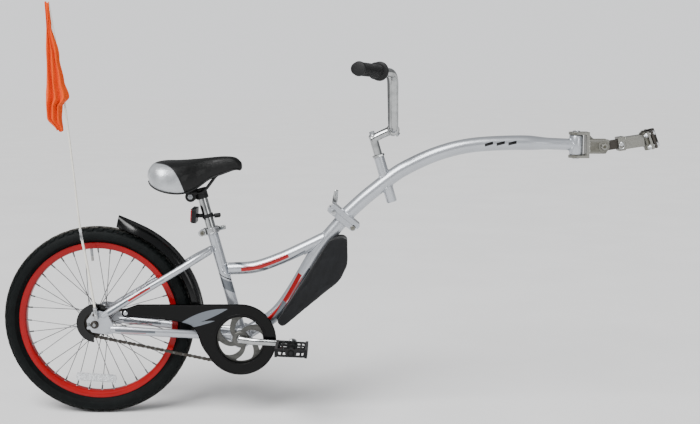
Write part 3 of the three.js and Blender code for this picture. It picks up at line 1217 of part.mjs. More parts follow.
function chainguard() {
  const outline = guardOutline();
  const face = plate(outline, -guard.face, -guard.face + guard.wall);
  const wallRing = cut(
    plate(outline, -guard.face, -guard.face + guard.rim),
    plate(insetOutline(outline, guard.wall), -guard.face - gap.cut, -guard.face + guard.rim + gap.cut),
  );
  const windowEdge = crossBar(crankCentre, -guard.face, -guard.face + guard.rim, guard.window / 2 + guard.wall,
    guard.windowSides);
  const window = crossBar(crankCentre, -guard.face - gap.cut, gap.cut - guard.face + guard.rim, guard.window / 2,
    guard.windowSides);
  const bolt = crossBar(at(guard.boltX, 0, guard.boltZ), -guard.face - gap.cut / 2, -guard.face + gap.cut / 4,
    guard.bolt);
  return join(cut(join(face, cut(wallRing, guardTab(gap.running)), windowEdge), window), bolt);
}

// A ring sector in the XZ plane between two radii and two angles.
function sector(inner, outer, from, to, steps, yLow, yHigh) {
  const arc = (radius, a, b) => Array.from({ length: steps + 1 }, (_, k) => {
    const place = onCircle(radius, THREE.MathUtils.lerp(a, b, k / steps));
    return [place.x, place.z];
  });
  return plate([...arc(outer, from, to), ...arc(inner, to, from)], yLow, yHigh);
}

function rearChainCover() {
  const face = sector(cover.inner, cover.radius, cover.faceFrom, cover.to, facets.tube, -cover.face,
    -cover.face + cover.wall);
  const rim = sector(cover.radius - cover.wall, cover.radius, cover.from, cover.to, facets.tube,
    -cover.face, -cover.face + cover.depth);
  const foot = onCircle(cover.bossRadius, cover.bossAngle);
  const boss = crossBar(foot, -stayY, -cover.face + cover.wall / 2, cover.boss / 2);
  return join(face, rim, cut(boss, seatstay(-1, gap.seat)));
}

// The tab on the right seatstay that the chainguard's rear bolt fixes to.
function guardTab(margin) {
  const from = -guard.face + guard.wall + gap.seat - margin / 2;
  const half = guard.bolt + margin;
  const top = guard.boltZ + guard.tabReach;
  return plate([
    [guard.boltX - half, guard.boltZ - half], [guard.boltX + half, guard.boltZ - half],
    [guard.boltX + half * 2, top], [guard.boltX - half / 2, top],
  ], from, from + guard.tabWall + margin * 2);
}

// Safety flag: a bracket at the right dropout's eyelet, a two-part pole and the pennant.
const bracketFace = dropout.spacing / 2 + dropout.wall + gap.seat;
const flagY = -bracketFace - flag.bracketWall / 2 - flag.socketWidth / 2;
const flagPath = curveThrough(flag.path.map(([x, z]) => at(x, flagY, z)));
function flagBracket() {
  const foot = at(dropout.eyeletX, 0, dropout.eyeletZ);
  const end = flagPath.getPointAt(0);
  const up = flagPath.getTangentAt(0);
  const tab = crossBar(foot, -bracketFace - flag.bracketWall, -bracketFace, flag.bracket / 2, facets.tube);
  const screw = crossBar(foot, -bracketFace - flag.bracketWall / 2, -dropout.spacing / 2, dropout.eyelet / 2 - gap.seat,
    facets.small);
  const socket = bar(end.clone().addScaledVector(up, -flag.socket / 4), end.clone().addScaledVector(up, flag.socket),
    flag.socketWidth / 2, flag.socketWidth / 2, facets.bar);
  const bore = hole(end, end.clone().addScaledVector(up, flag.socket * 2), flag.lower / 2 + gap.seat);
  return cut(join(tab, screw, socket), bore);
}

function flagPole(fromShare, toShare, width) {
  const points = Array.from({ length: facets.run }, (_, k) =>
    flagPath.getPointAt(THREE.MathUtils.lerp(fromShare, toShare, k / (facets.run - 1))));
  return tube(curveThrough(points), facets.small, () => [width / 2, width / 2], facets.bar);
}

function flagPoleLower() {
  const end = flagPath.getPointAt(flag.jointShare);
  const up = flagPath.getTangentAt(flag.jointShare);
  const low = end.clone().addScaledVector(up, -flag.ferrule / 2);
  const high = end.clone().addScaledVector(up, flag.ferrule / 2);
  const ferrule = bar(low, high, flag.ferruleWidth / 2);
  const bore = hole(end, end.clone().addScaledVector(up, flag.ferrule), flag.upper / 2 + gap.running);
  const foot = gap.seat / flagPath.getLength();
  return cut(join(flagPole(foot, flag.jointShare, flag.lower), ferrule), bore);
}

function flagPoleUpper() {
  return flagPole(flag.jointShare + gap.running / flagPath.getLength(), 1, flag.upper);
}

// The limp pennant: a sheet in folds that hangs from the upper pole, wider and looser towards its tip.
function flagSheet() {
  const sections = flagRows.map(([z, left, right, depth]) => {
    const near = flagY - flag.upper / 2 - gap.seat - flag.cloth / 2;
    const across = (share) => THREE.MathUtils.lerp(left, right, share);
    const spine = flagFoldShares.map(([share, pleat]) => [across(share), near - depth * pleat]);
    const front = spine.map(([x, y]) => at(x, y - flag.cloth / 2, z));
    const back = spine.map(([x, y]) => at(x, y + flag.cloth / 2, z)).reverse();
    return [...front, ...back];
  });
  return loft(sections);
}

// The bag under the down tube, shaped round the tube that carries it.
function bagBody() {
  const half = bag.width / 2;
  return cut(plate(bag.outline, -half, half), downTubeOf(downTube.diameter / 2 + gap.seat * 2));
}

// Everything in its place
piece("seat_tube", seatTubeBody(), silverPaint);
piece("top_tube", topTubeBody(), silverPaint);
piece("down_tube", downTubeBody(), silverPaint);
piece("bottom_bracket_shell", bottomBracketShell(), silverPaint);
piece("chainstay_right", chainstay(-1), silverPaint);
piece("chainstay_left", chainstay(1), silverPaint);
piece("seatstays", seatstays(), silverPaint);
piece("rear_fold_flange", rearFoldFlange(), silverPaint);
piece("front_fold_flange", frontFoldFlange(), silverPaint);
piece("fold_pin", foldPinBody(), zinc);
piece("fold_skewer", skewerBody(foldSkewer, fold.width / 2, fold.skewerNut, fold.nutWall,
  foldLeverDirection.clone().cross(yAxis)), zinc);
piece("fold_lever", leverBody(foldSkewer, fold.width / 2, foldLeverDirection, fold.leverLength), chrome);
piece("seat_clamp", seatClamp(), zinc);
piece("seat_skewer", skewerBody(seatEar, collar.earWidth / 2, collar.nut, collar.nutWall,
  seatLeverDirection.clone().cross(yAxis)), zinc);
piece("seat_lever", leverBody(seatEar, collar.earWidth / 2, seatLeverDirection, collar.leverLength), chrome);
piece("rear_axle", rearAxle(), zinc);
piece("axle_nut_right", axleNut(-1), zinc);
piece("axle_nut_left", axleNut(1), zinc);
piece("hub_and_spokes", hubAndSpokes(), chrome);
piece("rim", rim(), redPaint);
piece("tyre", tyre(), tyreRubber);
piece("inner_tube", innerTube(), tyreRubber);
piece("spoke_reflector", spokeReflector(), clearPlastic);
piece("sprocket", sprocket(), darkSteel);
piece("chain", chain(), darkSteel);
piece("chainring", chainring(), greySteel);
piece("cranks", cranks(), chrome);
piece("crank_cone", crankCone(-1), zinc);
piece("crank_locknut", crankCone(1), zinc);
piece("pedal_spindle_right", pedalSpindle(-1), zinc);
piece("pedal_spindle_left", pedalSpindle(1), zinc);
piece("pedal_right", pedalBody(-1), blackPlastic);
piece("pedal_left", pedalBody(1), blackPlastic);
piece("chainguard", chainguard(), blackGloss);
piece("rear_chain_cover", rearChainCover(), blackPlastic);
piece("fender", fenderBody(), blackPlastic);
piece("flag_bracket", flagBracket(), zinc);
piece("flag_pole_lower", flagPoleLower(), fibreglass);
piece("flag_pole_upper", flagPoleUpper(), fibreglass);
piece("flag", flagSheet(), flagCloth);
piece("bag", bagBody(), bagFabric);
piece("seatpost", seatpost(), chrome);
piece("saddle_clamp", saddleClamp(), blackPlastic);
piece("post_reflector", postReflector(), redPlastic);
piece("saddle_rails", saddleRails(), darkSteel);
piece("saddle_base", saddleBase(), blackPlastic);
piece("saddle_cover", saddleCover(), saddleSkin);
piece("beam", beamBody(), silverPaint);
piece("stem", stemBody(), chrome);
piece("handlebar", handlebarBody(), chrome);
piece("grip_right", gripBody(-1), gripRubber);
piece("grip_left", gripBody(1), gripRubber);
piece("hitch_yoke", hitchYoke(), zinc);
piece("yaw_pin", yawPin(), zinc);
piece("pivot_bolt", pivotBolt(), zinc);
piece("drawbar", drawbar(), darkSteel);
piece("receiver", receiver(), zinc);
piece("front_jaw", frontJaw(), darkSteel);
piece("lock_pin", lockPin(), zinc);

whole.position.copy(clampPlace).negate();
const model = new THREE.Group();
model.name = "trailer_bike";
model.add(whole);
export default model;
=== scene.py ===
"""A child's trailer bike: one wheel, cranks and chain, a folding tow beam and a clamp for a round post."""
import json
import math
from math import cos, hypot, pi, radians, sin, sqrt

import bmesh
import bpy
import numpy as np
from mathutils import Matrix, Vector
from mathutils.geometry import tessellate_polygon

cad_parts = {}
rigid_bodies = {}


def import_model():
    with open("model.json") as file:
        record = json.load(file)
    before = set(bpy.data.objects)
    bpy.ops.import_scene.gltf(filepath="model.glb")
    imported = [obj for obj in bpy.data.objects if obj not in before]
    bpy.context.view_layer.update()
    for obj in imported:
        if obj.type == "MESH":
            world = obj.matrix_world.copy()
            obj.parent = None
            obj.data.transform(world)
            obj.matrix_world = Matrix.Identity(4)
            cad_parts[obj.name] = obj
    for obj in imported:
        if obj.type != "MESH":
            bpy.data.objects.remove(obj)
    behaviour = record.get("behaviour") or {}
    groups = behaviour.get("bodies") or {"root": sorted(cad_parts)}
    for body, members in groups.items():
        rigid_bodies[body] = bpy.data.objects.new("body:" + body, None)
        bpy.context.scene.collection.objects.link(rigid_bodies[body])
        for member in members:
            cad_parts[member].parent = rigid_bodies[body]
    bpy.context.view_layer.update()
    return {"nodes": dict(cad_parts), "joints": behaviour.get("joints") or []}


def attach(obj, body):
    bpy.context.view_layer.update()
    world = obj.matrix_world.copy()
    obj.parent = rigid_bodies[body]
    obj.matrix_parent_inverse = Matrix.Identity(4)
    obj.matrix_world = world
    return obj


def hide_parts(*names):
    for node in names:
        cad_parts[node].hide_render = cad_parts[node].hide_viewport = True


bl_info = {
    "name": "Trailer Bike Builder",
    "version": (1, 0, 0),
    "blender": (4, 5, 0),
    "location": "View3D > Sidebar > Trailer Bike",
    "description": "Dresses the packed frame of a trailer bike piece by piece",
    "category": "Object",
}

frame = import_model()
JOINTS = {joint["name"]: joint for joint in frame["joints"]}
AXLE = Vector(JOINTS["wheel_spin"]["pos_m"])
MM = 0.001
ORIGIN, X, Y, Z = (Vector(v) for v in ((0, 0, 0), (1, 0, 0), (0, 1, 0), (0, 0, 1)))
BOTH = (-1, 1)
SIDES = ((-1, "right"), (1, "left"))

# Shapes, in millimetres about the wheel's axle


def at(x, y, z):
    return Vector((x, y, z))


def side_view(points):
    return [(p.x, p.z) for p in points]


def in_metres(point):
    return AXLE + Vector(point) * MM


def on_circle(radius, degrees, y=0.0, centre=ORIGIN):
    """A point on a circle in the XZ plane, from +X towards +Z."""
    turn = radians(degrees)
    return Vector((centre[0] + radius * cos(turn), y, centre[2] + radius * sin(turn)))


def mix(a, b, share):
    return a + (b - a) * share


def smooth_step(share, low, high):
    t = min(max((share - low) / (high - low), 0), 1)
    return t * t * (3 - 2 * t)


def span(side, near, far):
    """Two distances from the middle plane as low and high levels on one side of it."""
    return sorted((side * near, side * far))


def bend(before, corner, after, reach, steps):
    """The points of a bend that leaves and rejoins its straights at a reach from the corner."""
    start = corner + (before - corner).normalized() * reach
    end = corner + (after - corner).normalized() * reach
    shares = (i / steps for i in range(steps + 1))
    return [start * (1 - t) ** 2 + corner * 2 * t * (1 - t) + end * t * t for t in shares]


class Shape:
    """Points and faces for one mesh; a point keeps its place along and across, a face its finish's number."""

    def __init__(self, points=(), faces=(), along=None, across=None):
        self.points, self.faces = [Vector(p) for p in points], [tuple(face) for face in faces]
        self.along, self.across = (list(values or [0.0] * len(self.points)) for values in (along, across))
        self.tones = [0] * len(self.faces)

    def moved(self, matrix):
        copy = Shape([matrix @ p for p in self.points], self.faces, self.along, self.across)
        copy.tones = self.tones
        return copy

    def toned(self, tone):
        self.tones = [tone] * len(self.faces)
        return self


def joined(*parts):
    """Shapes, and lists of them, as one shape."""
    whole = Shape()
    for part in parts:
        for shape in (part if isinstance(part, (list, tuple)) else [part]):
            start = len(whole.points)
            whole.faces += [tuple(start + i for i in face) for face in shape.faces]
            for label in ("points", "along", "across", "tones"):
                getattr(whole, label).extend(getattr(shape, label))
    return whole


def mirrored(shape):
    """The same shape on the other side of the middle plane."""
    other = Shape([(p[0], -p[1], p[2]) for p in shape.points], [face[::-1] for face in shape.faces],
                  shape.along, shape.across)
    other.tones = shape.tones
    return other


def curve(points, count, closed=False):
    """An even run of points on the centripetal curve through the given ones."""
    given = [Vector(p) for p in points]
    if closed:
        padded = [given[-1], *given, given[0], given[1]]
    else:
        padded = [2 * given[0] - given[1], *given, 2 * given[-1] - given[-2]]
    fine = []
    for k in range(1, len(padded) - 2):
        p0, p1, p2, p3 = padded[k - 1:k + 3]
        d0, d1, d2 = (max((b - a).length ** 0.5, 1e-4) for a, b in ((p0, p1), (p1, p2), (p2, p3)))
        m1 = ((p1 - p0) / d0 - (p2 - p0) / (d0 + d1) + (p2 - p1) / d1) * d1
        m2 = ((p2 - p1) / d1 - (p3 - p1) / (d1 + d2) + (p3 - p2) / d2) * d1
        for i in range(24):
            t = i / 24
            fine.append(p1 + m1 * t + (3 * (p2 - p1) - 2 * m1 - m2) * t * t
                        + (m1 + m2 - 2 * (p2 - p1)) * t ** 3)
    fine.append(padded[-2].copy())
    lengths = np.concatenate([[0], np.cumsum([(b - a).length for a, b in zip(fine, fine[1:])])])
    wanted = np.linspace(0, lengths[-1], count + 1)
    rows = np.array([list(p) for p in fine])
    return [Vector(p) for p in np.stack([np.interp(wanted, lengths, rows[:, k]) for k in range(3)], axis=1)]


def rounded(corners, radius, steps=6):
    """Straight runs between corners with each bend rounded."""
    corners = [Vector(c) for c in corners]
    run = [corners[0]]
    for before, corner, after in zip(corners, corners[1:], corners[2:]):
        run += bend(before, corner, after, min(radius, (corner - before).length * 0.49,
                                               (after - corner).length * 0.49), steps)
    return [*run, corners[-1]]


def ring(centre, up, side, high, wide, sides):
    turns = [2 * pi * k / sides for k in range(sides)]
    return [centre + up * high * cos(a) + side * wide * sin(a) for a in turns]


def tangents(path, closed=False):
    found = []
    for k in range(len(path)):
        if closed:
            before, after = path[k - 1], path[(k + 1) % len(path)]
        else:
            before, after = path[max(k - 1, 0)], path[min(k + 1, len(path) - 1)]
        found.append((after - before).normalized())
    return found


def tube(path, size, sides=28, across=Y, closed=False, end_round=0.0):
    """A round or oval tube along a path; size is a radius, a pair, or a function of the share of its length."""
    lengths = np.concatenate([[0], np.cumsum([(b - a).length for a, b in zip(path, path[1:])])])
    rows, along = [], []
    stations = list(zip(path, tangents(path, closed), lengths))
    if end_round:
        stations = [stations[0], *stations, stations[-1]]
    for k, (point, tangent, distance) in enumerate(stations):
        high, wide = radius_at(size, distance / lengths[-1])
        if end_round and k in (0, len(stations) - 1):
            high, wide = high - end_round, wide - end_round
        elif end_round and k in (1, len(stations) - 2):
            point = point + tangent * (end_round if k == 1 else -end_round)
        side = (across - tangent * tangent.dot(across)).normalized()
        rows.append(ring(point, tangent.cross(side), side, high, wide, sides))
        along += [distance] * sides
    around = [cos(2 * pi * i / sides) for i in range(sides)]
    return grid(rows, closed, along, around * len(stations))


def radius_at(size, share):
    value = size(share) if callable(size) else size
    return value if isinstance(value, (tuple, list)) else (value, value)


def skin(rows, turns, wraps):
    """Faces between rows of points; the last row meets the first in a turn, and each row may wrap round."""
    wide, count = len(rows[0]), len(rows)
    pairs = [(k * wide, (k + 1) % count * wide) for k in range(count if turns else count - 1)]
    steps = [(i, (i + 1) % wide) for i in range(wide if wraps else wide - 1)]
    return [(low + i, low + j, high + j, high + i) for low, high in pairs for i, j in steps]


def flattened(rows):
    return [p for row in rows for p in row]


def grid(rows, closed=False, along=None, across=None):
    """Rows of points skinned into a tube, capped at its ends."""
    sides, total = len(rows[0]), len(rows) * len(rows[0])
    caps = [] if closed else [tuple(reversed(range(sides))), tuple(range(total - sides, total))]
    return Shape(flattened(rows), skin(rows, closed, True) + caps, along, across)


def sheet_grid(rows):
    """Rows of points as an open sheet."""
    return Shape(flattened(rows), skin(rows, False, False))


def lathe(profile, origin=ORIGIN, axis=Y, steps=64, closed=False):
    """A profile of [radius, distance] turned about an axis; closed joins its last point to its first."""
    axis = Vector(axis).normalized()
    side = axis.orthogonal().normalized() if abs(axis.y) < 0.999 else X
    up = axis.cross(side)
    rows = []
    for k in range(steps):
        turn = 2 * pi * k / steps
        out = side * cos(turn) + up * sin(turn)
        rows.append([origin + axis * d + out * r for r, d in profile])
    return Shape(flattened(rows), skin(rows, True, closed))


def rod(start, end, radius, steps=24, chamfer=0.4):
    """A round bar with a small chamfer at both ends."""
    length = (end - start).length
    chamfer = min(chamfer, radius / 2, length / 3)
    profile = [(0, 0), (radius - chamfer, 0), (radius, chamfer), (radius, length - chamfer),
               (radius - chamfer, length), (0, length)]
    return lathe(profile, start, end - start, steps)


def cross_rod(place, low, high, radius, steps=24, chamfer=0.4):
    return rod(at(place[0], low, place[2]), at(place[0], high, place[2]), radius, steps, chamfer)


def plate(outline, low, high, holes=()):
    """A flat plate in the XZ plane between two Y levels, with holes."""
    loops = [[(p[0], p[-1]) for p in loop] for loop in (outline, *holes)]
    points = [(x, level, z) for level in (low, high) for loop in loops for x, z in loop]
    count, start = len(points) // 2, 0
    triangles = tessellate_polygon([[Vector((x, z, 0)) for x, z in loop] for loop in loops])
    faces = [tuple(t) for t in triangles] + [tuple(count + i for i in reversed(t)) for t in triangles]
    for loop in loops:
        ahead = [start + (i + 1) % len(loop) for i in range(len(loop))]
        faces += [(start + i, j, count + j, count + start + i) for i, j in enumerate(ahead)]
        start += len(loop)
    return Shape(points, faces)


def block(centre, size, lift=0.0):
    """A box turned about Y so that a positive lift raises +X."""
    c, s = cos(radians(lift)), sin(radians(lift))
    x_axis, z_axis = Vector((c, 0, s)), Vector((-s, 0, c))
    points = [centre + x_axis * size[0] / 2 * a + Y * size[1] / 2 * b + z_axis * size[2] / 2 * d
              for a in (-1, 1) for b in (-1, 1) for d in (-1, 1)]
    return Shape(points, [(0, 1, 3, 2), (4, 6, 7, 5), (0, 4, 5, 1), (2, 3, 7, 6), (0, 2, 6, 4), (1, 5, 7, 3)])


def circle(centre, radius, count=32, start=0.0):
    return [tuple(on_circle(radius, start + 360 * k / count, 0, centre)) for k in range(count)]


def added(name, mesh):
    """A new object in the scene."""
    made = bpy.data.objects.new(name, mesh)
    bpy.context.scene.collection.objects.link(made)
    return made


def smoothed(mesh, crease):
    mesh.shade_smooth()
    mesh.set_sharp_from_angle(angle=radians(crease))


def mesh_of(name, shape, materials, bevel=0.0, segments=2, crease=35.0, placed=True):
    """A Shape as a Blender object with outward faces and its own finish, placed in metres or left as drawn."""
    mesh = bpy.data.meshes.new(name)
    mesh.from_pydata([tuple(in_metres(p) if placed else p) for p in shape.points], [], shape.faces)
    for label in ("along", "across"):
        values = [float(v) for v in getattr(shape, label)]
        mesh.attributes.new(label, "FLOAT", "POINT").data.foreach_set("value", values)
    for material in materials:
        mesh.materials.append(material)
    mesh.polygons.foreach_set("material_index", shape.tones)
    work = bmesh.new()
    work.from_mesh(mesh)
    bmesh.ops.remove_doubles(work, verts=work.verts, dist=2e-6)
    bmesh.ops.dissolve_degenerate(work, edges=work.edges, dist=1e-7)
    bmesh.ops.recalc_face_normals(work, faces=work.faces)
    work.to_mesh(mesh)
    work.free()
    smoothed(mesh, crease)
    made = added(name, mesh)
    if bevel:
        edge = made.modifiers.new("edge", "BEVEL")
        edge.width, edge.segments = bevel * MM, segments
        edge.limit_method, edge.angle_limit = "ANGLE", radians(40)
    return made


def dress(name, shape, body, slot, replaces=(), paint=None, **edges):
    """A finished piece: its mesh, the body it rides on, its slot and the solids it stands for; its paint is the
    slot's finish unless another finish, or a list of materials, is given."""
    made = shape
    if isinstance(shape, Shape):
        made = mesh_of(name, shape, paint if isinstance(paint, list) else [finish(paint or slot)], **edges)
    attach(made, body)
    if replaces:
        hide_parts(*replaces)
    return made


# Repeats by geometry nodes

def tree_of(name, inputs):
    tree = bpy.data.node_groups.new(name, "GeometryNodeTree")
    for label, kind in inputs:
        tree.interface.new_socket(label, in_out="INPUT", socket_type=kind)
    tree.interface.new_socket("Geometry", in_out="OUTPUT", socket_type="NodeSocketGeometry")
    return tree, tree.nodes.new("NodeGroupInput"), tree.nodes.new("NodeGroupOutput")


def placed_copies(tree, given, out, points, rotation):
    """Copies of the item at points, made real and given its material."""
    links, nodes = tree.links, tree.nodes
    item, place, real, paint = (nodes.new("GeometryNode" + kind) for kind in (
        "ObjectInfo", "InstanceOnPoints", "RealizeInstances", "SetMaterial"))
    for source, target in ((given.outputs["Item"], item.inputs["Object"]), (points, place.inputs["Points"]),
                           (item.outputs["Geometry"], place.inputs["Instance"]),
                           (rotation, place.inputs["Rotation"]), (place.outputs[0], real.inputs[0]),
                           (real.outputs[0], paint.inputs["Geometry"]),
                           (given.outputs["Material"], paint.inputs["Material"]),
                           (paint.outputs[0], out.inputs[0])):
        links.new(source, target)
    return tree


def ring_tree():
    """Copies of an item turned evenly about the axle's own axis."""
    tree, given, out = tree_of("turn_round_axle", [
        ("Item", "NodeSocketObject"), ("Count", "NodeSocketInt"), ("Centre", "NodeSocketVector"),
        ("Material", "NodeSocketMaterial")])
    nodes, links = tree.nodes, tree.links
    points, index, spin = (nodes.new(kind) for kind in (
        "GeometryNodePoints", "GeometryNodeInputIndex", "ShaderNodeCombineXYZ"))
    step, turn = nodes.new("ShaderNodeMath"), nodes.new("ShaderNodeMath")
    step.operation, turn.operation = "DIVIDE", "MULTIPLY"
    step.inputs[0].default_value = 2 * pi
    for source, target in ((given.outputs["Count"], points.inputs["Count"]),
                           (given.outputs["Count"], step.inputs[1]),
                           (given.outputs["Centre"], points.inputs["Position"]),
                           (index.outputs[0], turn.inputs[0]), (step.outputs[0], turn.inputs[1]),
                           (turn.outputs[0], spin.inputs["Y"])):
        links.new(source, target)
    return placed_copies(tree, given, out, points.outputs[0], spin.outputs[0])


def path_tree():
    """Copies of an item at the host's points, each turned by the point's own angles."""
    tree, given, out = tree_of("follow_path", [
        ("Geometry", "NodeSocketGeometry"), ("Item", "NodeSocketObject"), ("Material", "NodeSocketMaterial")])
    turn = tree.nodes.new("GeometryNodeInputNamedAttribute")
    turn.data_type = "FLOAT_VECTOR"
    turn.inputs["Name"].default_value = "turn"
    return placed_copies(tree, given, out, given.outputs["Geometry"], turn.outputs[0])


def grown(name, shape, host_mesh, tree, material, **values):
    """A node tree's copies of a shape, drawn about its own middle, as a plain mesh object."""
    item = mesh_of(name + "_item", shape, [material], placed=False)
    for vertex in item.data.vertices:
        vertex.co *= MM
    values.update(Item=item, Material=material)
    host = added(name + "_host", host_mesh)
    grow = host.modifiers.new("grow", "NODES")
    grow.node_group = tree
    for socket in tree.interface.items_tree:
        if socket.in_out == "INPUT" and socket.name in values:
            grow[socket.identifier] = values[socket.name]
    host.update_tag()
    bpy.context.view_layer.update()
    mesh = bpy.data.meshes.new_from_object(host.evaluated_get(bpy.context.evaluated_depsgraph_get()))
    mesh.name = name
    host.modifiers.remove(grow)
    for used in (host, item):
        bpy.data.objects.remove(used)
    smoothed(mesh, 35.0)
    return added(name, mesh)


def turned_copies(name, shape, count, material):
    """A shape drawn about the axle, repeated round it."""
    return grown(name, shape, bpy.data.meshes.new(name + "_host"), ring_tree(), material, Count=count,
                 Centre=tuple(AXLE))


def copies_along(name, shape, places, material):
    """A shape repeated at places given as [point, (x, y, z) angles]."""
    host = bpy.data.meshes.new(name + "_host")
    host.from_pydata([tuple(in_metres(p)) for p, _ in places], [], [])
    turns = host.attributes.new("turn", "FLOAT_VECTOR", "POINT")
    turns.data.foreach_set("vector", [float(v) for _, angles in places for v in angles])
    return grown(name, shape, host, path_tree(), material)


def merged(name, objects):
    """Several plain objects as one mesh object that keeps their materials."""
    for each in bpy.context.view_layer.objects:
        each.select_set(each in objects)
    bpy.context.view_layer.objects.active = objects[0]
    with bpy.context.temp_override(active_object=objects[0], selected_editable_objects=objects,
                                   scene=bpy.context.scene):
        bpy.ops.object.join()
    objects[0].name = objects[0].data.name = name
    return objects[0]


# Sizes and colours a user may change

def length(title, text, millimetres):
    return bpy.props.FloatProperty(name=title, description=text, default=millimetres * MM, unit="LENGTH",
                                   precision=4)


def number(title, text, count):
    return bpy.props.IntProperty(name=title, description=text, default=count, min=1)


def tint(title, text, code):
    parts = [int(code[k:k + 2], 16) / 255 for k in (0, 2, 4)]
    linear = [c / 12.92 if c <= 0.04045 else ((c + 0.055) / 1.055) ** 2.4 for c in parts]
    return bpy.props.FloatVectorProperty(name=title, description=text, subtype="COLOR", size=4, min=0, max=1,
                                         default=(*linear, 1.0))


class TRAILER_PG_wheel(bpy.types.PropertyGroup):
    """Sizes of the wheel and its fender."""
    radius: length("Tyre Radius", "Outside radius of the tyre", 255)
    tyre_width: length("Tyre Width", "Width of the tyre at its widest", 52)
    rim_edge: length("Rim Edge", "Radius of the rim's edge", 213)
    rim_inner: length("Rim Bed", "Radius of the rim's inner wall", 195)
    rim_width: length("Rim Width", "Width of the rim over its brake tracks", 30)
    flange: length("Hub Flange", "Diameter of the hub's flanges", 48)
    flange_spacing: length("Flange Spacing", "Distance between the hub's flanges", 54)
    spokes: number("Spokes", "Number of spokes", 36)
    lugs: number("Tread Blocks", "Tread blocks in each row round the tyre", 58)
    fender: length("Fender Radius", "Outside radius of the fender", 282)
    fender_width: length("Fender Width", "Width of the fender", 61)


class TRAILER_PG_drive(bpy.types.PropertyGroup):
    """Sizes of the chain, cranks and pedals."""
    pitch: length("Chain Pitch", "Distance between the chain's pins", 12.7)
    ring_teeth: number("Chainring Teeth", "Teeth of the chainring", 36)
    sprocket_teeth: number("Sprocket Teeth", "Teeth of the rear sprocket", 18)
    line: length("Chain Line", "Distance of the chain from the middle plane", 41)
    arm: length("Crank Length", "Length of a crank from axle to pedal", 140)
    pedal_length: length("Pedal Length", "Length of the pedal's cage along the bike", 88)
    pedal_width: length("Pedal Width", "Width of the pedal's cage across the bike", 84)


class TRAILER_PG_frame(bpy.types.PropertyGroup):
    """Sizes of the frame and its beam."""
    seat_tube: length("Seat Tube", "Diameter of the seat tube", 28.6)
    top_tube: length("Top Tube", "Diameter of the top tube", 33)
    down_tube: length("Down Tube", "Diameter of the down tube", 37)
    beam: length("Beam", "Diameter of the tow beam", 39)
    bar: length("Handlebar", "Diameter of the handlebar's tube", 22.2)
    grip: length("Grip", "Diameter of a grip", 33)


class TRAILER_PG_colours(bpy.types.PropertyGroup):
    """Colours of the finishes."""
    silver: tint("Silver Paint", "Metallic paint of the frame and beam", "acb0b6")
    stripe: tint("Grey Stripe", "Grey sweep on the frame's paint", "64696f")
    accent: tint("Red Stripe", "Red band on the frame's paint", "a00a10")
    rim: tint("Rim Paint", "Paint of the rim", "8f060b")
    black: tint("Black Plastic", "Moulded plastic", "08090a")
    tyre: tint("Tyre Rubber", "Rubber of the tyre", "0b0e0e")
    skin: tint("Saddle Skin", "Cover of the saddle", "070808")
    skin_side: tint("Saddle Sides", "Silver sides at the rear of the saddle", "b4b7ba")
    bag: tint("Bag Fabric", "Woven fabric of the frame bag", "151618")
    flag: tint("Flag Cloth", "Thin cloth of the safety flag", "e44e00")
    pole: tint("Flag Pole", "Glass-fibre pole of the flag", "e6e3d8")
    zinc: tint("Zinc Plate", "Plated steel of the hitch", "4a473b")
    lens: tint("Red Lens", "Lens of the rear reflector", "c4121a")


def sizes(group):
    """A group's lengths in millimetres, with its whole numbers as they are."""
    values = {label: getattr(group, label) for label in group.bl_rna.properties.keys()}
    return type("Sizes", (), {label: value / MM if isinstance(value, float) else value
                              for label, value in values.items() if isinstance(value, (int, float))})


# Finishes

class Value:
    """One socket of a material; arithmetic on it adds Math nodes."""

    def __init__(self, paint, socket):
        self.paint, self.socket = paint, socket

    def math(self, operation, *values):
        return self.paint.node("ShaderNodeMath", {"operation": operation}, dict(enumerate(values or (self,))))

    def __add__(self, other):
        return self.math("ADD", self, other)

    def __sub__(self, other):
        return self.math("SUBTRACT", self, other)

    def __rsub__(self, other):
        return self.math("SUBTRACT", other, self)

    def __mul__(self, other):
        return self.math("MULTIPLY", self, other)

    def __pow__(self, other):
        return self.math("POWER", self, other)

    def __abs__(self):
        return self.math("ABSOLUTE", self)

    __radd__, __rmul__ = __add__, __mul__

    def wave(self, period):
        """A sine from 0 to 1 that repeats with the given period."""
        return (self * (2 * pi / period)).math("SINE") * 0.5 + 0.5

    def between(self, low, high):
        """0 at low, 1 at high, smooth between them; low may be the larger."""
        return self.paint.node("ShaderNodeMapRange", {"interpolation_type": "SMOOTHSTEP", "clamp": True},
                               {"Value": self, "From Min": low, "From Max": high})


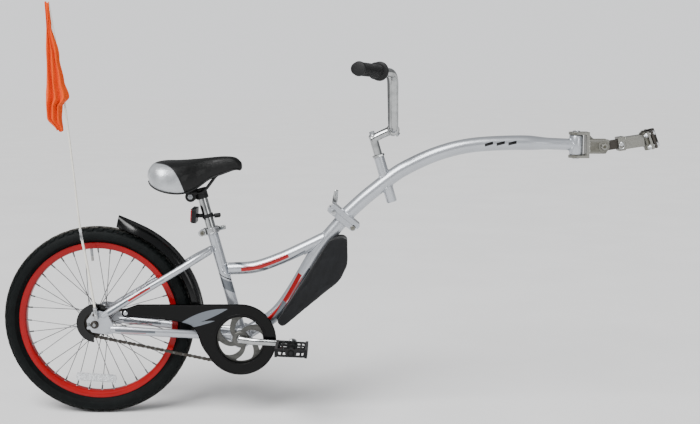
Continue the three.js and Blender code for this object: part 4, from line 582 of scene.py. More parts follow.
class Paint:
    """A material being made, with short names for what the finishes share."""

    def __init__(self, name, **sockets):
        self.material = bpy.data.materials.new(name)
        self.material.use_nodes = True
        self.tree = self.material.node_tree
        self.shader = self.tree.nodes["Principled BSDF"]
        self.place = self.node("ShaderNodeTexCoord", out="Object")
        self.set(**sockets)

    def node(self, kind, settings=None, sockets=None, out=0):
        made = self.tree.nodes.new(kind)
        for label, value in (settings or {}).items():
            setattr(made, label, value)
        for key, value in (sockets or {}).items():
            self.feed(made.inputs[key], value)
        return Value(self, made.outputs[out])

    def feed(self, socket, value):
        if isinstance(value, Value):
            self.tree.links.new(value.socket, socket)
        else:
            socket.default_value = value

    def set(self, **sockets):
        for label, value in sockets.items():
            self.feed(self.shader.inputs[label.replace("_", " ")], value)

    def part(self, vector, name):
        return self.node("ShaderNodeSeparateXYZ", None, {0: vector}, name)

    def axis(self, name):
        return self.part(self.place, name)

    def upward(self):
        return self.part(self.node("ShaderNodeNewGeometry", out="Normal"), "Z")

    def edges(self):
        return self.node("ShaderNodeNewGeometry", out="Pointiness").between(0.51, 0.56)

    def attribute(self, name):
        return self.node("ShaderNodeAttribute", {"attribute_name": name}, out="Fac")

    def vector(self, operation, *values, out=0):
        return self.node("ShaderNodeVectorMath", {"operation": operation}, dict(enumerate(values)), out)

    def noise(self, grain, detail=3, rough=0.55, stretch=(1, 1, 1)):
        """Noise whose spots are about the given number of millimetres across."""
        return self.node("ShaderNodeTexNoise", None, {
            "Vector": self.vector("MULTIPLY", self.place, stretch), "Scale": 1 / (grain * MM), "Detail": detail,
            "Roughness": rough})

    def cells(self, grain, feature="F1", out="Distance"):
        return self.node("ShaderNodeTexVoronoi", {"feature": feature}, {
            "Vector": self.place, "Scale": 1 / (grain * MM)}, out)

    def cell_tone(self, grain, channel):
        """One flat random value for each cell."""
        return self.node("ShaderNodeSeparateColor", None, {0: self.cells(grain, out="Color")}, channel)

    def mix(self, factor, a, b):
        return self.node("ShaderNodeMix", {"data_type": "RGBA"}, {0: factor, 6: a, 7: b}, 2)

    def bump(self, height, depth):
        self.set(Normal=self.node("ShaderNodeBump", None, {
            "Height": height, "Distance": depth * MM, "Strength": 1.0}))

    def tone(self, colour, amount, grain):
        """A colour that drifts a little over the surface."""
        return self.mix(self.noise(grain, 4).between(0.3, 0.7), shade(colour, 1 - amount),
                        shade(colour, 1 + amount))


def shade(colour, factor):
    return tuple(min(c * factor, 1) for c in colour[:3]) + (1,)


FINISHES, MAKERS = {}, {}


def maker(*details, name=None, **sockets):
    """Keep a function under a finish's name, with the details and plain socket values that it starts from."""
    def keep(paint_on):
        MAKERS[name or paint_on.__name__] = (paint_on, details, sockets)
        return paint_on
    return keep


def colours():
    return bpy.context.scene.trailer_colours


def finish(name, *more):
    """A named finish, made the first time it is asked for."""
    key = (name, *more)
    if key not in FINISHES:
        paint_on, details, sockets = MAKERS[name]
        paint = Paint(name + (f"_{len(FINISHES)}" if more else ""), **sockets)
        paint_on(paint, *details, *more)
        FINISHES[key] = paint.material
    return FINISHES[key]


# Flakes, chips, dirt and worn places, in linear colour.
FLAKE, CHIP, DRIED_MUD = (0.9, 0.91, 0.93, 1), (0.25, 0.24, 0.23, 1), (0.3, 0.27, 0.23, 1)
BRIGHT, SMUDGED, PITTED = (0.44, 0.45, 0.45, 1), (0.3, 0.31, 0.31, 1), (0.2, 0.15, 0.11, 1)
SPANGLE, GREASE, WORN_ZINC = (0.17, 0.175, 0.155, 1), (0.11, 0.1, 0.085, 1), (0.4, 0.4, 0.38, 1)
PALE_DUST, TYRE_DUST, POLE_GRIME = (0.2, 0.19, 0.175, 1), (0.16, 0.15, 0.135, 1), (0.42, 0.38, 0.3, 1)
VALVE_METAL, THREAD, CLEAR = (0.46, 0.45, 0.43, 1), (0.012, 0.012, 0.013, 1), (0.66, 0.68, 0.7, 1)


@maker(Coat_Weight=0.55, Coat_Roughness=0.06, Metallic=0.75)
def silver_paint(p, marks=()):
    """Metallic paint under lacquer; marks are sweeps of [start, end, low, high, lift, colour] along a tube."""
    c = colours()
    colour = p.tone(c.silver, 0.05, 60)
    colour = p.mix(p.noise(0.35, 1).between(0.35, 0.75) * 0.22, colour, FLAKE)
    for start, end, low, high, lift, shade_name in marks:
        run = (p.attribute("along") - start) * (1 / (end - start))
        across = p.attribute("across") - run * lift
        inside = across.between(low - 0.02, low + 0.02) * across.between(high + 0.02, high - 0.02)
        taper = run.between(0, 0.01) * (1 - run.between(0.99, 1.0))
        colour = p.mix(inside * taper, colour, tuple(getattr(c, shade_name)))
    chips = p.cells(7).between(0.09, 0.05) * p.noise(90, 2).between(0.58, 0.7)
    colour = p.mix(chips * 0.5, colour, CHIP)
    dust = p.axis("Z").between(-0.55, -0.75) * p.noise(9, 5).between(0.45, 0.75) * 0.35
    colour = p.mix(dust, colour, DRIED_MUD)
    p.set(Base_Color=colour, Roughness=p.noise(25, 4) * 0.1 + 0.26 + dust * 0.5)
    p.bump(p.noise(0.4, 2) * 0.3 + p.noise(6, 2) * 0.4, 0.03)


@maker(Coat_Weight=0.15, Coat_Roughness=0.08, Specular_IOR_Level=0.2)
def red_paint(p):
    colour = p.tone(colours().rim, 0.08, 50)
    wear = p.noise(2.5, 5, 0.7, (1, 6, 1)).between(0.62, 0.74) * 0.3
    colour = p.mix(wear, colour, shade(colours().rim, 0.45))
    p.set(Base_Color=colour, Roughness=p.noise(12, 4) * 0.14 + 0.24)
    p.bump(p.noise(1.1, 2), 0.02)


@maker(Metallic=1.0)
def chrome(p):
    smudge = p.noise(22, 5, 0.6)
    colour = p.mix(smudge.between(0.4, 0.75), BRIGHT, SMUDGED)
    pits = p.cells(1.6).between(0.16, 0.08) * p.noise(30, 3).between(0.6, 0.7)
    colour = p.mix(pits * 0.6, colour, PITTED)
    p.set(Base_Color=colour, Roughness=smudge * 0.12 + 0.07 + pits * 0.3)
    p.bump(p.noise(0.8, 2, 0.5) * 0.4 + p.noise(9, 1) * 0.6, 0.012)


@maker(Metallic=0.85)
def zinc(p):
    c = colours().zinc
    tone = p.cell_tone(5, "Red")
    colour = p.mix(p.noise(11, 4).between(0.35, 0.7), tuple(c), shade(c, 1.35))
    colour = p.mix(tone * 0.35, colour, SPANGLE)
    grime = p.noise(3, 6, 0.7).between(0.55, 0.75) * 0.5
    colour = p.mix(grime, colour, GREASE)
    colour = p.mix(p.edges() * 0.5, colour, WORN_ZINC)
    p.set(Base_Color=colour, Roughness=p.noise(6, 4) * 0.2 + 0.3 + grime * 0.3)
    p.bump(p.noise(0.7, 3) + tone * 0.4, 0.04)


@maker((0.034, 0.03, 0.026), 0.42, 1.0, name="dark_steel", Metallic=0.7)
@maker((0.24, 0.25, 0.26), 0.36, name="grey_steel", Metallic=1.0)
@maker((0.09, 0.09, 0.093), 0.34, name="spoke_steel", Metallic=1.0)
@maker((0.085, 0.085, 0.08), 0.38, name="ring_steel", Metallic=1.0)
@maker((0.42, 0.43, 0.44), 0.24, name="bright_steel", Metallic=1.0)
def steel(p, colour, roughness, oily=0.0):
    blend = p.tone(colour, 0.16, 9)
    stain = p.noise(4, 6, 0.7).between(0.5, 0.8)
    blend = p.mix(stain * (0.35 + oily * 0.4), blend, shade(colour, 0.45))
    blend = p.mix(p.edges() * 0.6, blend, shade(colour, 1.7))
    p.set(Base_Color=blend, Roughness=p.noise(5, 4) * 0.18 + roughness - 0.06 + stain * 0.12)
    p.bump(p.noise(0.5, 3) * 0.7 + p.noise(3, 3) * 0.3, 0.03)


@maker(1, 0.48, 0.7, 0.06, name="black_plastic", Coat_Roughness=0.12, Specular_IOR_Level=0.3)
@maker(0.4, 0.22, 4.5, 0.05, name="black_gloss", Coat_Weight=0.1, Coat_Roughness=0.12, Specular_IOR_Level=0.3)
def plastic(p, depth_of_black, roughness, grain, depth):
    colour = shade(colours().black, depth_of_black)
    scuff = p.noise(1.2, 6, 0.75, (1, 1, 4)).between(0.62, 0.8)
    tone = p.mix(scuff * 0.35, p.tone(colour, 0.14, 35), shade(colour, 3.2))
    tone = p.mix(p.edges() * 0.4, tone, shade(colour, 3.0))
    dust = p.upward().between(0.5, 1.0) * p.noise(7, 5).between(0.4, 0.8) * 0.08
    tone = p.mix(dust, tone, PALE_DUST)
    p.set(Base_Color=tone, Roughness=p.noise(15, 4) * 0.14 + roughness - 0.06 + scuff * 0.15 + dust)
    p.bump(p.noise(grain, 2), depth)


def from_axle(p):
    """Distance from the wheel's axle."""
    side = p.vector("MULTIPLY", p.vector("SUBTRACT", p.place, tuple(AXLE)), (1, 0, 1))
    return p.vector("LENGTH", side, out="Value")


@maker(Specular_IOR_Level=0.1)
def tyre_rubber(p):
    out = from_axle(p)
    dust = out.between(0.249, 0.2545) * p.noise(5, 5).between(0.3, 0.7)
    side = p.noise(16, 5, 0.65).between(0.4, 0.75)
    colour = p.mix(side * 0.6, shade(colours().tyre, 1), shade(colours().tyre, 1.9))
    colour = p.mix(dust * 0.75, colour, TYRE_DUST)
    ribs = out.wave(0.0016) * out.between(0.2225, 0.2245) * out.between(0.2365, 0.2345)
    p.set(Base_Color=colour, Roughness=p.noise(8, 4) * 0.14 + 0.52 + dust * 0.25)
    p.bump(p.noise(0.6, 3) * 0.4 + ribs, 0.22)


@maker(Specular_IOR_Level=0.2)
def tube_rubber(p):
    """Black tube with a bare metal valve on its inner side."""
    bare = from_axle(p).between(0.1935, 0.1925)
    p.set(Base_Color=p.mix(bare, p.mix(p.noise(9, 4), shade(colours().tyre, 0.8), shade(colours().tyre, 1.6)),
                           VALVE_METAL), Metallic=bare * 0.9, Roughness=p.noise(5, 3) * 0.15 + 0.4)
    p.bump(p.noise(0.5, 3), 0.04)


@maker(Specular_IOR_Level=0.35)
def grip_rubber(p):
    worn = p.noise(12, 4).between(0.4, 0.7)
    p.set(Base_Color=p.mix(worn, shade(colours().black, 0.9), shade(colours().black, 1.9)),
          Roughness=worn * 0.12 + 0.55)
    p.bump(p.cells(0.9), 0.1)


@maker(Coat_Weight=0.08, Specular_IOR_Level=0.25)
def saddle_skin(p):
    """Grained black cover whose rear sides are glossy silver, with a sewn line between the two."""
    c = colours()
    grain = p.cells(1.5, "DISTANCE_TO_EDGE")
    creases = p.noise(3.2, 5, 0.65)
    over = (p.axis("X") - AXLE.x - 0.15).math("MAXIMUM", p.axis("X") - AXLE.x - 0.15, 0.0) * 10
    gap = p.axis("Z") - AXLE.z - 0.426 + over ** 4.5 * 0.1
    side, seam = gap.between(0.0004, -0.0004), abs(gap).between(0.0016, 0.0006)
    top = p.mix(grain.between(0.09, 0.0) * 0.55, p.tone(c.skin, 0.1, 50), shade(c.skin, 0.55))
    top = p.mix(p.noise(28, 5).between(0.52, 0.8) * 0.4, top, shade(c.skin, 1.7))
    pale = p.mix(p.noise(30, 4).between(0.3, 0.7), shade(c.skin_side, 0.86), shade(c.skin_side, 1.1))
    colour = p.mix(seam * 0.8, p.mix(side, top, pale), THREAD)
    p.set(Base_Color=colour, Metallic=side * 0.55, Roughness=creases * 0.14 + 0.36 - side * 0.1)
    p.bump((grain.between(0.0, 0.22) * 0.7 + creases * 0.5) * (1 - side * 0.7) - seam, 0.16)


def woven(p, pitch):
    """Over-and-under threads whose width is half the pitch, in millimetres."""
    place = p.node("ShaderNodeUVMap", {"uv_map": "cloth"})
    u, v = p.part(place, "X"), p.part(place, "Y")
    warp, weft = u.wave(pitch * MM), v.wave(pitch * MM)
    swap = ((u * (pi / (pitch * MM))).math("SINE") * (v * (pi / (pitch * MM))).math("SINE")).between(-0.3, 0.3)
    return warp * swap + weft * (1 - swap)


@maker(Specular_IOR_Level=0.2, Sheen_Weight=0.12, Sheen_Roughness=0.5)
def bag_fabric(p):
    c = colours().bag
    weave = woven(p, 1.5)
    fuzz = p.noise(0.7, 4, 0.7)
    colour = p.mix(weave, shade(c, 0.6), shade(c, 1.35))
    colour = p.mix(p.noise(34, 5).between(0.45, 0.75) * 0.4, colour, shade(c, 1.7))
    p.set(Base_Color=colour, Roughness=fuzz * 0.12 + 0.78)
    p.bump(weave + fuzz * 0.3, 0.22)


@maker(Specular_IOR_Level=0.15, Sheen_Weight=0.04, Subsurface_Weight=0.12,
       Subsurface_Radius=(0.004, 0.002, 0.001))
def flag_cloth(p):
    c = colours().flag
    weave = woven(p, 1.1)
    colour = p.mix(weave, shade(c, 0.82), shade(c, 1.08))
    colour = p.mix(p.noise(45, 4).between(0.4, 0.75) * 0.3, colour, shade(c, 1.15))
    p.set(Base_Color=colour, Roughness=p.noise(3, 4) * 0.12 + 0.62)
    p.bump(weave * 0.4 + p.noise(7, 5, 0.6) * 0.8, 0.25)


@maker(Coat_Weight=0.25)
def pole_plastic(p):
    c = colours().pole
    streaks = p.noise(1.2, 4, 0.6, (1, 1, 0.03))
    grime = p.noise(18, 5, 0.6, (1, 1, 0.3)).between(0.5, 0.8)
    colour = p.mix(streaks, shade(c, 0.9), shade(c, 1.04))
    p.set(Base_Color=p.mix(grime * 0.35, colour, POLE_GRIME), Roughness=streaks * 0.16 + 0.34)
    p.bump(streaks, 0.06)


@maker(CLEAR, name="clear_plastic", Roughness=0.12, Coat_Weight=0.7, Coat_Roughness=0.04,
       Transmission_Weight=0.15)
@maker(name="red_plastic", Roughness=0.14, Coat_Weight=0.7, Coat_Roughness=0.04)
def lens(p, colour=None):
    """Plastic over moulded prisms."""
    colour = colour or colours().lens
    p.set(Base_Color=p.mix(p.cell_tone(2.6, "Green"), shade(colour, 0.62), shade(colour, 1.25)))
    p.bump(p.cells(2.6), 0.5)


@maker(Coat_Weight=0.12, Coat_Roughness=0.08, Specular_IOR_Level=0.12)
def guard_gloss(p):
    """Glossy black with two silver-grey sweeps across the front of the chainguard."""
    x, z = p.axis("X"), p.axis("Z")
    base = shade(colours().black, 0.25)
    sweeps = 0.0
    for low, high, lean, bow in SWEEPS:
        run = (x - (AXLE.x + low)) * (1 / (high - low))
        middle = AXLE.z + lean[0] + run * (lean[1] - lean[0]) + run * (1 - run) * lean[2]
        half = run * (1 - run) * bow
        inside = (half - abs(z - middle)).between(0.0, 0.0006) * run.between(0, 0.02) * run.between(1, 0.98)
        sweeps = inside + sweeps
    scuff = p.noise(1.2, 6, 0.75, (1, 1, 4)).between(0.64, 0.8)
    colour = p.mix(scuff * 0.3, p.tone(base, 0.14, 35), shade(base, 2.2))
    p.set(Base_Color=p.mix(sweeps, colour, tuple(colours().stripe)),
          Roughness=p.noise(15, 4) * 0.08 + 0.12 + scuff * 0.1)
    p.bump(p.noise(4.5, 2), 0.05)


SWEEPS = ((0.205, 0.352, (-0.012, 0.04, 0.012), 0.05), (0.232, 0.318, (-0.014, 0.008, 0.008), 0.02))


# Shapes that several pieces share

WELD_PITCH, WELD_RIPPLE = 2.1, 0.28


def hex_nut(centre, low, high, across, bore=0.0, turn=0.0):
    """A six-sided nut or bolt head along Y; one with a bore has a washer face."""
    corner, middle = across / sqrt(3), at(centre[0], 0, centre[2])
    nut = plate(circle(middle, corner, 6, turn), low, high, [circle(middle, bore, 20)] if bore else [])
    if not bore:
        return nut
    washer = [(bore, low - 0.5), (corner * 0.97, low - 0.5), (corner * 0.97, low), (bore, low)]
    return joined(nut, lathe(washer, middle, Y, 28, closed=True))


def along_axis(shape, origin, direction, spin=0.0):
    """A shape drawn along +Y from zero, laid from an origin in a direction."""
    turn = Y.rotation_difference(Vector(direction).normalized()).to_matrix().to_4x4()
    return shape.moved(Matrix.Translation(origin) @ turn @ Matrix.Rotation(radians(spin), 4, "Y"))


def bolt(origin, direction, across, head, shank=0.0, long=0.0, spin=0.0):
    """A hex bolt whose head stands up from the origin along a direction."""
    crown = [(0, head * 0.98), (across * 0.34, head * 0.98), (across * 0.4, head * 0.86), (across * 0.4, 0)]
    shapes = [hex_nut(ORIGIN, 0, head, across), lathe(crown, steps=20)]
    if long:
        shapes.append(rod(at(0, -long, 0), at(0, 0.2, 0), shank, 16, 0.4))
    return along_axis(joined(*shapes), origin, direction, spin)


def weld_bead(path, radius=1.7, closed=True):
    """A weld's rippled bead along a path."""
    run = curve(path, max(int(run_length(path, closed) / WELD_PITCH) * 2, 12), closed)
    points = run[:-1] if closed else run
    middle = sum(points, ORIGIN) / len(points)
    rows = []
    for k, (point, tangent) in enumerate(zip(points, tangents(points, closed))):
        away = point - middle if closed else at(0, 0.3, 1)
        side = (away - tangent * away.dot(tangent)).normalized()
        size = radius + (WELD_RIPPLE if k % 2 else -WELD_RIPPLE)
        rows.append(ring(point, tangent.cross(side), side, size, size, 8))
    return grid(rows, closed)


def on_side(side, shape):
    """A shape drawn on the left, or its mirror image for the right."""
    return mirrored(shape) if side < 0 else shape


def flipped(profile):
    """A lathe's profile run back on the other side of its middle."""
    return [(r, -y) for r, y in reversed(profile)]


def run_length(path, closed=False):
    pairs = list(zip(path, path[1:])) + ([(path[-1], path[0])] if closed else [])
    return sum((Vector(b) - Vector(a)).length for a, b in pairs)


def oval_round(centre, direction, high, wide, across=Y, count=24):
    """The points of an oval round a direction, for a weld where a tube meets another."""
    side = (across - direction * direction.dot(across)).normalized()
    return ring(centre, direction.cross(side), side, high, wide, count)


# Wheel

class TRAILER_OT_tyre(bpy.types.Operator):
    """Build the tyre with its tread blocks"""
    bl_idname = "trailer.tyre"
    bl_label = "Tyre"

    def execute(self, context):
        w = sizes(context.scene.trailer_wheel)
        half = w.tyre_width / 2
        middle = w.radius - half
        neck = w.rim_width / 2 - 3

        def section(inset):
            for degrees in np.arange(105, -105.1, -7.5):
                a = radians(degrees)
                reach = half - 0.4 - inset - 2.4 * smooth_step(abs(degrees), 62, 44)
                yield middle + reach * cos(a), reach * sin(a)

        def foot(inset):
            return [(w.rim_edge - 6.4 + inset, neck - inset), (w.rim_edge - 1, neck - inset),
                    (w.rim_edge + 1.2, neck + 0.6 - inset), (w.rim_edge + 3, neck + 2.6 - inset)]

        outer = foot(0) + list(section(0)) + flipped(foot(0))
        inner = foot(2.6) + list(section(1.6)) + flipped(foot(2.6))
        rubber = finish("tyre_rubber")
        casing = mesh_of("tyre", lathe(outer + inner[::-1], steps=144, closed=True), [rubber])

        def lug(degrees, wide, long, slant, shift):
            points = []
            for reach, shrink in ((half - 3.4, 1.06), (half, 0.86)):
                for side, run in ((-1, -1), (-1, 1), (1, 1), (1, -1)):
                    a = radians(degrees) + side * shrink * wide / 2 / reach
                    radius = middle + reach * cos(a)
                    turn = (run * long * shrink / 2 + slant * side + shift) / radius
                    points.append((radius * cos(turn), reach * sin(a), radius * sin(turn)))
            sides = [(k, (k + 1) % 4, (k + 1) % 4 + 4, k + 4) for k in range(4)]
            return Shape(points, [(3, 2, 1, 0), (4, 5, 6, 7), *sides])

        pitch = 2 * pi * w.radius / w.lugs
        row = [lug(0, 7.5, pitch * 0.62, 0, 0)]
        for side in BOTH:
            row += [lug(20 * side, 8, pitch * 0.6, 2.6 * side, pitch / 2),
                    lug(41 * side, 9.5, pitch * 0.5, 1.5 * side, 0),
                    lug(57 * side, 5, pitch * 0.3, 0, pitch / 2)]
        tread = turned_copies("tread", joined(*row), w.lugs, rubber)
        whole = merged("tyre_and_tread", [casing, tread])
        dress("tyre_and_tread", whole, "wheel", "tyre_rubber", ["tyre"])
        return {"FINISHED"}


class TRAILER_OT_rim(bpy.types.Operator):
    """Build the painted rim with its spoke eyelets and the valve"""
    bl_idname = "trailer.rim"
    bl_label = "Rim"

    def execute(self, context):
        w = sizes(context.scene.trailer_wheel)
        edge, half = w.rim_edge, w.rim_width / 2
        outside = [(edge, half - 0.9), (edge - 0.9, half), (edge - 11, half), (edge - 12, half - 0.5),
                   (w.rim_inner + 2.4, half - 1.6), (w.rim_inner + 0.8, half - 4), (w.rim_inner, half - 8.5)]
        inside = [(w.rim_inner + 4, half - 8), (edge - 9, half - 6.5), (edge - 6.6, half - 2.7),
                  (edge - 1.2, half - 2.7), (edge, half - 1.7)]
        profile = outside + flipped(outside) + flipped(inside) + inside
        dress("rim_hoop", lathe(profile, steps=180, closed=True), "wheel", "red_paint", ["rim"])
        eyelets = []
        for side in BOTH:
            turn = 0 if side < 0 else 360 / w.spokes
            centre = on_circle(w.rim_inner - 0.5, turn, side * 1.5)
            eyelets.append(lathe([(2.5, 0), (3.5, 0), (4.1, 0.7), (4.1, 1.4), (2.5, 1.4)], centre,
                                 on_circle(1, turn), 12, closed=True))
        ring_of = turned_copies("spoke_eyelets", joined(*eyelets), w.spokes // 2, finish("bright_steel"))
        dress("spoke_eyelets", ring_of, "wheel", "chrome")
        up = on_circle(1, 95)
        foot = up * (w.rim_inner - 33.6)
        stem = lathe([(0, 0), (2.7, 0), (3.3, 0.8), (3.3, 9.6), (3.1, 10), (3.1, 12), (3.8, 13), (3.8, 36),
                      (0, 36)], foot, up, 20)
        ribs = [lathe([(3.2, d), (3.7, d + 0.5), (3.2, d + 1)], foot, up, 20) for d in np.arange(1.4, 9, 1.5)]
        dress("valve", joined(stem, *ribs), "wheel", "chrome", paint="grey_steel")
        return {"FINISHED"}


class TRAILER_OT_hub(bpy.types.Operator):
    """Build the hub shell, its spokes with their nipples, and the spoke reflector"""
    bl_idname = "trailer.hub"
    bl_label = "Hub and Spokes"

    def execute(self, context):
        w = sizes(context.scene.trailer_wheel)
        flange, face = w.flange / 2, w.flange_spacing / 2
        half = [(15, 0), (15, face - 10), (15.8, face - 6), (18.5, face - 2.8), (20.4, face - 1.7),
                (flange - 0.6, face - 1.5), (flange, face - 0.9), (flange, face + 0.9),
                (flange - 0.6, face + 1.5), (18.6, face + 1.6), (17.4, face + 2.6), (17, face + 4), (17, 42),
                (16.2, 44.3), (13.8, 44.5), (13.4, 43.4), (9.4, 43.4), (9.4, 30), (5.5, 30), (5.5, 0)]
        shell = mesh_of("hub_shell", lathe(half + flipped(half)), [finish("bright_steel")])
        spokes = []
        for k in range(4):
            side, leading = (1 if k % 2 else -1), (1 if k // 2 % 2 else -1)
            turn = 360 / w.spokes * k
            out = (w.flange_spacing + leading * 5) / 2 - leading * 0.3
            hub = on_circle(21, turn + leading * 3 * 720 / w.spokes, side * out)
            foot = on_circle(w.rim_inner, turn, side * 1.5)
            along = (foot - hub).normalized()
            head = hub + Y * (-side * leading * 4.6)
            path = rounded([head, hub + along * 0.2, foot - along * 12], 1.6, 3)
            spokes += [tube(path, 1.0, 8, across=along.cross(Y)),
                       rod(head + Y * side * leading * 0.2, head - Y * side * leading * 0.9, 1.9, 8, 0.3),
                       lathe([(0, 0), (1.7, 0), (2.1, 0.6), (2.1, 10), (2.5, 12.2), (0, 12.4)],
                             foot - along * 12.6, along, 8)]
        laced = turned_copies("spokes", joined(*spokes), w.spokes // 4, finish("spoke_steel"))
        hub = merged("laced_hub", [shell, laced])
        dress("laced_hub", hub, "wheel", "grey_steel", ["hub_and_spokes"])

        turn, centre = 266 + 90, on_circle(158, 266, -12.46)
        lift = radians(turn)
        u, v = at(cos(lift), 0, sin(lift)), at(-sin(lift), 0, cos(lift))

        def stadium(long, high, inset=0.0):
            r = high / 2 - inset
            ends = []
            for sign in (1, -1):
                for a in np.linspace(-90, 90, 9):
                    ends.append(centre + u * (sign * (long / 2 - high / 2) + sign * r * cos(radians(a)))
                                + v * sign * r * sin(radians(a)))
            return ends

        lens = plate(stadium(110, 21, 2.0), -15.4, -11.5)
        housing = plate(stadium(110, 21), -13.6, -9.5, [stadium(110, 21, 1.7)])
        bands = [block(centre + u * x + Y * 0.1, (4.2, 5.4, 20.4), turn) for x in (-50, 0, 50)]
        clips = [block(centre + u * x + Y * 3.2, (7, 2.2, 4), turn) for x in (-31, -9, 14, 36)]
        dress("spoke_lens", lens, "wheel", "clear_plastic", ["spoke_reflector"], bevel=0.6)
        dress("spoke_lens_clips", joined(housing, *bands, *clips), "wheel", "clear_plastic", bevel=0.3)
        return {"FINISHED"}


class TRAILER_OT_axle(bpy.types.Operator):
    """Build the rear axle with its cones, locknuts, washers and nuts"""
    bl_idname = "trailer.axle"
    bl_label = "Axle"

    def execute(self, context):
        thread = [(4.35 + (0.3 if k % 2 else 0), 61.3 + 0.5 * k) for k in range(17)]
        half = [(4.6, 0), (4.6, 31.2), (7.4, 31.2), (8.4, 33), (8.4, 46), (7.2, 46.4), (7.2, 47), (8.4, 47.4),
                (8.4, 50), (6.9, 50.4), (6.9, 51.4), (8.4, 51.8), (8.4, 55.6), (4.6, 55.7), (4.6, 61.2),
                *thread, (4.2, 69.6), (3.6, 70), (0, 70)]
        body = lathe(flipped(half) + half, steps=32)
        dress("axle_and_cones", body, "frame", "grey_steel", ["rear_axle"])
        for side, word in SIDES:
            parts = [lathe([(5, 61.3), (10.9, 61.3), (10.9, 62.6), (10.2, 63), (5, 63)], steps=40, closed=True),
                     hex_nut(ORIGIN, 63.5, 68.6, 16.6, 4.9),
                     lathe([(5, 67), (7.6, 67), (7.6, 68.7), (7, 69.1), (5, 69.1)], steps=30, closed=True)]
            nut = on_side(side, joined(*parts))
            dress("axle_nut_and_washer_" + word, nut, "frame", "dark_steel", ["axle_nut_" + word], bevel=0.25)
        return {"FINISHED"}


# Chain, cranks and pedals

STAY_DROP = 6.52  # degrees that the crank axle lies below the wheel's
CENTRES = 385.632  # from axle to axle
CRANK = on_circle(CENTRES, -STAY_DROP)
LIP = 61.8  # radius of the chainring's raised lip
SPIDER = 72  # degrees between the chainring's arms
SHELL = 27.5  # outside radius of the crank shell
PEDAL_OUT = 68  # from the middle plane to the middle of a crank's end
PEDAL_TEETH = 11
CRANK_TURN = Matrix.Translation(CRANK) @ Matrix.Rotation(radians(2.7), 4, "Y")


def on_crank(*shapes):
    return joined(*shapes).moved(CRANK_TURN)


def pitch_radius(pitch, teeth):
    return pitch / (2 * sin(pi / teeth))


class ChainLoop:
    """The chain's path, counted in links from the top of the sprocket."""

    def __init__(self, pitch, ring_teeth, sprocket_teeth, links=88):
        self.pitch, self.teeth, self.links = pitch, (ring_teeth, sprocket_teeth), links
        self.ring, self.sprocket = pitch_radius(pitch, ring_teeth), pitch_radius(pitch, sprocket_teeth)
        tilt = math.asin((self.ring - self.sprocket) / CENTRES)
        self.straight = CENTRES * cos(tilt) / pitch
        self.on_ring = ring_teeth * (0.5 + tilt / pi)
        self.contact = 90 + math.degrees(tilt)

    def ring_angle(self, steps):
        return self.contact - STAY_DROP - steps * 360 / self.teeth[0]

    def sprocket_angle(self, steps):
        return -self.contact - STAY_DROP - steps * 360 / self.teeth[1]

    def point(self, count, y):
        along = count % self.links
        to_ring = along - self.straight
        to_bottom = to_ring - self.on_ring
        to_sprocket = to_bottom - self.straight
        if to_ring < 0:
            return mix(on_circle(self.sprocket, self.contact - STAY_DROP, y),
                       on_circle(self.ring, self.ring_angle(0), y, CRANK), along / self.straight)
        if to_bottom < 0:
            return on_circle(self.ring, self.ring_angle(to_ring), y, CRANK)
        if to_sprocket < 0:
            return mix(on_circle(self.ring, -self.contact - STAY_DROP, y, CRANK),
                       on_circle(self.sprocket, self.sprocket_angle(0), y), to_bottom / self.straight)
        return on_circle(self.sprocket, self.sprocket_angle(to_sprocket), y)


def toothed(teeth, radius, root_angle, centre, pitch):
    """A toothed outline whose roots hold the chain's rollers."""
    reach, outline = 4.2, []
    for k in range(teeth):
        root = root_angle + 360 / teeth * k
        places = [(sin(a) * reach, -cos(a) * reach) for a in np.radians([-80, -50, -20, 20, 50, 80])]
        for sideways, outward in places:
            p, turn = on_circle(radius + outward, root, 0, centre), radians(root)
            outline.append((p.x - sideways * sin(turn), p.z + sideways * cos(turn)))
        tip, turn = on_circle(radius + 0.26 * pitch, root + 180 / teeth, 0, centre), radians(root + 180 / teeth)
        outline += [(tip.x - s * sin(turn), tip.z + s * cos(turn)) for s in (-0.9, 0.9)]
    return outline


def chain_loop(context):
    d = sizes(context.scene.trailer_drive)
    return d, ChainLoop(d.pitch, d.ring_teeth, d.sprocket_teeth)


class TRAILER_OT_sprocket(bpy.types.Operator):
    """Build the toothed sprocket on its freewheel body"""
    bl_idname = "trailer.sprocket"
    bl_label = "Sprocket"

    def execute(self, context):
        d, loop = chain_loop(context)
        before = 2 * loop.straight + loop.on_ring
        root = loop.sprocket_angle(math.ceil(before) - before)
        outline = toothed(d.sprocket_teeth, loop.sprocket, root, ORIGIN, d.pitch)
        disc = plate(outline, -d.line - 1.2, -d.line + 1.2, [circle(ORIGIN, 24, 40)])
        body = lathe([(17.4, -36.6), (24, -36.6), (24.8, -37.4), (24.8, -44.6), (24, -45.4), (20.6, -45.4),
                      (20.3, -44.7), (19.9, -44.7), (19.6, -45.4), (17.4, -45.4)], steps=60, closed=True)
        slots = [block(on_circle(18.6, a, -45), (3.4, 1.4, 4.2), a) for a in (35, 125, 215, 305)]
        dress("toothed_sprocket", disc, "sprocket", "dark_steel", ["sprocket"], bevel=0.35)
        dress("freewheel_body", joined(body, *slots), "sprocket", "grey_steel")
        return {"FINISHED"}


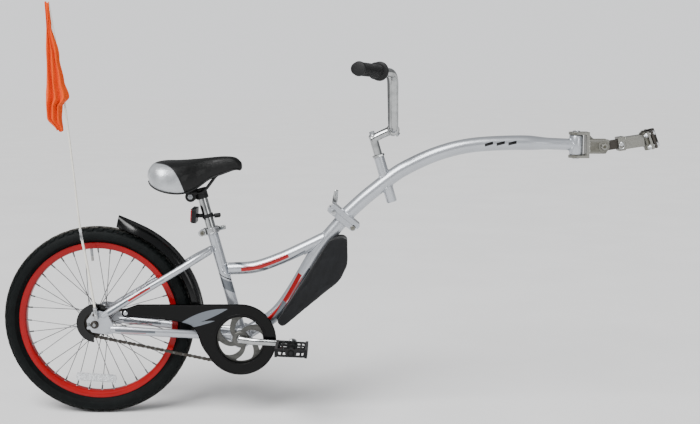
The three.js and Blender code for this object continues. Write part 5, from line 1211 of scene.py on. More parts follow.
class TRAILER_OT_chain(bpy.types.Operator):
    """Lay the chain's inner and outer links round the chainring and sprocket"""
    bl_idname = "trailer.chain"
    bl_label = "Chain"

    def execute(self, context):
        d, loop = chain_loop(context)
        half = d.pitch / 2
        side = [(half + 4.15 * cos(a), 4.15 * sin(a)) for a in np.radians(np.arange(-120, 121, 30))]
        outline = side + [(0, 2.7)] + [(-x, -z) for x, z in side] + [(0, -2.7)]

        def link(low, high, pin, reach):
            shapes = [plate(outline, low, high), plate(outline, -high, -low)]
            shapes += [cross_rod((x, 0, 0), -reach, reach, pin, 10, 0.35) for x in (-half, half)]
            return joined(*shapes)

        made = []
        for first, label, item in ((0, "inner", link(1.75, 2.6, 3.8, 1.8)),
                                   (1, "outer", link(2.68, 3.5, 1.9, 4.1))):
            places = []
            for k in range(first, loop.links, 2):
                a, b = loop.point(k, -d.line), loop.point(k + 1, -d.line)
                places.append(((a + b) / 2, (0, -math.atan2(b.z - a.z, b.x - a.x), 0)))
            made.append(copies_along("chain_" + label, item, places,
                                     finish("dark_steel" if label == "outer" else "ring_steel")))
        dress("chain_links", merged("chain_links", made), "frame", "dark_steel", ["chain"])
        return {"FINISHED"}


class TRAILER_OT_cranks(bpy.types.Operator):
    """Build the cranks, the swept chainring, the cone and the locknut"""
    bl_idname = "trailer.cranks"
    bl_label = "Cranks and Chainring"

    def execute(self, context):
        d, loop = chain_loop(context)
        root = loop.ring_angle(math.ceil(loop.straight) - loop.straight)
        outline = toothed(d.ring_teeth, loop.ring, root, CRANK, d.pitch)

        def window(k):
            shares = [smooth_step(i / 12, 0, 1) * 0.5 + i / 24 for i in range(13)]

            def edge(share, sign):
                arm = SPIDER * mix(0.2, 0.17, share)
                start = SPIDER * (k if sign > 0 else k + 1) + sign * (arm + 3.2 * (abs(2 * share - 1) ** 5))
                return side_view([on_circle(23 + 36 * share, start - 46 * share, 0, CRANK)])[0]

            low, high = SPIDER * (k + 0.17) + 3.4, SPIDER * (k + 0.83) - 3.4
            far = [on_circle(59.6, low + (high - low) * i / 8 - 46, 0, CRANK) for i in range(1, 8)]
            near = [on_circle(22.6, SPIDER * (k + 0.8) - 3 - (SPIDER * 0.6 - 6) * i / 4, 0, CRANK)
                    for i in range(1, 4)]
            return ([edge(s, 1) for s in shares] + side_view(far) + [edge(s, -1) for s in reversed(shares)]
                    + side_view(near))

        disc = plate(outline, -d.line - 1.2, -d.line + 1.2, [window(k) for k in range(5)]
                     + [circle(CRANK, 11.3, 30)])
        face = -d.line - 1.2
        lip = lathe([(LIP - 1.1, face + 0.3), (LIP - 0.8, face - 0.5), (LIP + 0.8, face - 0.5),
                     (LIP + 1.1, face + 0.3)], CRANK, Y, 96)
        hub = lathe([(11.4, face + 0.2), (11.4, face - 2.2), (18.6, face - 2.2), (20.4, face - 1.2),
                     (20.8, face + 0.2)], CRANK, Y, 60)
        dress("swept_chainring", disc, "crank", "grey_steel", ["chainring"], paint="ring_steel", bevel=0.45)
        dress("chainring_hub", joined(hub, lip), "crank", "grey_steel", paint="ring_steel")

        def arm_size(share):
            return (9.5 - 1.9 * share + 1.6 * smooth_step(share, 0.16, 0),
                    6.2 - 0.8 * share + 3.6 * smooth_step(share, 0.14, 0))

        arms = [cross_rod(ORIGIN, -51, 51, 11, 40, 2)]
        for side in BOTH:
            bow = ((-0.035, 0.735), (0, 0.76), (0.05, 0.81), (0.12, 0.87), (0.27, 0.965), (0.5, 0.985), (1, 1))
            points = [at(-side * s * d.arm, side * out * PEDAL_OUT, 0) for s, out in bow]
            arms.append(tube(curve(points, 36), arm_size, 28, end_round=3))
            low, high = side * PEDAL_OUT - 7.5, side * PEDAL_OUT + 7.5
            eye = lathe([(4.85, low + 1), (5.8, low), (11.4, low), (13, low + 1.6), (13, high - 1.6),
                         (11.4, high), (5.8, high), (4.85, high - 1)], at(-side * d.arm, 0, 0), Y, 40,
                        closed=True)
            arms.append(eye)
        dress("forged_cranks", on_crank(*arms), "crank", "chrome", ["cranks"])
        for side, node in ((-1, "crank_cone"), (1, "crank_locknut")):
            cone = lathe([(11.4, 27.2), (15.4, 27.2), (17.9, 29.4), (17.9, 33.6), (15.6, 34.4), (15.6, 35),
                          (17.2, 35.6), (17.2, 39.2), (16.4, 39.5), (11.4, 39.5)], CRANK, Y * side, 48,
                         closed=True)
            nut = hex_nut(CRANK, *span(side, 34.4, 39.2), 31, 11.4, 12)
            dress(node + "_turned", joined(cone, nut), "crank", "grey_steel", [node], bevel=0.2)
        return {"FINISHED"}


class TRAILER_OT_pedals(bpy.types.Operator):
    """Build the cage pedals and their spindles"""
    bl_idname = "trailer.pedals"
    bl_label = "Pedals"

    def execute(self, context):
        d = sizes(context.scene.trailer_drive)
        inner, edge = 81.5, d.pedal_width / 2
        outer = inner + d.pedal_length
        lay = Matrix.Rotation(radians(90), 4, "Z")
        for side, word in SIDES:
            x = -side * d.arm
            step = d.pedal_length / PEDAL_TEETH
            crest = []
            for k in range(PEDAL_TEETH):
                start = inner + k * step
                crest += [(start + step * 0.12, 12.4), (start + step * 0.5, 12.4), (start + step * 0.62, 10.7),
                          (start + step * 0.98, 10.7)]
            crest = [(inner, 10.7)] + crest[:-1] + [(outer, 10.7)]
            rail_outline = crest + [(a, -z) for a, z in reversed(crest)]
            holes = [[(a + 3, -6.2), (b - 3, -6.2), (b, -3.4), (b, 3.4), (b - 3, 6.2), (a + 3, 6.2), (a, 3.4),
                      (a, -3.4)] for a, b in ((inner + 10, inner + 38), (inner + 50, inner + 78))]
            parts = []
            for end in BOTH:
                low, high = sorted((x + end * edge, x + end * (edge - 7)))
                rail = plate(rail_outline, -high, -low, holes)
                parts.append(rail.moved(lay))
                lip_low, lip_high = sorted((x + end * (edge - 0.05), x + end * (edge - 2.2)))
                panel = plate([(inner + 12, -5), (outer - 12, -5), (outer - 12, 5), (inner + 12, 5)], -lip_high,
                              -lip_low)
                parts.append(panel.moved(lay))
            for share in (0, 0.46, 1):
                start = inner + share * (d.pedal_length - 8)
                outline = [(x - edge + 3, -9), (x - edge + 14, -10), (x + edge - 14, -10), (x + edge - 3, -9),
                           (x + edge - 3, 9), (x + edge - 14, 10), (x - edge + 14, 10), (x - edge + 3, 9)]
                gaps = [[(x + s * 13, -6), (x + s * 31, -6), (x + s * 33, 0), (x + s * 31, 6), (x + s * 13, 6),
                         (x + s * 15, 0)] for s in BOTH]
                parts.append(plate(outline, start, start + 8 if share in (0, 1) else start + 5, gaps))
            parts += [block(at(x + s * 24, (inner + outer) / 2, z), (5, d.pedal_length - 4, 3.4)) for s in BOTH
                      for z in (-8.2, 8.2)]
            barrel = lathe([(5.2, inner), (8.9, inner), (9.5, inner + 0.8), (9.5, inner + 12),
                            (8.4, inner + 15), (8.4, outer - 15), (9.5, outer - 12), (9.5, outer - 0.9),
                            (8.6, outer), (6.4, outer), (6.1, outer - 1), (0, outer - 1)], at(x, 0, 0), Y, 36)
            cage = joined(*parts)
            cage, barrel = on_side(side, cage), on_side(side, barrel)
            dress(f"pedal_cage_{word}", on_crank(cage), f"pedal_{word}", "black_plastic", [f"pedal_{word}"],
                  bevel=0.45)
            dress(f"pedal_barrel_{word}", on_crank(barrel), f"pedal_{word}", "black_plastic")
            profile = [(0, 60.5), (4.3, 60.5), (4.7, 61), (4.7, 75.6), (8.2, 75.9), (9, 76.7), (9, 80.4),
                       (8.4, 81.1), (4.5, 81.1), (4.5, 150), (0, 150)]
            spindle = lathe(profile, at(x, 0, 0), Y, 30)
            flats = [block(at(x + s * 7.6, 78.5, 0), (1.6, 4.2, 9)) for s in BOTH]
            spindle = on_side(side, joined(spindle, *flats))
            dress(f"pedal_spindle_{word}_turned", on_crank(spindle), "crank", "dark_steel",
                  [f"pedal_spindle_{word}"], paint="grey_steel")
        return {"FINISHED"}


# Frame tubes and the fold

LEAN, TILT = radians(15), radians(39.6)
SEAT_AXIS = at(-sin(LEAN), 0, cos(LEAN))
SEAT_TOP = CRANK + SEAT_AXIS * 300
FOLD_DOWN, FOLD_OUT = at(cos(TILT), 0, -sin(TILT)), at(sin(TILT), 0, cos(TILT))


def fold_place(down, out, y=0.0):
    return at(659.7, y, 277.3) + FOLD_DOWN * down + FOLD_OUT * out


FOLD_PIN, FOLD_SKEWER = fold_place(33.2, -5.3), fold_place(-32.7, -5.3)
TOP_RUN = [at(x, 0, z) for x, z in ((349.6, 139), (418.6, 143.8), (483.3, 164.7), (548.2, 193.8),
                                    (622.3, 229.9))]
SEATSTAY_RUN = ((17, 58.5, 21), (126, 51.25, 85.75), (235, 44, 150.5), (262, 38, 167), (285, 27, 180),
                (303, 14, 190.6))
BRIDGE_REACH = 288.3  # from the axle to the middle of the bridge
DOWN_RUN = [fold_place(0, -13.6), fold_place(0, -100), at(480.6, 0, 21.4), CRANK + at(12, 0, 6)]


def bridge_place():
    """Where the left seatstay carries the bridge, just outside the fender."""
    a, b = (at(*p) for p in SEATSTAY_RUN[2:4])
    near, far = hypot(a.x, a.z), hypot(b.x, b.z)
    return mix(a, b, (BRIDGE_REACH - near) / (far - near))


def on_fold(corners, low, high, holes=()):
    """A plate whose corners are given along and out from the fold."""
    def flat(loop):
        return side_view(fold_place(down, out) for down, out in loop)
    return plate(flat(corners), low, high, [flat(loop) for loop in holes])


def soft_outline(points, radius, steps=4):
    """A closed outline with every corner rounded."""
    corners, out = [Vector((p[0], 0, p[-1])) for p in points], []
    for k, corner in enumerate(corners):
        before, after = corners[k - 1], corners[(k + 1) % len(corners)]
        reach = min(radius, (corner - before).length * 0.45, (after - corner).length * 0.45)
        out += side_view(bend(before, corner, after, reach, steps))
    return out


def arc(centre, radius, start, end, count=10):
    turns = np.radians([start + (end - start) * k / count for k in range(count + 1)])
    return [(centre[0] + radius * cos(a), centre[1] + radius * sin(a)) for a in turns]


def weld_round(start, direction, high, wide, point, axis, radius, size=1.7):
    """The weld where a tube runs into a round tube about an axis."""
    direction, axis = Vector(direction).normalized(), Vector(axis).normalized()
    found = []
    for p in oval_round(Vector(start), direction, high, wide, count=28):
        w, d = p - point, direction - axis * direction.dot(axis)
        w = w - axis * w.dot(axis)
        a, b, c = d.dot(d), w.dot(d), w.dot(w) - radius * radius
        root = b * b - a * c
        t = (-b - sqrt(root)) / a if root > 0 else -b / a
        found.append(p + direction * t)
    return weld_bead(found, size)


class TRAILER_OT_main_tubes(bpy.types.Operator):
    """Build the seat tube, top tube, down tube and crank shell with their welds"""
    bl_idname = "trailer.main_tubes"
    bl_label = "Main Tubes"

    def execute(self, context):
        f = sizes(context.scene.trailer_frame)
        seat, top, down = f.seat_tube / 2, f.top_tube / 2, f.down_tube / 2
        outer = [CRANK + SEAT_AXIS * d for d in np.linspace(20, 299.6, 40)]
        marks = ((60, 152, -6.4, -4.0, 7.3, "stripe"), (74, 166, -6.0, -5.75, 7.3, "black"))
        tube_of_seat = tube(outer, seat, 40, end_round=0.6)
        mouth = lathe([(seat - 0.6, 0), (seat - 1.1, 0.35), (13, 0.35), (12.95, -40)], SEAT_TOP, SEAT_AXIS, 40)
        dress("seat_tube_painted", joined(tube_of_seat, mouth), "frame", "silver_paint", ["seat_tube"],
              paint=[finish("silver_paint", marks)])

        marks = ((16, 104, 0.95, 1.32, -1.9, "stripe"), (88, 214, -1.0, -0.78, 0.5, "stripe"),
                 (34, 168, -0.38, 0.2, 0.12, "accent"), (40, 160, 0.26, 0.36, 0.12, "accent"))
        dress("top_tube_painted", tube(curve(TOP_RUN, 70), top, 40), "frame", "silver_paint", ["top_tube"],
              paint=[finish("silver_paint", marks)])
        marks = ((150, 330, 0.15, 0.55, -0.9, "stripe"), (176, 342, -0.75, -0.15, 0.3, "accent"),
                 (182, 334, -0.02, 0.1, 0.3, "accent"), (262, 366, -0.6, 0.1, 1.1, "stripe"))
        dress("down_tube_painted", tube(curve(DOWN_RUN, 80), down, 40), "frame", "silver_paint", ["down_tube"],
              paint=[finish("silver_paint", marks)])

        shell = lathe([(18.7, 30), (23, 30), (23, -30), (18.7, -30), (18.7, -34), (24.6, -34), (25.2, -33.6),
                       (25.2, -33), (26.9, -33), (27.5, -32.4), (27.5, 32.4), (26.9, 33), (25.2, 33),
                       (25.2, 33.6), (24.6, 34), (18.7, 34)], CRANK, Y, 64, closed=True)
        dress("crank_shell", shell, "frame", "silver_paint", ["bottom_bracket_shell"])
        beads = [weld_round(TOP_RUN[0], TOP_RUN[0] - TOP_RUN[1], top, top, SEAT_TOP, SEAT_AXIS, seat),
                 weld_round(TOP_RUN[3], TOP_RUN[4] - TOP_RUN[3], top, top, fold_place(0, -60), FOLD_OUT, down),
                 weld_round(DOWN_RUN[2], DOWN_RUN[3] - DOWN_RUN[2], down, down, CRANK, Y, SHELL),
                 weld_round(CRANK + SEAT_AXIS * 60, -SEAT_AXIS, seat, seat, CRANK, Y, SHELL),
                 weld_bead(oval_round(fold_place(0, -14.2), FOLD_OUT, down + 0.3, down + 0.3), 2)]
        dress("main_welds", joined(*beads), "frame", "silver_paint")
        return {"FINISHED"}


class TRAILER_OT_stays(bpy.types.Operator):
    """Build the chainstays with their dropouts, and the seatstays with their bridge"""
    bl_idname = "trailer.stays"
    bl_label = "Stays and Dropouts"

    def execute(self, context):
        reaches = ((-1, 0.32), (-0.4, 0.88), (0, 1), (0.3, 1), (0.62, 0.86), (1, -0.1), (1, -1), (0.5, -1),
                   (-0.55, -0.77), (-1, -0.46))
        corners = [(x * (21 if x < 0 else 49), z * (26 if z < 0 else 37)) for x, z in reaches[1:-1]]
        body = soft_outline(corners, 7)
        slotted = [(-20, -5.2), *arc((0, 0), 5.2, -90, 90, 12), (-20, 5.2), (-21, 6.5), (-21, 11.8),
                   *(p for p in body if p[0] > -20.9), (-21, -12), (-21, -6.5)]
        paint = finish("silver_paint", ((14, 120, -0.35, 0.2, 0.25, "stripe"),
                                        (30, 96, -0.62, -0.5, 0.3, "accent")))
        welds, eyes = [], []
        for side, word in SIDES:
            start = at(39, side * 58.5, -13)
            places = [(mix(start, CRANK, share), y)
                      for share, y in ((0.3, 52), (0.52, 42), (0.66, 34), (0.78, 27), (0.93, 25))]
            path = curve([start] + [at(p.x, side * y, p.z) for p, y in places], 60)
            stay = tube(path, lambda s: (11 - 2.5 * smooth_step(s, 0.08, 0),
                                         7.5 - 1.5 * smooth_step(s, 0.06, 0)), 32, end_round=2.5)
            dress(f"chainstay_tube_{word}", stay, "frame", "silver_paint", [f"chainstay_{word}"], paint=[paint])
            drop = plate(slotted, *span(side, 56.1, 60.9), [circle((0, 0, 27), 2.7, 20)])
            dress(f"dropout_{word}", drop, "frame", "silver_paint", bevel=0.8)
            welds.append(weld_round(path[-8], path[-1] - path[-8], 11, 7.5, CRANK, Y, SHELL, 1.5))
            welds.append(weld_bead([at(30, side * 61, -22), at(40, side * 61, -22.5),
                                    at(47, side * 60.6, -24)], 1.4, closed=False))
            run = [at(x, side * y, z) for x, y, z in SEATSTAY_RUN]
            eyes.append(tube(curve(run, 70), lambda s: (
                9.5 - 2.4 * smooth_step(s, 0.1, 0), 8.5 - 2.2 * smooth_step(s, 0.08, 0)), 32, end_round=2.5))
            welds.append(weld_round(run[-2], run[-1] - run[-2], 9.5, 8.5, SEAT_TOP, SEAT_AXIS, 14.3, 1.5))
            welds.append(weld_bead([at(12, side * 61, 31), at(22, side * 61.2, 34), at(30, side * 61, 33)], 1.4,
                                   closed=False))
        dress("seatstay_pair", joined(*eyes), "frame", "silver_paint", ["seatstays"],
              paint=[finish("silver_paint", ((20, 84, -0.4, 0.1, 0.3, "stripe"),
                                             (84, 152, -0.35, 0.2, 0.1, "accent"),
                                             (120, 196, 0.3, 0.5, -0.5, "stripe")))])
        place = bridge_place()
        dress("stay_bridge", cross_rod(place, -place.y, place.y, 6, 28), "frame", "silver_paint")
        for side in BOTH:
            end = at(place.x, side * (place.y - 7.5), place.z)
            welds.append(weld_bead(oval_round(end, Y, 6.2, 6.2, X, 20), 1.1))
        tab = block(at(105.5, -51.3, 80.5), (20, 2.6, 15), 32)
        dress("guard_tab", tab, "frame", "silver_paint", bevel=0.6)
        dress("stay_welds", joined(*welds), "frame", "silver_paint")
        return {"FINISHED"}


def skewer(place, half, nut, wall, eye_axis):
    """A skewer with a knurled nut on the right and an eye for its lever on the left."""
    knurl = [(nut / 2 * (0.95 + 0.05 * (k % 2)), -half - 0.3 - wall + 0.6 + (wall - 1.2) * k / 8)
             for k in range(9)]
    body = lathe([(0, -half - 0.2 - wall), (nut * 0.3, -half - 0.2 - wall), *knurl, (nut / 2, -half - 0.3),
                  (2.7, -half - 0.3), (2.7, half + 5.6), (0, half + 5.6)], at(place.x, 0, place.z), Y, 36)
    centre = at(place.x, half + 9, place.z)
    eye = rod(centre - eye_axis * 2.8, centre + eye_axis * 2.8, 5, 28, 0.5)
    pin = rod(centre - eye_axis * 6.6, centre + eye_axis * 6.6, 2, 16, 0.4)
    return joined(body, eye, pin)


def cam_lever(place, half, direction, length_of):
    """The lever's two cam cheeks, the bridge between them and the bowed handle."""
    centre = at(place.x, half + 9, place.z)
    hinge = direction.cross(Y)

    def off(along, across, outward=0.0):
        return centre + direction * along + hinge * across + Y * outward

    cheeks = [rod(off(0, side * 3.1), off(0, side * 6.6), 7, 32, 0.6) for side in BOTH]
    bridge = [rod(off(8.6, -6.6), off(8.6, 6.6), 3, 20, 0.6)]
    for side in BOTH:
        bridge.append(tube([off(1, side * 4.85), off(9, side * 4.85)], (4.6, 1.75), 12))

    def on_handle(share, across=0.0, raised=0.0):
        return off(8.6 + (length_of - 8.6) * share, across, 3 * sin(pi * share) + raised)

    points = [on_handle(s) for s in (0, 0.2, 0.4, 0.6, 0.75, 0.9, 1)]
    handle = tube(curve(points, 30), lambda s: (2.3 + 0.5 * smooth_step(s, 0.6, 1),
                                                5.8 + 1.2 * sin(pi * min(s * 1.2, 1)) ** 2), 24, hinge,
                  end_round=1.2)
    ridges = [tube([on_handle(s, -3.6, 2.2), on_handle(s, 3.6, 2.2)], 0.6, 8, direction)
              for s in (0.78, 0.83, 0.88)]
    return joined(*cheeks, *bridge, handle, *ridges)


class TRAILER_OT_fold(bpy.types.Operator):
    """Build the folding joint: both flanges, the hinge pin, the skewer and its lever"""
    bl_idname = "trailer.fold"
    bl_label = "Folding Joint"

    def execute(self, context):
        knuckle = arc((33.2, -5.3), 8.2, -90, 38.9, 10)
        cheek = [(-50, -0.15), (-50, -8), (-49, -11), (-47, -12.8), (-44, -13.5), *knuckle]
        rear = [on_fold(cheek, 7.3, 23), on_fold(cheek, -23, -7.3)]
        rear.append(on_fold([(-50, -0.3), (-50, -8), (-47, -12.6), (-44.8, -13.2), (-44.8, -12),
                             (-44.8, -0.3)], -7.4, 7.4))
        rear.append(on_fold([(-20.6, -0.3), (-20.6, -13.2), (25, -13.2), (25, -0.3)], -7.4, 7.4))
        dress("fold_flange_rear", joined(*rear), "frame", "silver_paint", ["rear_fold_flange"], bevel=0.7)
        slab = [(-47, 0.15), (45, 0.15), (45, 10.4), (41.6, 13.5), (-43.6, 13.5), (-47, 10.4)]
        relieved = [slab[0], *arc((33.2, -5.3), 8.45, 139.9, 40.1, 12), *slab[1:]]
        lug = [(25.8, 0.3), (25.8, -5.3), *arc((33.2, -5.3), 7.4, 180, 360, 14), (40.6, 0.3)]
        hook = [(-44.2, 0.3), (-44.2, -9), (-42, -11.4), (-36, -11.4), *arc((-32.7, -5.3), 3.4, 180, 0, 10),
                (-29.3, -11.4), (-23.4, -11.4), (-21.2, -9), (-21.2, 0.3)]
        front = [on_fold(slab, -7.05, 7.05), on_fold(relieved, 7, 23), on_fold(relieved, -23, -7),
                 on_fold(lug, -7, 7), on_fold(hook, -7, 7)]
        dress("fold_flange_front", joined(*front), "beam", "silver_paint", ["front_fold_flange"], bevel=0.7)
        bead = weld_bead(oval_round(fold_place(0, 14.3), FOLD_OUT, 19.8, 19.8), 2)
        dress("fold_weld", bead, "beam", "silver_paint")
        pin = lathe([(0, -25.9), (4.4, -25.9), (6, -25.2), (6.5, -24), (6.5, -23.3), (4, -23.3), (4, 23.3),
                     (6.5, 23.3), (6.5, 24), (6, 25.2), (4.4, 25.9), (0, 25.9)], FOLD_PIN, Y, 32)
        dress("fold_hinge_pin", pin, "frame", "zinc", ["fold_pin"])
        dress("fold_skewer_turned", skewer(FOLD_SKEWER, 23, 14, 6, FOLD_DOWN), "frame", "zinc", ["fold_skewer"],
              paint="bright_steel")
        lean = radians(8)
        handle = cam_lever(FOLD_SKEWER, 23, at(sin(lean), 0, cos(lean)), 54)
        dress("fold_lever_bowed", handle, "fold_lever", "chrome", ["fold_lever"])
        return {"FINISHED"}


# Beam, steering and hitch

BEAM_RUN = [fold_place(0, 13.9)] + [at(x, 0, z) for x, z in (
    (713.1, 328.8), (749.2, 358.2), (780, 382.2), (806.7, 401), (851, 424.5), (894.9, 443.7), (952.9, 461.8),
    (1010, 471.6), (1116.8, 476.8), (1183.7, 475), (1273.7, 471.2))]
SLEEVE_TOP, SLEEVE_BOTTOM = at(749.8, 0, 445.1), at(786.7, 0, 319.4)
SLEEVE_UP = (SLEEVE_TOP - SLEEVE_BOTTOM).normalized()
BAR_CLAMP = at(788.8, 0, 511.3)
YAW = at(1273.7, 0, 471.2)
PIVOT = at(1343.5, 0, 467.5)
TOW = at(cos(radians(8.5)), 0, sin(radians(8.5)))
POST_UP = at(-sin(radians(21)), 0, cos(radians(21)))
POST_FRONT = at(POST_UP.z, 0, -POST_UP.x)
CLAMP = PIVOT + TOW * 125
CLAMP_BORE, CLAMP_HALF = 14, 24
BEAM_TIP = 15.5


def in_clamp(front, y, up):
    p = CLAMP + POST_FRONT * front + POST_UP * up
    return at(p.x, y, p.z)


def clamp_plate(outline):
    """The clamp's full height of plate, across the post, from [forward, sideways] corners."""
    turn = Matrix((POST_FRONT, POST_UP, Y)).transposed().to_4x4()
    return plate(outline, -CLAMP_HALF, CLAMP_HALF).moved(Matrix.Translation(CLAMP) @ turn)


def along_tow(distance, y=0.0):
    p = PIVOT + TOW * distance
    return at(p.x, y, p.z)


class TRAILER_OT_beam(bpy.types.Operator):
    """Build the bent tow beam with the stem's sleeve and the hitch barrel"""
    bl_idname = "trailer.beam"
    bl_label = "Tow Beam"

    def execute(self, context):
        big = context.scene.trailer_frame.beam / MM / 2
        dashes = tuple((start, start + 22, -0.3, 0.1, 0.24, "black") for start in (415, 446, 477))
        run = tube(curve(BEAM_RUN, 150), lambda s: big - (big - BEAM_TIP) * smooth_step(s, 0.8, 0.9), 44)
        dress("beam_tube", run, "beam", "silver_paint", ["beam"], paint=[finish("silver_paint", dashes)])
        top = SLEEVE_TOP
        sleeve = lathe([(11.3, 0.2), (13.2, 0.2), (14, -0.8), (14, -128.5), (13.2, -130.8), (11.3, -130.8)],
                       top, SLEEVE_UP, 48, closed=True)
        ring_nut = lathe([(11.4, 0.4), (15.4, 0.4), (16.2, -0.6), (16.2, -5.2), (15.4, -6.2), (11.4, -6.2)],
                         top, SLEEVE_UP, 8, closed=True)
        barrel = lathe([(6.4, -26.5), (15.4, -26.5), (17, -25.6), (18, -24), (18, 24), (17, 25.6), (15.4, 26.5),
                        (6.4, 26.5)], YAW, Z, 48, closed=True)
        dress("stem_sleeve", joined(sleeve, barrel), "beam", "silver_paint")
        dress("sleeve_ring_nut", ring_nut, "beam", "chrome", bevel=0.5)
        beads = []
        for low, sign in ((SLEEVE_BOTTOM, 1), (SLEEVE_TOP, -1)):
            beads.append(weld_round(low, SLEEVE_UP * sign, 14, 14, at(749.2, 0, 358.2),
                                    at(780 - 713.1, 0, 382.2 - 328.8), big, 1.8))
        beads.append(weld_round(at(1240, 0, 472.6), at(33.7, 0, -1.4), BEAM_TIP, BEAM_TIP, YAW, Z, 18, 1.8))
        dress("beam_welds", joined(*beads), "beam", "silver_paint")
        return {"FINISHED"}


class TRAILER_OT_steering(bpy.types.Operator):
    """Build the stem, the handlebar and the ribbed grips"""
    bl_idname = "trailer.steering"
    bl_label = "Stem, Handlebar and Grips"

    def execute(self, context):
        f = sizes(context.scene.trailer_frame)
        quill = lathe([(0, -96), (9.6, -96), (11, -94.6), (11, 46), (11.6, 48), (11.6, 52.8), (10.4, 54.3),
                       (5.2, 54.5), (5.2, 53), (0, 53)], SLEEVE_TOP, SLEEVE_UP, 44)
        start = SLEEVE_TOP + SLEEVE_UP * 43
        neck = tube(curve([start + at(-7, 0, -2), mix(start, BAR_CLAMP, 0.5) + at(-1, 0, 1.5), BAR_CLAMP], 24),
                    lambda s: (11.4 + 1.4 * smooth_step(s, 0.6, 1), 12.2 + 1.8 * smooth_step(s, 0.45, 1)), 36,
                    end_round=2.5)
        half = 21
        hoop = lathe([(11.2, half - 0.8), (11.8, half), (15.2, half), (16.1, half - 1), (16.1, 1 - half),
                      (15.2, -half), (11.8, -half), (11.2, 0.8 - half)], BAR_CLAMP, Y, 56, closed=True)
        ears = [tube([BAR_CLAMP + at(9, s * 7.2, -9.5), BAR_CLAMP + at(15, s * 7.2, -14.2)], (6.2, 4.4), 20,
                     end_round=1) for s in BOTH]
        pinch = bolt(BAR_CLAMP + at(12.5, 11.8, -12), Y, 9.6, 4, 3, 24)
        top_bolt = bolt(SLEEVE_TOP + SLEEVE_UP * 57, SLEEVE_UP, 12.6, 7, 4, 12)
        collar = lathe([(4.6, 53.2), (8.6, 53.2), (9.2, 54.2), (9.2, 56), (8.4, 57), (4.6, 57)], SLEEVE_TOP,
                       SLEEVE_UP, 36, closed=True)
        dress("stem_forged", joined(quill, neck, hoop, *ears), "stem", "chrome", ["stem"])
        dress("stem_bolts", joined(pinch, top_bolt, collar), "stem", "grey_steel")

        corner, riser, end = at(788.8, 62, 511.3), at(786.7, 92, 660), at(694.7, 278, 671)
        flip = Vector((1, -1, 1))
        corners = [end * flip, riser * flip, corner * flip, corner, riser, end]
        bar = tube(rounded(corners, 32, 10), f.bar / 2, 36, across=X, end_round=0.8)
        knurl = lathe([(f.bar / 2 + 0.05 + 0.22 * (k % 2), -26 + k) for k in range(53)], BAR_CLAMP, Y, 40)
        dress("handlebar_bent", joined(bar, knurl), "handlebar", "chrome", ["handlebar"])
        for side, word in SIDES:
            tip = at(end.x, side * end.y, end.z)
            direction = (at(riser.x, side * riser.y, riser.z) - tip).normalized()
            r = f.grip / 2
            profile = [(0, -4), (r - 3.5, -4), (r + 0.6, -2.6), (r + 1.5, -0.6), (r + 1.5, 2.4),
                       (r + 0.4, 4.2), (r - 1, 6), (r - 1, 108), (r + 0.4, 110.4), (r + 3, 113.6),
                       (r + 7, 115.6), (r + 7.5, 117), (r + 7.5, 120.6), (r + 6.6, 121.9), (11.3, 122),
                       (11.3, 60), (0, 60)]
            body = mesh_of("grip", lathe(profile, tip, direction, 56), [finish("grip_rubber")])
            rib = lathe([(r - 1.3, -1.15), (r - 0.15, -0.75), (r, 0), (r - 0.15, 0.75), (r - 1.3, 1.15)],
                        ORIGIN, Y, 40, closed=True)
            turn = Y.rotation_difference(direction).to_euler()
            places = [(tip + direction * d, turn) for d in np.arange(10, 108, 3.6)]
            ribs = copies_along("grip_ribs", rib, places, finish("grip_rubber"))
            dress(f"grip_ribbed_{word}", merged("grip_ribbed_" + word, [body, ribs]), "handlebar",
                  "grip_rubber", [f"grip_{word}"])
        return {"FINISHED"}


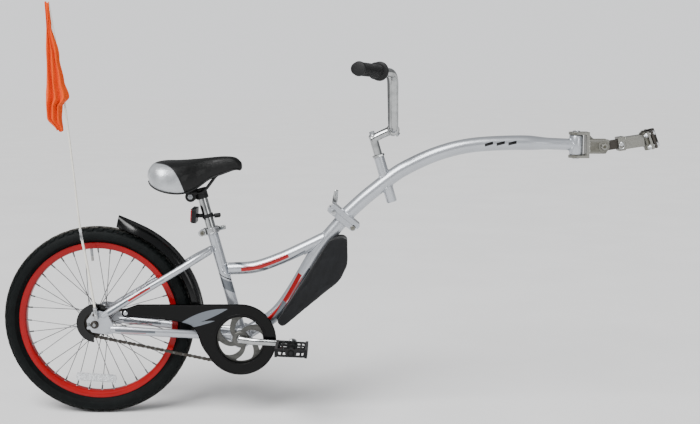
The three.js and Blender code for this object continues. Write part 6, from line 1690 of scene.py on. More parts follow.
class TRAILER_OT_hitch(bpy.types.Operator):
    """Build the hitch yoke with its pins, the drawbar, the receiver and the post clamp"""
    bl_idname = "trailer.hitch"
    bl_label = "Hitch and Clamp"

    def execute(self, context):
        outline = [(1305.7, -20), *arc((YAW.x, 0), 20, -90, -270, 19), (1305.7, 20)]
        hole = circle((YAW.x, 0, 0), 6.3, 24)
        ears, laid_flat = [], Matrix(((1, 0, 0), (0, 0, 1), (0, 1, 0))).to_4x4()
        for low, high in ((YAW.z + 27.1, YAW.z + 34.1), (YAW.z - 34.1, YAW.z - 27.1)):
            ears.append(plate(outline, low, high, [hole]).moved(laid_flat))
        ears.append(block(at(1301.7, 0, YAW.z), (7.4, 39.4, 67.6)))
        ears.append(block(at(1309.7, 0, PIVOT.z), (10, 34.6, 37.6)))
        cheek = soft_outline([(1305, 448.5), (1350, 448.5), (1357.5, 467.5), (1357.5, 486.5), (1305, 486.5)], 5)
        for low, high in ((12.6, 17.6), (-17.6, -12.6)):
            ears.append(plate(cheek, low, high, [circle(PIVOT, 5.3, 24)]))
        ears.append(plate([(1305.6, 486.4), (1320, 486.4), (1305.6, 500)], -3, 3))
        dress("yoke_plates", joined(*ears), "yoke", "zinc", ["hitch_yoke"], bevel=0.8)
        beads = [weld_bead([at(1306.4, s * 17.9, z) for z in (450, 468, 485)], 1.3, closed=False) for s in BOTH]
        beads += [weld_bead([at(1297.2, y, YAW.z + s * 26.8) for y in (-18, 0, 18)], 1.2, closed=False)
                  for s in BOTH]
        dress("yoke_welds", joined(*beads), "yoke", "zinc")

        yaw = lathe([(0, -37.3), (8, -37.3), (9.4, -36.4), (9.6, -34.4), (6, -34.4), (6, 34.4), (9.6, 34.4),
                     (9.4, 36.4), (8, 37.3), (4.4, 37.4), (4, 36.2), (0, 36)], YAW, Z, 40)
        dress("yaw_pin_turned", yaw, "yoke", "zinc", ["yaw_pin"], paint="bright_steel")
        washers = [lathe([(5.2, a), (14.5, a), (14.5, b), (5.2, b)], PIVOT, Y, 44, closed=True)
                   for a, b in ((17.9, 20.7), (-20.7, -17.9))]
        nuts = [hex_nut(PIVOT, *span(s, 20.9, 26.7), 15.6, turn=20) for s in BOTH]
        shank = cross_rod(PIVOT, -27.4, 27.4, 4.9, 24, 0.8)
        dress("pivot_bolt_and_washers", joined(*washers, *nuts, shank), "yoke", "zinc", ["pivot_bolt"],
              bevel=0.25)

        bar = block(along_tow(33), (90, 24, 24), 8.5)
        dress("drawbar_square", bar, "tow_bar", "dark_steel", ["drawbar"], bevel=1.6, segments=3)
        sleeve = [block(along_tow(73.5), (69, 31, 31), 8.5), block(along_tow(48), (18, 36, 36), 8.5)]
        mouth = [block(along_tow(39.2), (1.4, 27, 27), 8.5)]

        def jaw(side):
            y = sqrt(CLAMP_BORE ** 2 - 1.5 ** 2)
            outer = [(side * 20 * cos(a), 20 * sin(a)) for a in np.radians(np.linspace(-68, 68, 21))]
            bore = [(side * CLAMP_BORE * cos(a), CLAMP_BORE * sin(a))
                    for a in np.radians(np.linspace(83.8, -83.8, 25))]
            return [(side * 1.5, -32.5), (side * 7.5, -32.5), (side * 7.5, -22), *outer, (side * 7.5, 22),
                    (side * 7.5, 32.5), (side * 1.5, 32.5), (side * 1.5, y), *bore[1:-1], (side * 1.5, -y)]

        rear_jaw = clamp_plate(jaw(-1))
        dress("receiver_sleeve", joined(*sleeve, rear_jaw), "tow_bar", "zinc", ["receiver"], bevel=1.0,
              segments=3)
        dress("receiver_mouth", joined(*mouth), "tow_bar", "zinc", paint="dark_steel")
        ring_at = [along_tow(57, 0) + at(0, y, 0) + Z * z
                   for y, z in ((-15.8, -15.6), (-15.8, 15.6), (15.8, 15.6), (15.8, -15.6))]
        bead = [weld_bead([a, mix(a, b, 0.5), b], 1.3, closed=False)
                for a, b in zip(ring_at, ring_at[1:] + ring_at[:1])]
        dress("receiver_welds", joined(*bead), "tow_bar", "zinc")
        dress("front_jaw_cast", clamp_plate(jaw(1)), "tow_bar", "dark_steel", ["front_jaw"], bevel=1.2,
              segments=3)
        bolts = []
        for y in (-25.5, 25.5):
            for up in (-16, 16):
                bolts.append(bolt(in_clamp(8.4, y, up), POST_FRONT, 11.4, 4.2, 3.5, 24, spin=15))
                bolts.append(along_axis(lathe([(3.6, 0), (6.6, 0), (6.6, 1), (3.6, 1)], steps=24, closed=True),
                                        in_clamp(7.4, y, up), POST_FRONT))
                bolts.append(bolt(in_clamp(-7.7, y, up), -POST_FRONT, 11.4, 4.6, spin=35))
                bolts.append(rod(in_clamp(-16.8, y, up), in_clamp(-7, y, up), 3.4, 14, 0.6))
        dress("clamp_bolts", joined(*bolts), "tow_bar", "zinc", paint="bright_steel", bevel=0.25)

        place = along_tow(47)
        pin = lathe([(0, -21.3), (4.4, -21.3), (5.5, -20.4), (5.5, -18.4), (3, -18.3), (3, 19.6), (2, 21.2),
                     (0, 21.3)], place, Y, 28)
        loop = [place + at(6.6 * cos(a), -19.9, 6.6 * sin(a) - 6.4)
                for a in np.linspace(0, 2 * pi, 28, endpoint=False)]
        dress("lock_pin_turned", joined(pin, tube(loop, 0.9, 10, closed=True)), "lock_pin", "zinc",
              ["lock_pin"], paint="bright_steel")
        return {"FINISHED"}


# Seat and saddle

SEAT_BACK = at(-SEAT_AXIS.z, 0, SEAT_AXIS.x)
SEAT_EAR = SEAT_TOP + SEAT_AXIS * -3 + SEAT_BACK * 25
EAR = [(-9, -8.5), *arc((3, 0), 8.5, -90, 90, 12), (-9, 8.5)]
TILT_PLACE = SEAT_TOP + SEAT_AXIS * 100 + SEAT_BACK * 27
SADDLE_BACK, SADDLE_LONG = 142, 247
SADDLE_LOW, SADDLE_HIGH, SADDLE_HALF = 348, 95, 79
# Share of the length, then the crown's height, the half width and the skirt's height as shares.
STATIONS = np.array((
    (0, .62, .34, .4), (.05, .8, .74, .22), (.16, .88, 1, .08), (.3, .885, .98, 0), (.42, .9, .84, .01),
    (.54, .93, .58, .14), (.66, .965, .4, .36), (.82, 1, .31, .52), (.94, .96, .25, .62), (1, .82, .14, .58)))


def saddle_at(share):
    """The saddle's place along the bike, crown, half width and skirt at a share of its length."""
    places = STATIONS[:, 0]
    k = min(max(int(np.searchsorted(places, share)) - 1, 0), len(STATIONS) - 2)
    span = places[k + 1] - places[k]
    t = (share - places[k]) / span
    before, here, ahead, after = (STATIONS[min(max(k + i, 0), len(STATIONS) - 1)] for i in (-1, 0, 1, 2))
    leave = (ahead - before) / max(places[k + 1] - before[0], 1e-6) * span
    arrive = (after - here) / max(after[0] - places[k], 1e-6) * span
    crown, wide, skirt = (here * (2 * t ** 3 - 3 * t ** 2 + 1) + leave * (t ** 3 - 2 * t ** 2 + t)
                          + ahead * (-2 * t ** 3 + 3 * t ** 2) + arrive * (t ** 3 - t ** 2))[1:]
    return (SADDLE_BACK + SADDLE_LONG * share, SADDLE_LOW + SADDLE_HIGH * crown, SADDLE_HALF * wide,
            SADDLE_LOW + SADDLE_HIGH * skirt)


def saddle_section(share, inset):
    """The closed outline of the pad, hollow underneath."""
    x, crown, wide, skirt = saddle_at(share)
    half, top = wide - inset, crown - inset
    edge = min(skirt + inset / 4, top - 20)
    drops = ((0, 0), (.2, .006), (.42, .03), (.6, .07), (.76, .14), (.88, .26), (.96, .42), (1, .6), (1, .74),
             (.975, .88), (.93, .97), (.9, 1))
    outer = [(s * half, top + (edge - top) * d) for s, d in drops]
    shell, roof = max(half - 8, half / 2), max(top - 20, edge + 3.5)
    inner = [(shell * .93, edge + 0.5), (shell * .88, (edge + roof) / 2), (shell * .6, roof - 1), (0, roof)]
    right = outer + inner
    left = [(-y, z) for y, z in reversed(right)]
    return [at(x, y, z) for y, z in left[1:-1] + right]


def swollen(pad, voxel, pressure, cap, held):
    """A pad's mesh remeshed, filled out by a short cloth simulation and kept near where it began."""
    scene = bpy.context.scene
    even = pad.modifiers.new("even", "REMESH")
    even.mode, even.voxel_size = "VOXEL", voxel * MM
    bpy.context.view_layer.update()
    mesh = bpy.data.meshes.new_from_object(pad.evaluated_get(bpy.context.evaluated_depsgraph_get()))
    made = added(pad.name + "_filled", mesh)
    bpy.data.objects.remove(pad)
    rest = np.array([v.co for v in mesh.vertices])
    group = made.vertex_groups.new(name="held")
    for vertex in mesh.vertices:
        group.add([vertex.index], held((vertex.co - AXLE) / MM), "REPLACE")
    cloth = made.modifiers.new("fill", "CLOTH")
    cloth.settings.quality, cloth.settings.mass = 5, 0.3
    cloth.settings.use_pressure, cloth.settings.uniform_pressure_force = True, pressure
    cloth.settings.vertex_group_mass = "held"
    cloth.settings.effector_weights.gravity = 0
    for step in range(1, 21):
        scene.frame_set(step)
    moved = np.array([v.co for v in made.evaluated_get(bpy.context.evaluated_depsgraph_get()).data.vertices])
    shift = moved - rest
    far = np.linalg.norm(shift, axis=1, keepdims=True)
    shift *= np.minimum(1, cap * MM / np.maximum(far, 1e-9))
    made.modifiers.remove(cloth)
    mesh.vertices.foreach_set("co", (rest + shift).ravel())
    made.vertex_groups.clear()
    scene.frame_set(1)
    return made


class TRAILER_OT_seatpost(bpy.types.Operator):
    """Build the seatpost, its clamp with the skewer and lever, and the rear reflector"""
    bl_idname = "trailer.seatpost"
    bl_label = "Seatpost and Clamp"

    def execute(self, context):
        tube_of_post = lathe([(0, -150), (11.9, -150), (12.7, -149), (12.7, 106), (12.2, 109), (12.2, 111.6),
                              (0, 112)], SEAT_TOP, SEAT_AXIS, 44)
        dress("seatpost_tube", tube_of_post, "seatpost", "chrome", ["seatpost"])
        collar = lathe([(14.6, -11.5), (18.2, -11.5), (19, -10.6), (19, -8.8), (18.2, -8.2), (18.2, 2.2),
                        (19, 2.8), (19, 4.6), (18.2, 5.5), (14.6, 5.5)], SEAT_TOP, SEAT_AXIS, 56, closed=True)
        ears = [plate([(SEAT_EAR + SEAT_BACK * a + SEAT_AXIS * b).xz[:] for a, b in EAR], low, high,
                      [circle(SEAT_EAR, 3, 20)]) for low, high in ((1.3, 11), (-11, -1.3))]
        dress("seat_collar", joined(collar, *ears), "frame", "zinc", ["seat_clamp"], paint="bright_steel",
              bevel=0.6)
        aim = at(cos(radians(12)), 0, sin(radians(12)))
        dress("seat_skewer_turned", skewer(SEAT_EAR, 11, 13, 6, aim.cross(Y)), "frame", "zinc", ["seat_skewer"])
        dress("seat_lever_bowed", cam_lever(SEAT_EAR, 11, aim, 60), "seat_lever", "chrome", ["seat_lever"])

        strap_at = SEAT_TOP + SEAT_AXIS * 38
        back = at(strap_at.x - 34, 0, strap_at.z)
        strap = lathe([(13, -5), (14.6, -5), (15.1, -4.4), (15.1, 4.4), (14.6, 5), (13, 5)], strap_at,
                      SEAT_AXIS, 44, closed=True)
        stalk = [block(mix(back, strap_at, 0.36), (22, 8, 10)), block(mix(back, strap_at, 0.3), (10, 12, 5))]
        knob = lathe([(0, 0), (3.4, 0), (3.4, 5), (5.6, 5.6), (5.6, 19), (5, 21.4), (3.4, 22.4), (0, 22.6)],
                     strap_at + at(12.4, 0, 0), at(1, 0, 0.1), 28)
        grooves = [rod(strap_at + at(18, 5.5 * cos(a), 5.5 * sin(a)),
                       strap_at + at(33, 5.5 * cos(a), 5.5 * sin(a) + 1.5), 0.8, 8)
                   for a in np.radians(np.arange(0, 360, 45))]
        stand = Matrix.Rotation(radians(4), 4, "Y") @ Matrix(((0, 1, 0), (1, 0, 0), (0, 0, 1))).to_4x4()

        def box(width, height):
            return [(-width, -height), (width, -height), (width, height), (-width, height)]

        def upright_plate(width, height, low, high, *holes):
            flat = plate(soft_outline(box(width, height), 7, 5), low, high,
                         [soft_outline(box(*hole), 5, 5) for hole in holes])
            return flat.moved(Matrix.Translation(back + at(0, 0, 2)) @ stand)

        housing = [upright_plate(28, 20, -1, 6), upright_plate(28, 20, -6, -0.9, (25.6, 17.6))]
        dress("reflector_housing", joined(strap, *stalk, knob, *grooves, *housing), "seatpost", "black_plastic",
              ["post_reflector"], bevel=0.5)
        glass = upright_plate(25.4, 17.4, -9, -0.8)
        dress("rear_lens", glass, "seatpost", "red_plastic", bevel=0.6)
        return {"FINISHED"}


class TRAILER_OT_saddle(bpy.types.Operator):
    """Build the padded saddle, its shell, rails and tilting clamp"""
    bl_idname = "trailer.saddle"
    bl_label = "Saddle"

    def execute(self, context):
        shares = np.concatenate([[0, 0.012], np.linspace(0.03, 0.97, 44), [0.988, 1]])
        pad = mesh_of("saddle_pad", grid([saddle_section(s, 1.6) for s in shares]), [])
        pad.data.shade_smooth()

        def held(p):
            crown, wide, skirt = saddle_at(min(max((p.x - SADDLE_BACK) / SADDLE_LONG, 0), 1))[1:]
            return float(p.z < skirt + 7 or (abs(p.y) < wide - 14 and p.z < crown - 15))

        cover = swollen(pad, 4, 4, 4.5, held)
        cover.name = "saddle_cover_padded"
        cover.data.materials.append(finish("saddle_skin"))
        cover.data.shade_smooth()
        finer = cover.modifiers.new("finer", "SUBSURF")
        finer.levels = finer.render_levels = 1
        dress("saddle_cover_padded", cover, "saddle", "saddle_skin", ["saddle_cover"])

        piping = []
        for side in BOTH:
            stations = [saddle_at(share) for share in np.linspace(0.02, 0.985, 60)]
            run = [at(x, side * (wide - 1.2) * 0.93, min(skirt, crown - 20) + 1)
                   for x, crown, wide, skirt in stations]
            piping.append(tube(curve(run, 120), 1.9, 10, end_round=0.8))
        dress("saddle_piping", joined(*piping), "saddle", "saddle_skin", paint="black_plastic")

        base_rows = []
        for x, crown, wide, skirt in (saddle_at(share) for share in np.linspace(0.04, 0.96, 30)):
            top = max(crown - 21.5, skirt + 3)
            half = max(wide - 10, wide * 18 / SADDLE_HALF)
            edge = min(skirt + 2, top - 2)
            turns = np.linspace(-pi / 2, pi / 2, 17)
            outer = [(half * sin(a), edge + (top - edge) * cos(a)) for a in turns]
            inner = [(y * 0.93, z - 3.6) for y, z in reversed(outer)]
            base_rows.append([at(x, y, z) for y, z in outer + inner])
        dress("saddle_shell_moulded", grid(base_rows), "saddle", "black_plastic", ["saddle_base"])

        wires = []
        for side in BOTH:
            corners = [at(x, side * y, z) for x, z, y in (
                (192, 379, 42), (226, 347, 22), (286, 345, 21), (322, 393, 16.5), (350, 402, 9))]
            wires.append(tube(rounded(corners, 16, 10), 3.5, 20, end_round=0.8))
        discs = [lathe([(4.3, 11.4), (12.6, 11.4), (14.4, 12.6), (14.4, 20.4), (13.4, 22), (4.3, 22)],
                       TILT_PLACE, Y * s, 44, closed=True) for s in BOTH]
        ribs = [block(TILT_PLACE + at(14.1 * cos(a), s * 16.6, 14.1 * sin(a)), (1.4, 7.4, 1.4), math.degrees(a))
                for s in BOTH for a in np.radians(np.arange(0, 360, 15))]
        hooks = [block(at(256, s * 21.6, 344.6), (30, 5.4, 9.4), 0) for s in BOTH]
        dress("saddle_rails_bent", joined(*wires), "saddle", "dark_steel", ["saddle_rails"],
              paint="black_plastic")
        dress("saddle_tilt_discs", joined(*discs, *ribs, *hooks), "saddle", "dark_steel", paint="black_plastic",
              bevel=0.3)
        bolt_of = [hex_nut(TILT_PLACE, *span(s, 22.2, 27.2), 12.6) for s in BOTH]
        dress("saddle_tilt_bolt", joined(*bolt_of, cross_rod(TILT_PLACE, -27.9, 27.9, 3.9, 20)), "saddle",
              "dark_steel", paint="grey_steel", bevel=0.25)

        band = lathe([(12.9, 86), (15.6, 86), (16.5, 87), (16.5, 112.5), (15.4, 113.8), (12.9, 113.8)],
                     SEAT_TOP, SEAT_AXIS, 48, closed=True)
        lug = lathe([(4.2, -11), (13.6, -11), (14.5, -10), (14.5, 10), (13.6, 11), (4.2, 11)], TILT_PLACE, Y,
                    44, closed=True)
        neck = tube([TILT_PLACE, SEAT_TOP + SEAT_AXIS * 100 + SEAT_BACK * 13], (11, 9.6), 24)
        teeth = [block(TILT_PLACE + at(14.1 * cos(a), 0, 14.1 * sin(a)), (1.2, 18, 1.2), math.degrees(a))
                 for a in np.radians(np.arange(90, 330, 15))]
        dress("saddle_clamp_cast", joined(band, lug, neck, *teeth), "seatpost", "dark_steel", ["saddle_clamp"],
              paint="black_plastic")
        return {"FINISHED"}


# Fender, guards, flag and bag

FLAG_RUN = ((6.6, 22), (-14.4, 168), (-27.6, 250), (-42, 414), (-55, 553), (-70.6, 697), (-91.5, 841))
FLAG_Y, FLAG_GAP = -68.3, 3.2
# Height, then the cloth's left and right edges and the depth of its folds there.
FLAG_ROWS = ((838, -99, -89, 2), (780, -98, -84, 6), (700, -99, -66, 12), (640, -101, -56, 17),
             (598, -103, -45, 20), (575, -104, -62, 18), (545, -104, -64, 15), (512, -80, -62, 8))
# Share of the width, and how far the cloth stands out there.
FLAG_FOLDS = ((0, 0.1), (0.15, 0.95), (0.3, 0.1), (0.47, 1), (0.64, 0.15), (0.82, 0.9), (1, 0))
# Corners of the bag's side outline, along and up in millimetres from the axle.
BAG_OUTLINE = ((478, -2), (493.2, -15), (560, 40), (648.7, 112.8), (668, 155), (668, 219.7), (656, 228),
               (625, 226))


def eased(table, share):
    """A smooth value from a table whose first column runs upwards."""
    places = [row[0] for row in table]
    k = min(max(int(np.searchsorted(places, share)) - 1, 0), len(table) - 2)
    t = smooth_step((share - places[k]) / (places[k + 1] - places[k]), 0, 1)
    return np.array(table[k][1:]) * (1 - t) + np.array(table[k + 1][1:]) * t


class TRAILER_OT_fender(bpy.types.Operator):
    """Build the crowned fender with its flared tail and its bolt at the bridge"""
    bl_idname = "trailer.fender"
    bl_label = "Fender"

    def execute(self, context):
        w = sizes(context.scene.trailer_wheel)
        half, rows = w.fender_width / 2, []
        for share in np.linspace(0, 1, 90):
            tail = min(max((share - 0.82) / 0.18, 0), 1)
            narrow, depth = 1 - tail * tail * 0.72, 23 * (1 + tail * tail * 0.25)
            across = ((0, 0), (.12, .003), (.14, -.05), (.2, -.05), (.22, .012), (.5, .07), (.7, .18),
                      (.83, .34), (.93, .6), (1, 1))
            outer = [(a * half * narrow, -d * depth) for a, d in across]
            inner = [(y * (1 - 2 / half), r - 2) for y, r in reversed(outer)]
            section = outer + inner
            loop = [(-y, r) for y, r in reversed(section)][1:-1] + section
            rows.append([on_circle(w.fender + 7 * tail * tail + r, mix(-1, 78.2, share), y) for y, r in loop])
        dress("fender_crowned", grid(rows), "frame", "black_gloss", ["fender"])
        middle = bridge_place()
        middle.y = 0
        inward = -middle.normalized()
        washer = lathe([(0, 0), (8, 0), (8, 1.2), (0, 1.2)], steps=28)
        parts = [bolt(middle + inward * 8.6, inward, 9.4, 4), along_axis(washer, middle + inward * 8.4, inward),
                 bolt(middle - inward * 6, -inward, 9.4, 4)]
        dress("fender_bolt", joined(*parts), "frame", "zinc", paint="bright_steel")
        return {"FINISHED"}


class TRAILER_OT_guards(bpy.types.Operator):
    """Build the chainguard with its window and sweeps, and the rear chain cover"""
    bl_idname = "trailer.guards"
    bl_label = "Chainguard and Cover"

    def execute(self, context):
        disc = [on_circle(95.5, a, 0, CRANK) for a in np.linspace(222, 450, 64)]
        rear = [on_circle(10.5, a, 0, at(80, 0, 29)) for a in np.linspace(105, 262, 20)]
        lower = curve([at(x, 0, z) for x, z in ((82, 18.4), (190.5, 9.9), (227, 3), (256.6, -8), (269, -26),
                                                (280.5, -60.6), (311, -107))], 40)[6:-5]
        outline = side_view([*disc, at(112, 0, CRANK.z + 95.5), *rear, *lower])
        window = circle(CRANK, 62.5, 72)

        def inset(points, wall):
            found = []
            for k, (x, z) in enumerate(points):
                (px, pz), (nx, nz) = points[k - 1], points[(k + 1) % len(points)]
                side = Vector((nx - px, nz - pz)).normalized()
                found.append((x - side.y * wall, z + side.x * wall))
            return found

        face = plate(outline, -52, -50.3, [window])
        wall = plate(outline, -52, -45.6, [inset(outline, 1.7)])
        sill = lathe([(62.5, -52), (64.2, -52), (64.2, -45.6), (62.5, -45.6)], CRANK, Y, 72, closed=True)
        lip = plate(inset(outline, 3.2), -52.5, -51.8, [inset(outline, 5.2)])
        ring_lip = lathe([(66, -51.9), (66.5, -52.5), (69.5, -52.5), (70, -51.9)], CRANK, Y, 96)
        dress("chainguard_moulded", joined(face, wall, sill, lip, ring_lip), "frame", "black_gloss",
              ["chainguard"], paint="guard_gloss", bevel=0.4)
        head = lathe([(0, 0), (6, 0), (5.6, 1.2), (4, 2.2), (2, 2.5), (0, 2.5)], steps=32)
        screw = [along_axis(head, at(80, -52, 29), -Y), block(at(80, -54.4, 29), (7.4, 0.5, 1.2), 25),
                 block(at(80, -54.4, 29), (1.2, 0.5, 7.4), 25)]
        dress("guard_screw", joined(*screw), "frame", "zinc", paint="bright_steel")

        def sector(inner, outer, start, end, low, high):
            out = [on_circle(outer, a) for a in np.linspace(start, end, 60)]
            back = [on_circle(inner, a) for a in np.linspace(end, start, 60)]
            return plate(side_view(out + back), low, high)

        foot = on_circle(36, 50)
        shield = joined(sector(31, 51.5, 42, 262, -48.4, -46.8), sector(49.9, 51.5, 60, 262, -48.4, -35.4),
                        sector(31, 32.6, 46, 262, -49.2, -46.8), cross_rod(foot, -58, -47.6, 3.5, 24))
        dress("rear_cover_moulded", shield, "frame", "black_gloss", ["rear_chain_cover"], bevel=0.4)
        return {"FINISHED"}


class TRAILER_OT_flag(bpy.types.Operator):
    """Build the flag's bracket, its two-part pole and the limp pennant"""
    bl_idname = "trailer.flag"
    bl_label = "Safety Flag"

    def execute(self, context):
        count = 200
        path = curve([at(x, FLAG_Y, z) for x, z in FLAG_RUN], count)
        up = (path[1] - path[0]).normalized()
        tab = [along_axis(lathe([(0, 0), (8.5, 0), (8.5, 3), (0, 3)], steps=36), at(0, -64.3, 27), Y),
               bolt(at(0, -64.6, 27), -Y, 8.2, 3.4, 2.4, 9).toned(1)]
        socket = lathe([(0, -6.5), (4.6, -6.5), (5.5, -5.6), (5.5, 24.6), (5.1, 25.8), (3.5, 26), (3.5, 0.4),
                        (0, 0.4)], path[0], up, 32)
        clamp = [lathe([(5.2, d), (6.1, d + 0.4), (6.1, d + 2.4), (5.2, d + 2.8)], path[0], up, 32)
                 for d in (3, 20)]
        dress("flag_bracket_clip", joined(*tab, socket, *clamp), "frame", "zinc", ["flag_bracket"],
              paint=[finish("bright_steel"), finish("dark_steel")], bevel=0.3)
        split = int(count * 0.27)
        joint = path[split]
        rise = (path[split + 1] - path[split - 1]).normalized()
        dress("flag_pole_foot", tube(path[:split + 1], 3.2, 20, end_round=0.5), "frame", "pole_plastic",
              ["flag_pole_lower"])
        ferrule = lathe([(2.7, 15), (4, 15), (4.5, 14.4), (4.5, 6), (4.2, 5.4), (4.2, -5.4), (4.5, -6),
                         (4.5, -14.4), (4, -15), (3, -15)], joint, rise, 28)
        dress("flag_pole_ferrule", ferrule, "frame", "zinc", paint="bright_steel")
        dress("flag_pole_top", tube(path[split:], 2.5, 18, end_round=0.8), "frame", "pole_plastic",
              ["flag_pole_upper"])

        near, cloth_rows = FLAG_Y - FLAG_GAP, []
        for z in np.linspace(FLAG_ROWS[-1][0], FLAG_ROWS[0][0], 110):
            left, right, depth = eased(FLAG_ROWS[::-1], z)
            line = []
            for u in np.linspace(0, 1, 61):
                pleat = eased(FLAG_FOLDS, u)[0]
                drift = 0.5 + 0.5 * sin(z * 0.021 + u * 5)
                line.append(at(left + (right - left) * u + 0.8 * sin(z * 0.05 + u * 9),
                               near - depth * (pleat * 0.9 + 0.1 * drift) - 0.6 * abs(sin(z * 0.11 + u * 14)),
                               z + 2.5 * sin(u * 7)))
            cloth_rows.append(line)
        cloth = mesh_of("flag_pennant", sheet_grid(cloth_rows), [finish("flag_cloth")], crease=80)
        ruled = cloth.data.uv_layers.new(name="cloth")
        wide = len(cloth_rows[0])
        for polygon in cloth.data.polygons:
            for loop in polygon.loop_indices:
                vertex = cloth.data.loops[loop].vertex_index
                ruled.data[loop].uv = ((vertex % wide) / wide * 0.12,
                                       (vertex // wide) / len(cloth_rows) * 0.326)
        thick = cloth.modifiers.new("thickness", "SOLIDIFY")
        thick.thickness, thick.offset = 0.0005, 0
        dress("flag_pennant", cloth, "frame", "flag_cloth", ["flag"])
        return {"FINISHED"}


class TRAILER_OT_bag(bpy.types.Operator):
    """Build the sagging fabric bag with its piping"""
    bl_idname = "trailer.bag"
    bl_label = "Frame Bag"

    def execute(self, context):
        outline = [Vector((x, 0, z)) for x, z in soft_outline(BAG_OUTLINE, 13, 6)]
        outline = curve(outline + [outline[0]], 150)[:-1]
        centre = sum(outline, ORIGIN) / len(outline)
        along = at(625 - 478, 0, 226 + 2).normalized()
        out = at(along.z, 0, -along.x)
        half, rows = 33, []

        def wrinkle(p, y):
            a, b = (p - centre).dot(along), (p - centre).dot(out)
            return (1.1 * sin(a * 0.09 + 0.6 * sin(b * 0.13)) + 0.7 * sin(a * 0.21 + y * 0.11)
                    + 0.5 * sin(b * 0.3 + a * 0.05))

        for t in np.linspace(-1, 1, 61):
            y = half * sin(t * pi / 2)
            edge = max(0.0, (abs(t) - 0.62) / 0.38)
            pull = 11 * (1 - sqrt(max(1 - edge * edge, 0)))
            row = []
            for p in outline:
                inward = (centre - p).normalized()
                sag = 2.4 * (1 - t * t) * max(0.0, (p - centre).dot(out)) / 60
                row.append(p + inward * pull + out * sag * 0.4 + at(0, y * 0.985, 0)
                           - inward * wrinkle(p, y) * 0.35 * (1 - edge))
            rows.append(row)
        lid = []
        for sign, row in ((-1, rows[0]), (1, rows[-1])):
            rings = [row]
            for share in np.linspace(0.12, 0.96, 18):
                ring_row = []
                for p in row:
                    q = mix(p, at(centre.x, p.y, centre.z), share)
                    flat = at(q.x, 0, q.z)
                    puff = (-1.6 + 1.6 * sin(pi * min(share * 1.3, 1) / 2)
                            + 0.75 * wrinkle(flat, sign * half) * smooth_step(share, 0, 0.25))
                    ring_row.append(at(q.x, sign * (32.3 + min(puff, 0.9)), q.z))
                rings.append(ring_row)
            lid.append(rings)
        body = grid(lid[0][::-1] + rows[1:-1] + lid[1])
        bag = mesh_of("bag_body", body, [finish("bag_fabric")], crease=70)
        cloth = bag.data.uv_layers.new(name="cloth")
        for polygon in bag.data.polygons:
            flat_side = abs(polygon.normal.y) > 0.7
            for loop in polygon.loop_indices:
                p = bag.data.vertices[bag.data.loops[loop].vertex_index].co - AXLE
                u, v = p.dot(along), p.dot(out)
                if not flat_side:
                    u, v = (u if abs(polygon.normal.dot(out)) > 0.6 else v), p.y
                cloth.data[loop].uv = u, v
        dress("bag_body", bag, "frame", "bag_fabric", ["bag"])
        trims = []
        for sign in BOTH:
            rim = [p + (centre - p).normalized() * 3.6 + at(0, sign * 31.2, 0) for p in outline]
            trims.append(tube(rim, 1.5, 8, closed=True))
        dress("bag_piping", joined(*trims), "frame", "bag_fabric", paint="black_plastic")
        return {"FINISHED"}


# Studio

# The camera's place and aim in millimetres from the axle, and its lens.
EYE, AIM, LENS = (662, -2900, 671), (675, 0, 292), 56.4


class TRAILER_OT_kept_solids(bpy.types.Operator):
    """Give the solids that stay as they are their own finish"""
    bl_idname = "trailer.kept_solids"
    bl_label = "Kept Solids"

    def execute(self, context):
        node = frame["nodes"]["inner_tube"]
        for slot in node.material_slots:
            slot.material = finish("tube_rubber")
        return {"FINISHED"}


class TRAILER_OT_stage(bpy.types.Operator):
    """Set up the pale floor, the soft lights and the camera"""
    bl_idname = "trailer.stage"
    bl_label = "Studio"

    def execute(self, context):
        scene = context.scene
        ground = AXLE.z - context.scene.trailer_wheel.radius
        corners = [[at(AXLE.x + x, y, ground) for x in (-30, 0, 30)] for y in (-30, 0, 30)]
        floor = mesh_of("studio_floor", sheet_grid(corners), [], placed=False)
        if floor.data.polygons[0].normal.z < 0:
            floor.data.flip_normals()
        p = Paint("studio_paper", Roughness=0.92)
        p.set(Base_Color=p.mix(p.noise(400, 3).between(0.3, 0.7), (0.82, 0.82, 0.82, 1), (0.85, 0.85, 0.85, 1)))
        floor.data.materials.append(p.material)

        world = bpy.data.worlds.new("soft_daylight")
        world.use_nodes = True
        tree = world.node_tree
        seen = tree.nodes.new("ShaderNodeMapRange")
        seen.inputs["To Min"].default_value, seen.inputs["To Max"].default_value = 0.34, 1.2
        tree.links.new(tree.nodes.new("ShaderNodeLightPath").outputs["Is Camera Ray"], seen.inputs["Value"])
        background = tree.nodes["Background"]
        background.inputs["Color"].default_value = (0.97, 0.98, 1.0, 1)
        tree.links.new(seen.outputs["Result"], background.inputs["Strength"])
        scene.world = world

        aim = AXLE + Vector((0.62, 0, 0.12))
        for label, kind, place, size, power in (("sun", "SUN", (-0.6, -1.7, 2.6), 0.75, 4.5),
                                                ("key", "AREA", (-0.7, -2.4, 2.6), 1.5, 34),
                                                ("fill", "AREA", (2.6, -2.3, 1.0), 1.2, 12)):
            light = bpy.data.lights.new(label + "_light", kind)
            light.energy = power
            if kind == "SUN":
                light.angle = size
            else:
                light.shape, light.size = "DISK", size
            lamp = bpy.data.objects.new(label + "_light", light)
            lamp.location = AXLE + Vector(place)
            lamp.rotation_euler = (aim - lamp.location).to_track_quat("-Z", "Y").to_euler()
            scene.collection.objects.link(lamp)

        view = bpy.data.cameras.new("photo_view")
        view.sensor_width, view.lens = 36, LENS
        camera = bpy.data.objects.new("photo_view", view)
        camera.location = in_metres(EYE)
        camera.rotation_euler = (in_metres(AIM) - camera.location).to_track_quat("-Z", "Y").to_euler()
        scene.collection.objects.link(camera)
        scene.camera = camera
        return {"FINISHED"}


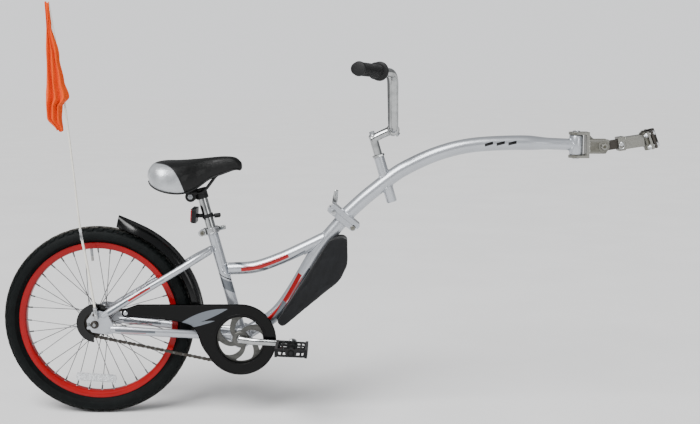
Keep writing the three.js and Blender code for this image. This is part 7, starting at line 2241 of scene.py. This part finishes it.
GROUPS = {"trailer_wheel": TRAILER_PG_wheel, "trailer_drive": TRAILER_PG_drive,
          "trailer_frame": TRAILER_PG_frame, "trailer_colours": TRAILER_PG_colours}
OPERATORS = (TRAILER_OT_stage, TRAILER_OT_kept_solids, TRAILER_OT_tyre, TRAILER_OT_rim, TRAILER_OT_hub,
             TRAILER_OT_axle, TRAILER_OT_sprocket, TRAILER_OT_chain, TRAILER_OT_cranks, TRAILER_OT_pedals,
             TRAILER_OT_main_tubes, TRAILER_OT_stays, TRAILER_OT_fold, TRAILER_OT_beam, TRAILER_OT_steering,
             TRAILER_OT_hitch, TRAILER_OT_seatpost, TRAILER_OT_saddle, TRAILER_OT_fender, TRAILER_OT_guards,
             TRAILER_OT_flag, TRAILER_OT_bag)


class TRAILER_PT_builder(bpy.types.Panel):
    """Sizes, colours and the steps that build the trailer bike"""
    bl_idname = "TRAILER_PT_builder"
    bl_label = "Trailer Bike"
    bl_space_type = "VIEW_3D"
    bl_region_type = "UI"
    bl_category = "Trailer Bike"

    def draw(self, context):
        for operator in OPERATORS:
            self.layout.operator(operator.bl_idname)
        for label in GROUPS:
            group = getattr(context.scene, label)
            box = self.layout.box()
            for key in group.bl_rna.properties.keys():
                if key not in ("rna_type", "name"):
                    box.prop(group, key)


def register():
    for group in GROUPS.values():
        bpy.utils.register_class(group)
    for label, group in GROUPS.items():
        setattr(bpy.types.Scene, label, bpy.props.PointerProperty(type=group))
    for operator in OPERATORS:
        bpy.utils.register_class(operator)
    bpy.utils.register_class(TRAILER_PT_builder)


def unregister():
    bpy.utils.unregister_class(TRAILER_PT_builder)
    for operator in reversed(OPERATORS):
        bpy.utils.unregister_class(operator)
    for label, group in GROUPS.items():
        delattr(bpy.types.Scene, label)
        bpy.utils.unregister_class(group)


def main():
    register()
    for operator in OPERATORS:
        group, step = operator.bl_idname.split(".")
        result = getattr(getattr(bpy.ops, group), step)()
        if "FINISHED" not in result:
            raise RuntimeError(f"{operator.bl_label} was not built")


if __name__ == "__main__":
    main()
